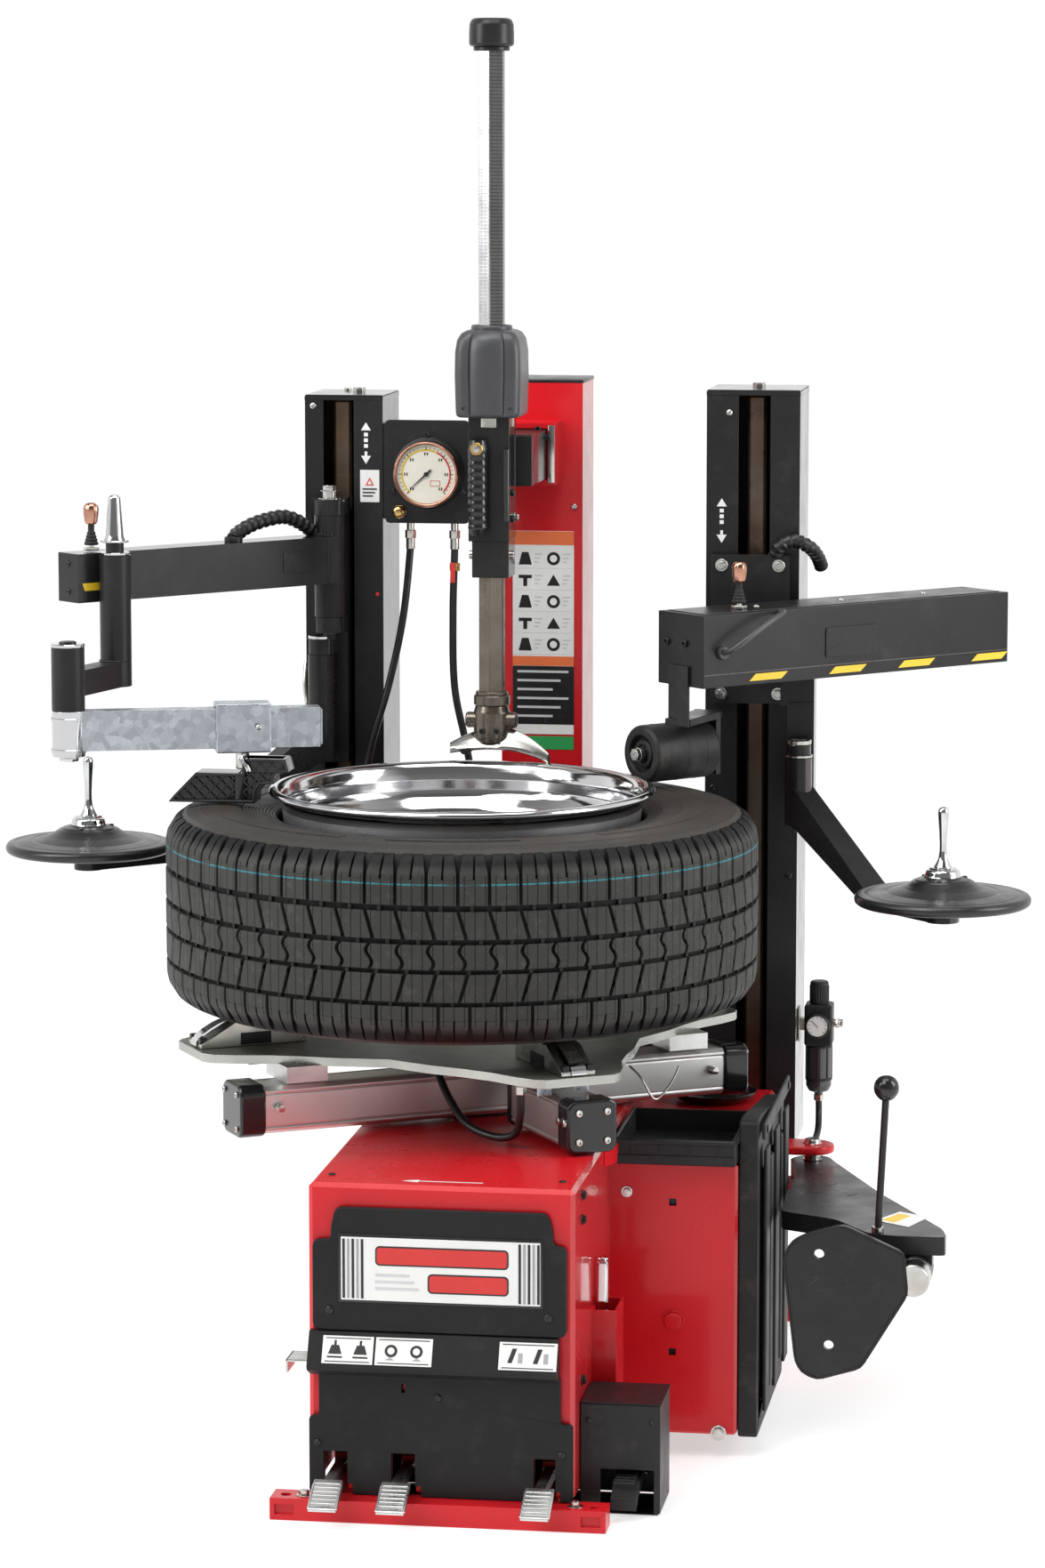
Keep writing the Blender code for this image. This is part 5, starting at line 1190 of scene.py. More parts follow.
# plain white label with a small triangle
front_plate(P, rect(-.2215, -.1925, 1.2700, 1.3180), yc, .0003, 0)
front_plate(P, [(-.2135, 1.2950), (-.2005, 1.2950), (-.2070, 1.3065)], yc - .0004, .0004, 1)
front_plate(P, [(-.2105, 1.2966), (-.2035, 1.2966), (-.2070, 1.3030)], yc - .0007, .0004, 0)
for k in range(3):
    front_plate(P, rect(-.2180, -.1960 - .003 * k, 1.2885 - .0052 * k, 1.2905 - .0052 * k), yc - .0004, .0004, 2)
P.add(cyl(.0030, 0, .0010, .0003, 20), 1, mat4((-.1960, yc, 1.132), "-Y"))
make("column_marks", P, [P_WHITE, P_RED, P_BLACK], "root", weighted=False)

P = Part()
P.hexbolt((-.2350, .4900, 1.4277), "Z", .017, .008, 0)
P.hexbolt((-.2600, .5300, 1.4277), "Z", .010, .005, 0)
P.pan((-.2925, .4198, 1.4130), "-Y", .010, .0028, 0)
P.pan((.3320, .4198, 1.4085), "-Y", .010, .0028, 0)
P.hexbolt((.3690, .4900, 1.4402), "Z", .017, .008, 0)
for x, z in ((-.2925, .60), (-.1995, .60), (-.2925, .95), (.310, .40), (.425, .40), (.310, .85), (.425, .72)):
    P.pan((x, .4198, z), "-Y", .010, .0026, 1)
for x0, x1, z0, z1 in ((-.305, -.187, .5306, 1.4275), (.2985, .437, .310, 1.440)):
    for z in (z0 + .05, (z0 + z1) / 2, z1 - .06):
        P.hexbolt(((x0 + x1) / 2, .5602, z), "Y", .013, .006, 0)
# cover strips down the columns' backs
P.add(bx(-.290, -.202, .5602, .5625, .620, 1.360, .001), 1)
P.add(bx(.320, .415, .5602, .5625, .420, 1.370, .001), 1)
# top plates
P.add(bx(-.3045, -.1875, .4205, .5595, 1.4274, 1.4296, .001), 2)
P.add(bx(.299, .4365, .4205, .5595, 1.4399, 1.4422, .001), 2)
make("column_fittings", P, [BOLT, BLACK_SATIN, BLACK_GLOSS], "root")

# tower: cap, trim, pictogram panels
yt = .4998
P = Part()
P.add(bx(-.0205, .1040, .4995, .6205, 1.4445, 1.4505, .0022, 3), 1)
front_plate(P, rect(-.003, .090, .9150, 1.2230), yt, .0006, 0)
front_plate(P, rect(-.003, .090, 1.2020, 1.2225), yt - .0005, .0004, 3)
for k in range(5):
    zt = 1.197 - .0325 * k
    front_plate(P, rect(.000, .087, zt - .0306, zt - .0300), yt - .0005, .0004, 2)
    for q in range(2):
        x0 = .006 + .043 * q
        r = (k * 2 + q) % 4
        if r == 0:
            front_plate(P, [(x0, zt - .025), (x0 + .020, zt - .025), (x0 + .015, zt - .006), (x0 + .005, zt - .006)], yt - .0005, .0004, 1)
        elif r == 1:
            front_plate(P, [(x0 + .010 + .010 * math.cos(t * D2R), zt - .0155 + .010 * math.sin(t * D2R)) for t in range(0, 360, 20)], yt - .0005, .0004, 1)
            front_plate(P, [(x0 + .010 + .0055 * math.cos(t * D2R), zt - .0155 + .0055 * math.sin(t * D2R)) for t in range(0, 360, 20)], yt - .0009, .0004, 0)
        elif r == 2:
            front_plate(P, rect(x0, x0 + .020, zt - .013, zt - .008), yt - .0005, .0004, 1)
            front_plate(P, rect(x0 + .007, x0 + .013, zt - .025, zt - .013), yt - .0005, .0004, 1)
        else:
            front_plate(P, [(x0, zt - .024), (x0 + .020, zt - .024), (x0 + .010, zt - .007)], yt - .0005, .0004, 1)
        for u in range(3):
            front_plate(P, rect(x0 + .024, x0 + .036 - .003 * u, zt - .010 - .006 * u, zt - .0078 - .006 * u), yt - .0005, .0004, 2)
front_plate(P, rect(-.003, .090, 1.0190, 1.0335), yt - .0005, .0004, 3)
front_plate(P, rect(-.003, .090, .9300, 1.0185), yt - .0005, .0004, 1)
for k in range(6):
    front_plate(P, rect(.004, .082 - .012 * (k % 3), 1.0085 - .0135 * k, 1.0120 - .0135 * k), yt - .0009, .0004, 2)
front_plate(P, rect(-.003, .090, .8920, .9120), yt, .0006, 4)
for z in (.66, .84, 1.26):
    P.pan((.0905, yt, z), "-Y", .009, .0024, 5)
for z in (.70, 1.00, 1.30):
    P.hexbolt((.0415, .6202, z), "Y", .013, .006, 5)
P.add(bx(-.005, .088, .6202, .6225, .76, 1.38, .001), 1)
for z, x in ((1.3825, .0440), (1.3700, .0590)):
    P.socket((x, .4398, z - .002), "-Y", .0085, .0042, 6)
P.add(bx(.0600, .0690, .4370, .4395, 1.300, 1.386, .0006), 5)
make("tower_trim", P, [P_WHITE, BLACK_SATIN, P_PALE, P_ORANGE, P_GREEN, BOLT, BOLT_DARK], "tower", weighted=False)

# pressure gauge
gx, gz = -.118, 1.314
GM = mat4((gx, .4211, gz), "-Y")
P = Part()
P.add(lathe(fillet([(.0535, .0002), (.0535, .0022), (.0500, .0030), (.0495, .0040), (.0300, .0040), (.0300, .0002)], .0008, 2), 96, True), 1, GM)
P.add(lathe(fillet([(0, .002), (.0462, .002), (.0462, .016), (.0492, .0190), (.0492, .0265), (.0474, .0290), (.0446, .0280), (.0436, .0236), (.0436, .0220), (0, .0220)], .0009, 3, False), 96, False), 0, GM)
add(P, lathe([(0, .0218), (.0438, .0218), (.0438, .0228), (0, .0228)], 72, False), lambda x, y, z: 2, GM)


def on_dial(u, v, w=.0230):
    return GM @ Vector((u, v, w))


def dial_bar(a, r0, r1, w, mi, lift=.0004):
    """A radial bar on the dial, a in degrees clockwise from straight up as seen from the front."""
    xa, za = math.sin(a * D2R), math.cos(a * D2R)
    o = [(gx + xa * r0 - za * w, gz + za * r0 + xa * w), (gx + xa * r0 + za * w, gz + za * r0 - xa * w),
         (gx + xa * r1 + za * w, gz + za * r1 - xa * w), (gx + xa * r1 - za * w, gz + za * r1 + xa * w)]
    front_plate(P, o[::-1], .4211 - .0228, lift, mi)


for k in range(31):
    a = -135 + 9 * k
    dial_bar(a, .0385 if k % 5 else .0360, .0410, .00035 if k % 5 else .0006, 3)
for k in range(36):
    a = -135 + 5 * k
    dial_bar(a, .0350, .0375, .0018, 5 if a < 30 else 6)
for k in range(18):
    dial_bar(45 + 5 * k, .0350, .0375, .0018, 6)
for k in range(7):
    a = -135 + 45 * k
    for dx in (-.0018, .0018):
        xa, za = math.sin(a * D2R) * .0305, math.cos(a * D2R) * .0305
        front_plate(P, rect(gx + xa + dx - .0009, gx + xa + dx + .0009, gz + za - .0022, gz + za + .0022), .4211 - .0228, .0004, 3)
for o in (rect(gx + .006, gx + .021, gz - .0175, gz - .0168), rect(gx + .006, gx + .021, gz - .0098, gz - .0091), rect(gx + .006, gx + .0067, gz - .0175, gz - .0091), rect(gx + .0203, gx + .021, gz - .0175, gz - .0091)):
    front_plate(P, o, .4211 - .0228, .0004, 6)
nx, nz = -math.sin(48 * D2R), -math.cos(48 * D2R)
front_plate(P, [(gx - nx * .010 + nz * .0016, gz - nz * .010 - nx * .0016), (gx - nx * .010 - nz * .0016, gz - nz * .010 + nx * .0016), (gx + nx * .033 - nz * .0003, gz + nz * .033 + nx * .0003), (gx + nx * .033 + nz * .0003, gz + nz * .033 - nx * .0003)], .4211 - .0240, .0006, 3)
P.add(cyl(.0034, .0226, .0262, .0008, 24), 3, GM)
# rear case and stem
P.add(cyl(.0140, -.028, -.0046, .002, 40), 4, GM)
make("pressure_gauge_dial", P, [COPPER, BLACK_SATIN, P_CREAM, P_BLACK, BLACK_GLOSS, P_YELLOW, P_RED], "root", ["pressure_gauge"], weighted=False)

P = Part()
for x, z in ((-.1205, 1.3720), (-.1725, 1.2860), (-.0660, 1.2860)):
    P.socket((x, .4213, z), "-Y", .0085, .0040, 0)
# nickel fittings where the hoses leave the panel's lower edge
for x in (-.150, -.083):
    P.add(prism(ngon(6, .0085), 1.2145, 1.2270, .0008), 1, Matrix.Translation((x, .447, 0)))
    P.add(cyl(.0068, 1.1985, 1.2150, .0008, 28), 1, Matrix.Translation((x, .447, 0)))
    P.add(cyl(.0058, 1.2265, 1.2420, .0008, 28), 1, Matrix.Translation((x, .447, 0)))
P.add(bx(-.1520, -.0730, .4365, .4560, 1.2400, 1.2560, .0016), 4)
# small tap with a red lever beside the right-hand hose
P.add(prism(ngon(6, .0080), 1.1960, 1.2080, .0008), 2, Matrix.Translation((-.083, .447, -.030)))
P.add(cyl(.0042, 0, .0120, .0008, 24), 2, mat4((-.083, .4405, 1.1720), "-Y"))
P.add(bx(-.0865, -.0795, .4255, .4290, 1.1500, 1.1800, .0012), 3)
for pts in (HOSE_1, HOSE_2):
    x, y, z = pts[-1]
    P.add(prism(ngon(6, .0090), 0, .0090, .0008), 1, mat4((x, y - .0008, z), "Y"))
    P.add(cyl(.0070, .0085, .0180, .0008, 28), 1, mat4((x, y - .0008, z), "Y"))
make("gauge_fittings", P, [BOLT_DARK, NICKEL, BRASS, P_RED, BLACK_SATIN], "root")

P = Part()
BM = mat4((-.162, .4350, 1.256), "-Y")
P.add(lathe(fillet([(0, .0045), (.0036, .0045), (.0036, .0203), (.0085, .0206), (.0095, .0220), (.0092, .0255), (.0078, .0280), (.0050, .0296), (0, .0300)], .0008, 3, False), 40, False), 0, BM)
make("bleed_button_dome", P, [BRASS], "bleed_button", ["bleed_button"])
P = Part()
P.add(prism(ngon(6, .0105), .0140, .0156, .0005, 2, holes=[ngon(24, .0046)]), 0, BM)
make("bleed_button_nut", P, [BRASS], "root")

# air filter and oiler
P = Part()
UX, UY = .468, .470
T = Matrix.Translation((UX, UY, 0))
P.add(bx(.4376, .4400, .452, .488, .462, .512, .001), 3)
P.add(bx(.4395, .4500, .462, .478, .478, .496, .001), 3)
P.add(lathe(fillet([(0, .3780), (.0060, .3780), (.0070, .3830), (.0150, .3850), (.0192, .3930), (.0195, .4560), (.0170, .4620), (0, .4620)], .0020, 3, False), 48, False), 1, T)
for z in (.402, .452):
    P.add(ring(.0192, .0204, z, z + .004, .0006, 48), 0, T)
for k in range(8):
    a = k * 45 * D2R
    P.add(bx(-.0012, .0012, .0190, .0204, .404, .454, .0004, 1), 0, T @ Matrix.Rotation(a, 4, "Z"))
P.add(bx(.4470, .4890, .4490, .4910, .4560, .5190, .004, 3), 0)
P.add(cyl(.0185, .4540, .4640, .001, 40), 0, T)
P.add(prism([((.0150 - (.0012 if k % 2 else 0)) * math.cos(k * 7.5 * D2R), (.0150 - (.0012 if k % 2 else 0)) * math.sin(k * 7.5 * D2R)) for k in range(48)], .5200, .5460, .0004, 1), 0, T)
P.add(lathe(fillet([(0, .5455), (.0140, .5455), (.0140, .5500), (.0120, .5530), (0, .5535)], .0008, 2, False), 40, False), 0, T)
P.add(cyl(.0105, .5150, .5210, .0008, 32), 2, T)
AM = mat4((UX, .4495, .489), "-Y")
P.add(lathe(fillet([(0, 0), (.0175, 0), (.0185, .0020), (.0185, .0125), (.0165, .0140), (.0155, .0120), (0, .0120)], .0008, 3, False), 48, False), 0, AM)
P.add(cyl(.0155, .0110, .0124, .0002, 40), 4, AM)
P.add(prism([(-.0004, -.002), (.0004, -.002), (.0002, .0125), (-.0002, .0125)], .0124, .0130, 0), 5, AM @ Matrix.Rotation(0.8, 4, "Z"))
for k in range(11):
    a = (-135 + 27 * k) * D2R
    P.add(prism([(-.0003, .0118), (.0003, .0118), (.0003, .0142), (-.0003, .0142)], .0123, .0127, 0), 5, AM @ Matrix.Rotation(a, 4, "Z"))
P.add(cyl(.0062, 0, .0160, .0008, 28), 2, mat4((.4880, UY, .489), "X"))
P.add(prism(ngon(6, .0080), .0050, .0110, .0006), 2, mat4((.4880, UY, .489), "X"))
P.add(cyl(.0030, .3720, .3800, .0006, 20), 2, T)
make("air_unit", P, [PLASTIC, BOWL, NICKEL, ZINC, P_WHITE, P_BLACK], "root", ["air_filter_unit"])


# ---------------------------------------------------------------- slide arm, lock, mast and mount head
MX, MY = .002, .264
P = Part()
prof = []
# shoulder-rounded housing with a convex middle band between two grooves
def cover_ring(z, hx, hy, band):
    o = []
    n = 9
    r = .014
    pts = rrect(-hx, hx, -hy, hy, r, 5)
    for x, y in pts:
        o.append((x, y))
    # densify the long sides with the band's relief
    out = []
    m = len(o)
    for i in range(m):
        a, b = o[i], o[(i + 1) % m]
        out.append(a)
        if abs(a[0] - b[0]) > .03:
            s = -1 if a[1] < 0 else 1
            for u in (-.62, -.56, -.52, -.46, -.30, -.15, 0, .15, .30, .46, .52, .56, .62):
                x = (u if b[0] > a[0] else -u) * hx
                k = abs(u)
                lift = .0045 * (1 - (k / .46) ** 2) + .001 if k <= .46 else (-.0022 if k <= .53 else 0.0)
                out.append((x, a[1] + s * lift * band))
    return [(MX + x, MY + y, z) for x, y in out]


cov = [(1.4115, .0370, .0410, 0), (1.4105, .0430, .0480, .2), (1.4125, .0458, .0505, .6), (1.4180, .0470, .0515, 1), (1.4700, .0485, .0520, 1), (1.5050, .0480, .0510, 1), (1.5220, .0455, .0480, 1),
       (1.5310, .0405, .0430, .8), (1.5350, .0340, .0370, .5), (1.5362, .0290, .0320, .2)]
P.add(loft([cover_ring(*c) for c in cov]), 0)
P.add(lathe(fillet([(.0225, 1.5340), (.0300, 1.5340), (.0300, 1.5400), (.0285, 1.5425), (.0250, 1.5425), (.0225, 1.5410)], .0008, 2), 56, True), 0, Matrix.Translation((MX, MY, 0)))
for s in (-1, 1):
    P.pan((MX + s * .034, MY - .0500, 1.425), "-Y", .007, .002, 1)
make("lock_cover_shell", P, [PLASTIC_GREY, BOLT_DARK], "slide_arm", ["lock_cover"], sharp=48)

# arm details: head bolts, tube seams
P = Part()
for z in (1.262, 1.300):
    P.socket((.0322, .252, z), "X", .010, .005, 1)
P.hexbolt((.0322, .282, 1.262), "X", .010, .005, 0)
P.add(ring(.0235, .0325, 1.395, 1.4095, .001, 56), 0, Matrix.Translation((MX, MY, 0)))
for s in (-1, 1):
    P.add(cyl(.0065, -.004, .002, .0008, 24), 2, mat4((MX + s * .031, .262, 1.208), (s, 0, 0)))
P.add(cyl(.0052, 0, .105, .001, 20), 3, Matrix.Translation((.0285, .2275, 1.260)))
P.weld([(-.011, .3005, 1.3795), (.056, .3005, 1.3795)], .0022, 4)
P.weld([(-.011, .3005, 1.3065), (.032, .3005, 1.3065)], .0022, 4)
P.add(bx(-.006, .052, .655, .664, 1.312, 1.374, .002), 5)
P.pan((.023, .6635, 1.343), "Y", .009, .003, 1)
make("slide_arm_fittings", P, [ZINC, BOLT_DARK, NICKEL, BLACK_GLOSS, WELD, BLACK_SATIN], "slide_arm")

# lock handle: ribbed half tube on its bolt
P = Part()
rings = []
for k in range(49):
    z = 1.378 - .138 * k / 48
    w = .0150 - .0012 * abs(math.sin(k * math.pi / 4)) * (1 if 6 < k < 44 else 0)
    if k < 5:
        w *= .80 + .05 * k
    if k > 44:
        w *= 1 - .07 * (k - 44)
    y0 = .2235
    g = []
    for t in range(13):
        a = math.pi * t / 12
        g.append((-.012 + w * math.cos(a), y0 - .0150 * math.sin(a) * (w / .015), z))
    g += [(-.012 - w * .72, y0 + .0005, z), (-.012 - w * .55, y0 - .0055, z), (-.012 + w * .55, y0 - .0055, z), (-.012 + w * .72, y0 + .0005, z)]
    rings.append(g)
P.add(loft(rings), 0)
P.add(ring(.0052, .0092, 0, .0022, .0005, 36), 1, mat4((-.012, .2095, 1.366), "-Y"))
P.add(cyl(.0054, -.006, .0038, .0010, 24), 2, mat4((-.012, .2095, 1.366), "-Y"))
make("lock_handle_grip", P, [BLACK_GLOSS, BRASS, BOLT], "lock_handle", ["lock_handle"], sharp=40)

# mast
R = .0205
P = Part()
hexr = [(MX + x, MY + y) for x, y in ngon(6, R, 30)]


# Facets on the +X side of the mast take the dark copy of the steel: painted shade.
def mast_mat(x, y, z):
    if z < 1.20:
        return 2
    return 1 if (x - MX) > .002 else 0


n_z = [.990, 1.0, 1.15, 1.20, 1.40, 1.60, 1.80, 1.944]
rg = []
for z in n_z:
    o = []
    for i in range(6):
        a, b = Vector(hexr[i]), Vector(hexr[(i + 1) % 6])
        o += [(*a.lerp(b, .06), z), (*a.lerp(b, .94), z)]
    rg.append(o)
add(P, loft(rg), mast_mat)
P.add(lathe(fillet([(0, 1.9405), (.0240, 1.9405), (.0300, 1.9415), (.0325, 1.9445), (.0325, 1.9600), (.0318, 1.9730), (.0290, 1.9795), (.0240, 1.9818), (0, 1.9822)], .0020, 4, False), 64, False), 3, Matrix.Translation((MX, MY, 0)))
P.add(ring(.0206, .0262, 1.9350, 1.9410, .001, 48), 3, Matrix.Translation((MX, MY, 0)))
P.add(ring(.0185, .0268, .9880, 1.0030, .0014, 56), 2, Matrix.Translation((MX, MY, 0)))
P.add(ring(.0185, .0240, 1.0030, 1.0085, .0010, 56), 2, Matrix.Translation((MX, MY, 0)))
make("hex_mast_ground", P, [MAST, MAST_SHADED_FACETS, OILED, BLACK_SATIN], "mast", ["hex_mast"], sharp=25)

# mount head: knuckle, cross pin and the flared shoe round the rim's edge
P = Part()
TM = Matrix.Translation((MX, MY, 0))
P.add(lathe(fillet([(0, .934), (.0230, .934), (.0262, .940), (.0270, .950), (.0270, .978), (.0250, .985), (.0240, .9890), (0, .9890)], .0022, 4, False), 56, False), 0, TM)
P.add(cyl(.0118, -.0365, .0365, .0016, 36), 0, mat4((MX, .260, .966), "X"))
for s in (-1, 1):
    P.add(ring(.0045, .0100, .0360, .0378, .0006, 28), 2, mat4((MX, .260, .966), (s, 0, 0)))
for s in (-1, 1):
    P.socket((MX + s * .011, MY - .0258, .952), "-Y", .0085, .0040, 2)


def shoe(th0, th1):
    """The shoe follows the rim's edge: a section swept round the wheel's axis and flared at its ends."""
    rings = []
    n = 28
    for i in range(n + 1):
        u = i / n
        th = th0 + (th1 - th0) * u
        e = abs(2 * u - 1)
        drop = 0.0
        if u > .5:
            drop = .018 * ((u - .5) * 2) ** 2.0
        else:
            drop = .006 * ((.5 - u) * 2) ** 2.2
        wide = .0225 * (1 - .55 * e ** 2.2) if u < .5 else .0225 * (1 - .78 * e ** 1.5)
        high = .0190 * (1 - e ** 1.6) + .0055
        r0 = .2640 + .004 * e
        zb = .9270 - drop
        sec = [(-wide, zb + .0010), (-wide * .86, zb - .0020), (-wide * .30, zb - .0052), (wide * .30, zb - .0052), (wide * .86, zb - .0020), (wide, zb + .0010), (wide * .92, zb + .0045),
               (wide * .55, zb + .0045 + high * .40), (wide * .30, zb + .0045 + high * .86), (0, zb + .0045 + high), (-wide * .30, zb + .0045 + high * .86), (-wide * .55, zb + .0045 + high * .40), (-wide * .92, zb + .0045)]
        rings.append([((r0 + a) * math.cos(th), (r0 + a) * math.sin(th), z) for a, z in sec])
    return loft(rings)


P.add(shoe((90 + 13.0) * D2R, (90 - 19.0) * D2R), 1)
# roller insert under the left end
P.add(cyl(.0075, -.010, .010, .0015, 28), 3, mat4((-.036, .2595, .9225), (0.15, 1, 0)))
make("mount_head_nickel", P, [OILED, NICKEL, BOLT_DARK, PLASTIC], "mast", ["mount_head"], sharp=40)


# ---------------------------------------------------------------- joysticks
def joystick(name, x, y, z, body, arm):
    T = Matrix.Translation((x, y, z))
    Q = Part()
    Q.add(prism(ngon(6, .0118), 0, .0048, .0008, 2, holes=[ngon(24, .0062)]), 0, T)
    make(name + "_nut", Q, [NICKEL], arm)
    Q = Part()
    Q.add(cyl(.0036, .0030, .0090, .0005, 20), 0, T)
    boot = [(0, .008), (.0098, .008)]
    for k in range(4):
        z0 = .0095 + .0048 * k
        r = .0102 - .0013 * k
        boot += [(r, z0), (r, z0 + .0022), (r - .0018, z0 + .0036)]
    boot += [(.0046, .030), (.0046, .0385), (0, .0385)]
    Q.add(lathe(fillet(boot, .0006, 2, False), 36, False), 1, T)
    n = 40
    rings = []
    for zz, r, fl in ((.0375, .0058, .0), (.0385, .0078, .3), (.0420, .0092, 1), (.0520, .0106, 1), (.0600, .0110, 1), (.0640, .0100, .7), (.0672, .0072, .2), (.0686, .0035, 0)):
        rings.append([((r - .0009 * fl * (k % 4 == 0)) * math.cos(2 * math.pi * k / n), (r - .0009 * fl * (k % 4 == 0)) * math.sin(2 * math.pi * k / n), zz) for k in range(n)])
    Q.add(loft(rings), 2, T)
    make(name, Q, [NICKEL, RUBBER, COPPER], body, [body], sharp=50)


joystick("joystick_left_grip", -.545, .050, 1.2265, "joystick_left", "left_arm")
joystick("joystick_right_grip", .366, .250, 1.1365, "joystick_right", "right_arm")

# ---------------------------------------------------------------- left helper arm
HX, HY = -.258, .366
LU = Vector((-.317, -.351, 0)).normalized()
LN = Vector((-LU.y, LU.x, 0))
if LN.y > 0:
    LN = -LN
LM = Matrix((LU, LN, Vector((0, 0, 1)))).transposed().to_4x4()
LM.translation = Vector((HX, HY, 0))          # (along the arm, out to the front, up)


def arm_pt(s, t, z):
    return LM @ Vector((s, t, z))


P = Part()
for z in (1.1540, 1.2260):
    P.weld([(HX + .0235 * math.cos(a * D2R), HY + .0235 * math.sin(a * D2R), z) for a in range(150, 300, 12)], .0024, 0)
for t in (-.0252, .0252):
    P.weld([arm_pt(.022, t, 1.160), arm_pt(.022, t, 1.222)], .0022, 0)
# upper duct arching behind the arm
D = [arm_pt(.020, -.012, 1.2285), arm_pt(.045, -.010, 1.2440), arm_pt(.075, -.010, 1.2550), arm_pt(.110, -.008, 1.2530), arm_pt(.145, -.004, 1.2460), arm_pt(.172, 0, 1.2345), arm_pt(.178, .002, 1.2255)]
dp = catmull(D, 8)
P.add(sweep(dp, [.0102 + .0014 * math.sin(i * 2.1) for i in range(len(dp))], 14), 1)
P.add(ring(.0090, .0135, 0, .008, .001, 32), 2, mat4(arm_pt(.178, .002, 1.2245)[:], "Z"))
# yellow stripe near the tip and end screws
for s0, s1 in ((.425, .457),):
    o = [(s0, 1.172), (s1, 1.172), (s1 + .004, 1.183), (s0 + .004, 1.183)]
    v, f = prism(o, 0, .0005, 0)
    Mx = LM @ Matrix(((1, 0, 0, 0), (0, 0, 1, .0251), (0, 1, 0, 0), (0, 0, 0, 1)))
    P.add((v, f), 3, Mx)
for z in (1.170, 1.210):
    P.pan(arm_pt(.4680, 0, z)[:], LU[:], .009, .0026, 4)
P.add(ring(.0140, .0212, 1.2232, 1.2270, .0008, 48), 5, Matrix.Translation((-.505, .026, 0)))
P.add(bx(.055, .105, .0250, .0262, 1.176, 1.206, .0005), 6, LM)
make("left_arm_fittings", P, [WELD, DUCT, BLACK_SATIN, P_YELLOW, BOLT_DARK, CHROME, BLACK_SATIN], "left_arm")

P = Part()
P.hexbolt((HX, HY, 1.2902), "Z", .017, .007, 0)
P.add(ring(.0104, .0165, 1.2782, 1.2800, .0004, 36), 0, Matrix.Translation((HX, HY, 0)))
P.hexbolt((HX, HY, 1.0798), "-Z", .017, .009, 0)
for z in (.915, .990, 1.060):
    P.hexbolt((-.2805, .3978, z), "-Y", .010, .0045, 1)
P.add(ring(.0102, .0192, 1.0692, 1.0740, .0008, 40), 2, Matrix.Translation((-.273, .372, 0)))
bt = catmull([(-.300, .3960, 1.030), (-.300, .3900, 1.016), (-.300, .3860, .995), (-.297, .3840, .972), (-.296, .3900, .958)], 6)
P.add(sweep(bt, .0042, 12), 3)
P.weld([(-.279, .3975, 1.0795), (-.238, .3975, 1.0795)], .0020, 4)
make("left_carriage_fittings", P, [BOLT, BOLT_DARK, CHROME, NICKEL, WELD], "left_carriage")

P = Part()
SX, SY = -.505, .026
P.add(lathe(fillet([(0, 1.2415), (.0130, 1.2415), (.0150, 1.2440), (.0128, 1.2500), (.0098, 1.2900), (.0088, 1.3050), (.0060, 1.3085), (0, 1.3095)], .0012, 3, False), 40, False), 0, Matrix.Translation((SX, SY, 0)))
P.add(ring(.0132, .0205, 1.2412, 1.2440, .0007, 48), 0, Matrix.Translation((SX, SY, 0)))
P.add(ring(.0122, .0240, 1.1050, 1.1105, .0012, 48), 0, Matrix.Translation((-.542, -.111, 0)))
P.add(cyl(.0122, 1.1060, 1.1135, .002, 36), 1, Matrix.Translation((-.542, -.111, 0)))
P.weld([(-.505 + .0232 * math.cos(a * D2R), .026 + .0232 * math.sin(a * D2R), 1.0722) for a in range(200, 320, 14)], .0020, 2)
make("left_link_fittings", P, [CHROME, BLACK_SATIN, WELD], "left_link")

P = Part()
PX, PY = -.542, -.111
P.add(ring(.0240, .0252, 1.0020, 1.0060, .0005, 48), 0, Matrix.Translation((PX, PY, 0)))
P.add(ring(.0240, .0252, .9560, .9620, .0005, 48), 0, Matrix.Translation((PX, PY, 0)))
P.add(cyl(.0140, .9440, .9515, .0016, 36), 0, Matrix.Translation((PX, PY, 0)))
bu = Vector((.338, .106, 0)).normalized()
e = Vector((-.204, -.005, 0))
P.add(bx(-.0014, .0014, -.0145, .0145, .9620, 1.0130, .0010), 1, Matrix.Translation((e + bu * .0016)) @ Matrix.Rotation(math.atan2(bu.y, bu.x), 4, "Z"))
make("press_arm_fittings", P, [CHROME, GALV], "press_arm")

# press block: smooth outer wall, recessed face with a diagonal lattice
BXc, BYc = -.30845, -.03776
OUTL = [(-.412, .8815), (-.4035, .8915), (-.372, .924), (-.305, .924), (-.3045, .9450), (-.2430, .9450), (-.238, .9265), (-.252, .9265), (-.259, .920), (-.259, .9095), (-.2795, .9085), (-.2855, .900), (-.287, .8815)]
PBM = Matrix(((1, 0, 0, BXc), (0, 0, -1, BYc), (0, 1, 0, 0), (0, 0, 0, 1)))      # (x, z, out to the front)


def shrink(o, d):
    """The outline moved in by d."""
    out = []
    m = len(o)
    area = sum(o[i][0] * o[(i + 1) % m][1] - o[(i + 1) % m][0] * o[i][1] for i in range(m))
    sg = 1 if area > 0 else -1
    for i in range(m):
        a, b, c = (Vector(o[i - 1]), Vector(o[i]), Vector(o[(i + 1) % m]))
        u, w = (b - a).normalized(), (c - b).normalized()
        n1, n2 = Vector((-u.y, u.x)) * sg, Vector((-w.y, w.x)) * sg
        k = (n1 + n2)
        k = k / max(0.35, k.dot(n1))
        out.append((b.x + k.x * d, b.y + k.y * d))
    return out


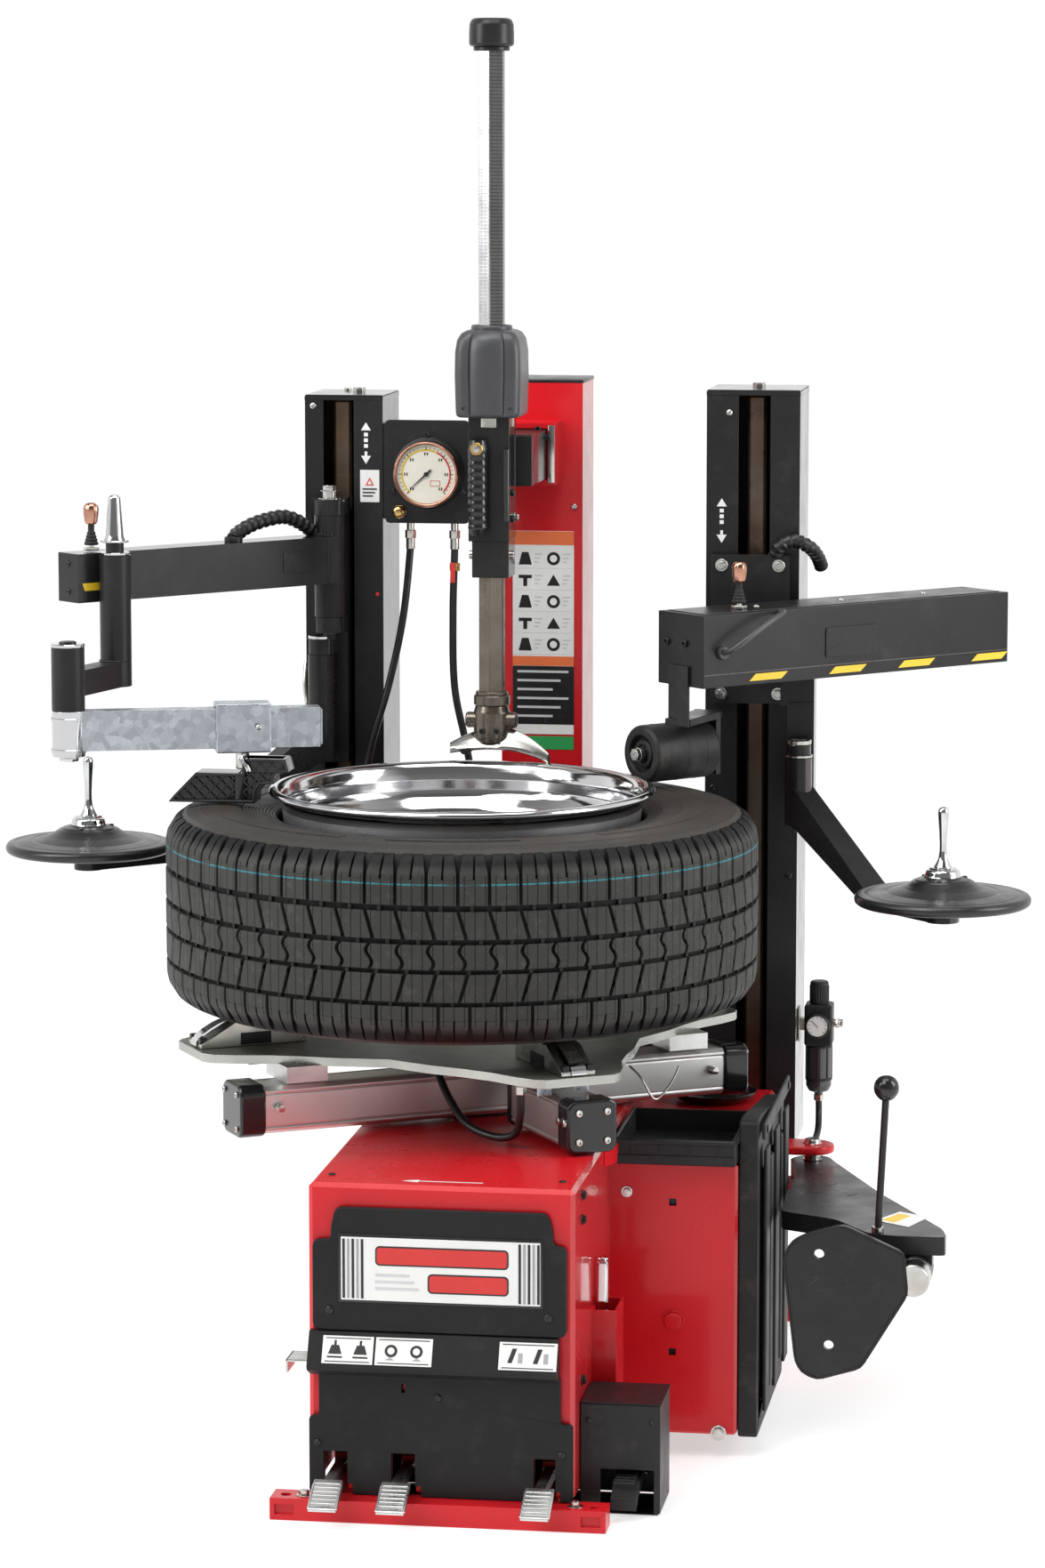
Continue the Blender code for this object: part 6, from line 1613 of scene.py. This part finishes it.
rel = [(x - BXc, z) for x, z in OUTL]
inn = shrink(rel, .0042)
P = Part()
P.add(prism(rel[::-1] if False else rel, -.016, .016, .0012, 2), 0, PBM)
for w0, w1 in ((.0158, .0218), (-.0218, -.0158)):
    P.add(prism(rel, w0, w1, .0010, 2, holes=[inn]), 0, PBM)


def inside(px, pz, poly):
    c = False
    m = len(poly)
    for i in range(m):
        x1, z1 = poly[i]
        x2, z2 = poly[(i + 1) % m]
        if (z1 > pz) != (z2 > pz) and px < (x2 - x1) * (pz - z1) / (z2 - z1) + x1:
            c = not c
    return c


for s in (1, -1):
    for k in range(-14, 15):
        x0 = -.020 + k * .0165
        run = []
        for q in range(0, 90):
            z = .8820 + q * .0008
            x = x0 + s * (z - .905)
            if inside(x, z, inn):
                run.append((x, z))
        if len(run) > 6:
            (xa, za), (xb, zb) = run[0], run[-1]
            n = Vector((zb - za, -(xb - xa))).normalized() * .0011
            for w0, w1 in ((.0158, .0202), (-.0202, -.0158)):
                P.add(prism([(xa - n.x, za - n.y), (xb - n.x, zb - n.y), (xb + n.x, zb + n.y), (xa + n.x, za + n.y)], w0, w1, .0004, 1), 0, PBM)
P.add(cyl(.0125, .8850, .9235, .0016, 36), 0, Matrix.Translation((BXc, BYc, 0)) @ Matrix.Translation((0, -.0090, 0)))
P.add(bx(BXc + .004, BXc + .063, BYc - .0190, BYc + .0190, .9240, .9450, .0020, 3), 0)
make("press_block_moulded", P, [BLACK_GLOSS], "press_block", ["press_block"], sharp=35)

P = Part()
sp = catmull([(BXc + .004, BYc - .0250, .9500), (BXc + .006, BYc - .0275, .9425), (BXc + .013, BYc - .0265, .9350), (BXc + .016, BYc - .0260, .9280)], 5)
P.add(sweep(sp, .0016, 10), 0)
P.add(sweep([Vector(q) + Vector((-.0035, 0, 0)) for q in sp], .0016, 10), 0)
P.pan((BXc - .028, BYc - .0218, .990), "-Y", .008, .0024, 1)
P.pan((BXc + .028, BYc - .0218, .990), "-Y", .008, .0024, 1)
make("press_slider_pin", P, [CHROME, BOLT], "press_slider")

P = Part()
DX, DY, DZ = -.566, .100, .7915
P.add(cyl(.0078, DZ + .0450, DZ + .0500, .001, 28), 0, Matrix.Translation((DX, DY, 0)))
make("left_disc_arm_pin", P, [CHROME], "left_disc_arm")

# ---------------------------------------------------------------- right helper arm
q7 = math.sqrt(.5)
RM = Matrix(((q7, -q7, 0, .325), (q7, q7, 0, .150), (0, 0, 1, 0), (0, 0, 0, 1)))     # (along, across to the rear-left, up)
P = Part()
for t in (.0400, .0810):
    P.socket((RM @ Vector((-.0002, t, 1.0925)))[:], (-q7, -q7, 0), .0105, .0045, 1)
FM = RM @ Matrix(((1, 0, 0, 0), (0, 0, -1, -.0002), (0, 1, 0, 0), (0, 0, 0, 1)))       # (along, up, out of the long face)
for s0 in (.085, .235, .368, .512):
    P.add(prism([(s0, 1.0355), (s0 + .060, 1.0355), (s0 + .072, 1.0455), (s0 + .012, 1.0455)], 0, .0005, 0), 2, FM)
P.add(prism(rrect(.228, .325, 1.060, 1.104, .003, 3), 0, .0016, .0004, 1), 3, FM)
for s0, z in ((.233, 1.066), (.320, 1.066), (.233, 1.098), (.320, 1.098)):
    P.add(cyl(.0018, .0012, .0024, .0004, 12), 1, FM @ Matrix.Translation((s0, z, 0)))
# A thin strip in the arm's lighter side colour along the long face: a painted highlight line.
P.add(prism([(.002, 1.0480), (.583, 1.0480), (.583, 1.0496), (.002, 1.0496)], 0, .0008, 0), 4, FM)
gr = catmull([RM @ Vector((.035, -.004, 1.0800)), RM @ Vector((.036, -.022, 1.0860)), RM @ Vector((.055, -.030, 1.1000)), RM @ Vector((.100, -.030, 1.1240)), RM @ Vector((.130, -.022, 1.1340)), RM @ Vector((.140, -.004, 1.1330))], 6)
P.add(sweep(gr, .0042, 14), 5)
P.add(cyl(.0095, -.0005, .0060, .0012, 28), 5, mat4((RM @ Vector((.035, 0, 1.0800)))[:], (q7, -q7, 0)))
P.add(bx(.010, .575, .010, .094, 1.1345, 1.1362, .0008), 3, RM)
for s0 in (.14, .30, .46):
    P.pan((RM @ Vector((s0, .052, 1.1360)))[:], "Z", .009, .0024, 0)
for t in (.018, .086):
    P.pan((RM @ Vector((.5852, t, 1.110)))[:], (q7, q7, 0), .009, .0024, 0)
make("right_arm_fittings", P, [BOLT, BOLT_DARK, P_YELLOW, BLACK_SATIN, ARM_LIT_SIDE, PLASTIC_GREY], "right_arm")

P = Part()
for s in (0, 1):
    P.hexbolt((.3240, .3978, .995 + .190 * s), "-Y", .012, .005, 0)
    P.hexbolt((.4085, .3978, .995 + .190 * s), "-Y", .012, .005, 0)
dp = catmull([(.400, .4100, 1.195), (.412, .3950, 1.215), (.432, .4000, 1.222), (.452, .4150, 1.212), (.462, .4400, 1.196), (.466, .4600, 1.180)], 8)
P.add(sweep(dp, [.0098 + .0013 * math.sin(i * 2.1) for i in range(len(dp))], 14), 1)
P.add(ring(.0125, .0185, .9270, .9340, .001, 40), 2, Matrix.Translation((.445, .350, 0)))
P.hexbolt((.445, .350, .8055), "-Z", .015, .007, 0)
P.weld([(.4265, .3715, .985), (.4635, .3715, .985)], .0020, 3)
make("right_carriage_fittings", P, [BOLT, DUCT, NICKEL, WELD], "right_carriage")

# roller: thick hollow rubber sleeve on its axle
P = Part()
RMX = mat4((.270, .250, .9265), (q7, q7, 0))
L = .059
P.add(lathe(fillet([(.0128, -L + .003), (.0200, -L + .003), (.0225, -L + .010), (.0255, -L + .010), (.0280, -L), (.0385, -L), (.0420, -L + .004), (.0420, L - .004), (.0385, L), (.0280, L), (.0255, L - .010), (.0225, L - .010), (.0200, L - .003), (.0128, L - .003)], .0022, 3), 80, True), 0, RMX)
for k in (-.034, 0, .034):
    P.add(ring(.0415, .04235, k - .0008, k + .0008, .0002, 80), 0, RMX)
make("press_roller_sleeve", P, [RUBBER], "press_roller", ["press_roller"], sharp=45)

P = Part()
P.add(cyl(.0105, -L - .0060, -L + .0015, .001, 32), 0, RMX)
P.add(prism(ngon(6, .0100), -L - .0120, -L - .0055, .0008), 0, RMX)
make("roller_axle_end", P, [BOLT], "right_arm")

P = Part()
P.add(cyl(.0078, .7905, .7960, .001, 28), 0, Matrix.Translation((.674, .100, 0)))
P.add(ring(.0110, .0205, .9080, .9120, .0008, 40), 1, Matrix.Translation((.445, .350, 0)))
make("right_disc_arm_fittings", P, [CHROME, NICKEL], "right_disc_arm")

# ---------------------------------------------------------------- bead breaker
P = Part()
P.add(prism([(.600, -.120), (.648, -.155), (.672, -.090), (.630, -.062)], .3242, .3247, 0), 0)
P.add(prism([(.609, -.118), (.627, -.131), (.647, -.088), (.630, -.076)], .3246, .3250, 0), 1)
for x, y, a in ((.520, .100, 60), (.555, .040, 60), (.500, .170, 70)):
    P.add(prism([(x + u * math.cos(a * D2R) - w * math.sin(a * D2R), y + u * math.sin(a * D2R) + w * math.cos(a * D2R)) for u, w in ((-.010, -.003), (.010, -.003), (.010, .003), (-.010, .003))], .3236, .3244, .0002, 1), 2)
P.add(lathe(fillet([(0, .5090), (.0070, .5090), (.0120, .5130), (.0168, .5200), (.0176, .5270), (.0160, .5350), (.0110, .5410), (.0050, .5436), (0, .5440)], .0030, 5, False), 48, False), 3, Matrix.Translation((.6185, -.190, 0)))
P.add(cyl(.0085, .3240, .3320, .001, 28), 4, Matrix.Translation((.6085, -.190, 0)))
P.hexbolt((.478, .262, .3245), "Z", .018, .009, 5)
make("breaker_arm_fittings", P, [P_WHITE, P_YELLOW, BOLT_DARK, BLACK_GLOSS, STEEL, BOLT], "breaker_arm")

P = Part()
BR = Matrix(((1, 0, 0, 0), (0, 0, -1, -.2602), (0, 1, 0, 0), (0, 0, 0, 1)))
# narrow slot mark, hole rims, folded edge and the turned end of the rod
P.add(prism([(.5946, .2618), (.6190, .2694), (.6186, .2708), (.5942, .2632)], -.0004, .0003, 0), 1, BR)
for x, z in ((.534, .307), (.548, .180)):
    P.add(ring(.0072, .0088, -.0006, .0004, .0003, 32), 0, BR @ Matrix.Translation((x, z, 0)))
edge = [(.4872, .3020), (.4985, .3212), (.5194, .3322), (.5662, .3452), (.6478, .3094), (.6532, .2554), (.5906, .1516), (.5324, .1338), (.5124, .1428), (.5042, .1576)]
edge = edge + [edge[0]]
for i in range(len(edge) - 1):
    P.add(sweep([(edge[i][0], -.2600, edge[i][1]), (edge[i + 1][0], -.2600, edge[i + 1][1])], .0011, 8), 0)
P.add(lathe([(0, .0008), (.004, .0006), (.0205, .0006), (.0218, -.0006), (.0218, -.0020), (0, -.0020)], 64, False), 2, Matrix(((1, 0, 0, .662), (0, 0, -1, -.2592), (0, 1, 0, .274), (0, 0, 0, 1))))
make("breaker_blade_trim", P, [BLACK_SATIN, BOLT_DARK, STEEL], "breaker_blade")

P = Part()
P.hexbolt((.478, .262, .2695), "-Z", .018, .008, 0)
P.hexbolt((.4700, .2045, .292), "-Y", .012, .005, 0)
bh = catmull([(.4680, .4700, .3760), (.4690, .4650, .3520), (.4700, .4400, .3300), (.4660, .4000, .3180), (.4560, .3600, .3150), (.4360, .3400, .3200), (.4190, .3300, .3250)], 6)
P.add(sweep(bh, .0050, 14), 1)
P.add(prism(ngon(6, .0075), .3700, .3790, .0006), 2, Matrix.Translation((.468, .470, 0)))
make("breaker_bracket_fittings", P, [BOLT, HOSE, NICKEL], "root")

# ---------------------------------------------------------------- under and on the turntable
P = Part()


def extrusion(part, M, x0, x1, h, w, mi, mi2):
    """A square aluminium barrel with bright edge ribs and grooves along it."""
    o = []
    for q in range(4):
        a, c2 = 90 * q * D2R, 0
        for t, d in ((-w + .0055, 0), (-w + .0090, 0), (-w + .0096, .0014), (-w + .0114, .0014), (-w + .0120, .0002), (w - .0120, .0002), (w - .0114, .0014), (w - .0096, .0014), (w - .0090, 0), (w - .0055, 0)):
            x, y = t, -(h - d)
            o.append((x * math.cos(a) - y * math.sin(a), x * math.sin(a) + y * math.cos(a)))
    A = M @ Matrix(((0, 0, 1, 0), (1, 0, 0, 0), (0, 1, 0, 0), (0, 0, 0, 1)))
    part.add(prism(o, x0, x1, .0008, 1), mi, A)


C1 = Matrix.Rotation(32 * D2R, 4, "Z") @ Matrix.Translation((0, -.100, .4902))
extrusion(P, C1, -.350, .350, .0330, .0330, 0, 0)
for s in (-1, 1):
    P.add(prism(rrect(-.0370, .0370, -.0370, .0370, .016, 6), .3490, .3870, .004, 3), 1, C1 @ Matrix(((0, 0, s, 0), (1, 0, 0, 0), (0, s, 0, 0), (0, 0, 0, 1))) if False else C1 @ Matrix.Rotation(0 if s > 0 else math.pi, 4, "Z") @ Matrix(((0, 0, 1, 0), (1, 0, 0, 0), (0, 1, 0, 0), (0, 0, 0, 1))))
    for y in (-.024, .024):
        for z in (-.024, .024):
            p = (C1 @ Vector((s * .3872, y, z)))
            ax = (C1.to_3x3() @ Vector((s, 0, 0)))
            P.socket(p[:], ax[:], .0085, .0034, 2)
    p = C1 @ Vector((s * .330, -.0340, .004))
    ax = C1.to_3x3() @ Vector((0, -1, 0))
    P.add(prism(ngon(6, .0070), 0, .0070, .0006), 3, mat4(p[:], ax[:]))
    P.add(cyl(.0050, .0065, .0130, .0006, 24), 3, mat4(p[:], ax[:]))
make("clamp_cylinder_1_barrel", P, [ALU, BLACK_GLOSS, BOLT, NICKEL], "turntable", ["clamp_cylinder_1"])

P = Part()
C2 = Matrix.Rotation(302 * D2R, 4, "Z") @ Matrix.Translation((0, .020, .4902))
extrusion(P, C2, .197, .374, .0330, .0330, 0, 0)
ZX = Matrix(((0, 0, 1, 0), (1, 0, 0, 0), (0, 1, 0, 0), (0, 0, 0, 1)))
P.add(prism(rrect(-.0370, .0370, -.0370, .0370, .013, 6), .3700, .4070, .005, 3), 1, C2 @ ZX)
P.add(prism(rrect(-.0350, .0350, -.0350, .0350, .010, 4), .1940, .2050, .002, 2), 1, C2 @ ZX)
for y, z in ((-.021, .020), (.021, -.020), (-.021, -.020), (.021, .020)):
    P.socket((C2 @ Vector((.4068, y, z)))[:], (C2.to_3x3() @ Vector((1, 0, 0)))[:], .0095, .0036, 2)
for x in (.380, .398):
    P.hexbolt((C2 @ Vector((x, -.0370, .006)))[:], (C2.to_3x3() @ Vector((0, -1, 0)))[:], .010, .004, 2, washer=False)
p = C2 @ Vector((.350, .0330, .008))
ax = C2.to_3x3() @ Vector((0, 1, 0))
P.add(prism(ngon(6, .0070), 0, .0070, .0006), 3, mat4(p[:], ax[:]))
P.add(cyl(.0050, .0065, .0130, .0006, 24), 3, mat4(p[:], ax[:]))
make("clamp_cylinder_2_barrel", P, [ALU, BLACK_GLOSS, BOLT, NICKEL], "turntable", ["clamp_cylinder_2"])

# hose elbows, angle brackets and the wire guard under the table
P = Part()
for (x, y, z), d in (((-.020, -.1600, .5330), (0.3, -0.9, 0.1)), ((.133, -.330, .5470), (0, 0, 1))):
    M = mat4((x, y, z), d)
    P.add(prism(ngon(6, .0085), -.016, -.004, .0008), 0, M)
    P.add(cyl(.0066, -.005, .004, .0008, 28), 0, M)
for th, w in ((302, .030), (32, .030)):
    M = Matrix.Rotation(th * D2R, 4, "Z")
    for q in (-1, 1):
        P.add(bx(.300, .352, min(q * .0165, q * .038), max(q * .0165, q * .038), .5450, .5483, .0010), 1, M)
        P.add(bx(.3495, .3528, min(q * .0165, q * .038), max(q * .0165, q * .038), .5260, .5480, .0010), 1, M)
        P.hexbolt((M @ Vector((.328, q * .0270, .5449)))[:], "-Z", .012, .006, 2)
# pivot bolts through the table top and the hub cap
for th in (77, 167, 257, 347):
    M = Matrix.Rotation(th * D2R, 4, "Z")
    P.pan((M @ Vector((.150, 0, .5603)))[:], "Z", .014, .0028, 2)
P.add(lathe(fillet([(0, .5602), (.0440, .5602), (.0440, .5640), (.0400, .5662), (.0200, .5662), (.0180, .5640), (0, .5640)], .0008, 2, False), 72, False), 2)
for k in range(6):
    a = (60 * k + 10) * D2R
    P.socket((.0310 * math.cos(a), .0310 * math.sin(a), .5660), "Z", .0085, .0040, 3)
wl = catmull([(.262, -.176, .5440), (.280, -.190, .5300), (.296, -.198, .5060), (.306, -.192, .5040), (.322, -.176, .5250), (.330, -.168, .5440)], 6)
P.add(sweep(wl, .0016, 10), 2)
make("turntable_fittings", P, [NICKEL, GALV, BOLT, BOLT_DARK], "turntable")

# slide plates, straps and end blocks of the four jaws
for k, th in enumerate((32, 122, 212, 302)):
    M = Matrix.Rotation(th * D2R, 4, "Z")
    Q = Part()
    Q.add(bx(.2480, .2710, -.0235, .0235, .5903, .6000, .0018, 3), 0, M)
    for j in range(9):
        y = -.020 + .005 * j
        Q.add(bx(.2462, .2485, y - .0014, y + .0014, .5650, .5985, .0005, 1), 0, M)
    Q.add(sweep([(.2735, -.0240, .5995), (.2735, .0240, .5995)], .0016, 10), 1, M)
    for y in (-.014, .014):
        Q.socket((M @ Vector((.300, y, .5978)))[:], "Z", .0100, .0019, 3)
    st = catmull([(.352, 0, .5966), (.372, 0, .5900), (.392, 0, .5790), (.4035, 0, .5690), (.4060, 0, .5620)], 5)
    vs, fs = [], []
    for i, q in enumerate(st):
        for y in (-.011, .011):
            for d in (0, .0022):
                vs.append((q.x + d * .35, y, q.z + d))
    for i in range(len(st) - 1):
        o = 4 * i
        fs += [(o, o + 1, o + 5, o + 4), (o + 2, o + 6, o + 7, o + 3), (o + 1, o + 3, o + 7, o + 5), (o, o + 4, o + 6, o + 2)]
    fs += [(0, 2, 3, 1), (4 * (len(st) - 1), 4 * (len(st) - 1) + 1, 4 * (len(st) - 1) + 3, 4 * (len(st) - 1) + 2)]
    Q.add((np.array(vs), fs), 1, M)
    Q.add(bx(.3930, .4040, -.0230, -.0130, .5672, .5760, .0015), 2, M)
    Q.add(bx(.3930, .4040, .0130, .0230, .5672, .5760, .0015), 2, M)
    Q.add(bx(.300, .345, -.0262, -.0250, .5630, .5800, .0005), 2, M)
    Q.add(bx(.300, .345, .0250, .0262, .5630, .5800, .0005), 2, M)
    make("jaw_%d_fittings" % (k + 1), Q, [STEEL, CHROME, BLACK_SATIN, BOLT_DARK], "jaw_%d" % (k + 1))


# ---------------------------------------------------------------- floor and light
fl = bpy.data.meshes.new("floor")
fl.from_pydata([(-30, -30, -0.0005), (30, -30, -0.0005), (30, 30, -0.0005), (-30, 30, -0.0005)], [], [(0, 1, 2, 3)])
floor = link(bpy.data.objects.new("floor", fl))
FF = Finish("floor_pale")
kf = FF.rng(FF.noise(1.5, 3, 0.5), 0.3, 0.7, 0.985, 1.0)
FF.b.inputs["Emission Strength"].default_value = 0.56
FF.b.inputs["Emission Color"].default_value = (1, 1, 1, 1)
fl.materials.append(FF.done(FF.mix(1.0, (0.62, 0.62, 0.62), FF.comb(kf, kf, kf), "MULTIPLY"), 0.85, 0.0, spec=0.1))

world = bpy.data.worlds.new("studio")
bpy.context.scene.world = world
world.use_nodes = True
wt = world.node_tree
wt.nodes.clear()
wo = wt.nodes.new("ShaderNodeOutputWorld")
wb = wt.nodes.new("ShaderNodeBackground")
tc = wt.nodes.new("ShaderNodeTexCoord")
sx = wt.nodes.new("ShaderNodeSeparateXYZ")
cr = wt.nodes.new("ShaderNodeValToRGB")
mp = wt.nodes.new("ShaderNodeMapRange")
# bright behind and at both sides, dim overhead and on the viewer's side
wt.links.new(tc.outputs["Generated"], sx.inputs[0])


def band(src, lo, hi, a, b):
    m = wt.nodes.new("ShaderNodeMapRange")
    m.interpolation_type = "SMOOTHSTEP"
    wt.links.new(src, m.inputs["Value"])
    for k, q in (("From Min", lo), ("From Max", hi), ("To Min", a), ("To Max", b)):
        m.inputs[k].default_value = q
    return m.outputs[0]


def wmath(op, a, b):
    m = wt.nodes.new("ShaderNodeMath")
    m.operation = op
    wt.links.new(a, m.inputs[0])
    wt.links.new(b, m.inputs[1])
    return m.outputs[0]


wt.nodes.remove(cr)
wt.nodes.remove(mp)
back = band(sx.outputs[1], -0.55, 0.35, 0.20, 1.0)
ax = wt.nodes.new("ShaderNodeMath")
ax.operation = "ABSOLUTE"
wt.links.new(sx.outputs[0], ax.inputs[0])
sides = band(ax.outputs[0], 0.55, 0.95, 0.0, 0.85)
up = band(sx.outputs[2], 0.25, 0.95, 1.0, 0.42)
level = wmath("MULTIPLY", wmath("MAXIMUM", back, sides), up)
gx = wt.nodes.new("ShaderNodeCombineXYZ")
for i in range(3):
    wt.links.new(level, gx.inputs[i])
wt.links.new(gx.outputs[0], wb.inputs[0])
wb.inputs[1].default_value = 1.03
wt.links.new(wb.outputs[0], wo.inputs[0])


def lamp(name, kind, energy, pos, aim=(0, 0, 0.8), size=1.0, size_y=None):
    d = bpy.data.lights.new(name, kind)
    d.energy = energy
    if kind == "AREA":
        d.shape = "RECTANGLE"
        d.size = size
        d.size_y = size_y or size
    else:
        d.angle = size
    o = link(bpy.data.objects.new(name, d))
    o.location = (pos[0] + TX, pos[1] + TY, pos[2])
    o.rotation_euler = (Vector(aim) - Vector(pos)).to_track_quat("-Z", "Y").to_euler()
    return o


lamp("key_sun", "SUN", 1.15, (-2.2, -3.2, 5.2), size=0.6)
lamp("softbox_left", "AREA", 62, (-2.8, -1.6, 2.6), size=1.4, size_y=2.2)
lamp("softbox_right", "AREA", 55, (3.0, -0.4, 2.0), size=1.2, size_y=2.2)
lamp("softbox_top", "AREA", 46, (0.2, -0.6, 3.6), size=2.4, size_y=1.6)
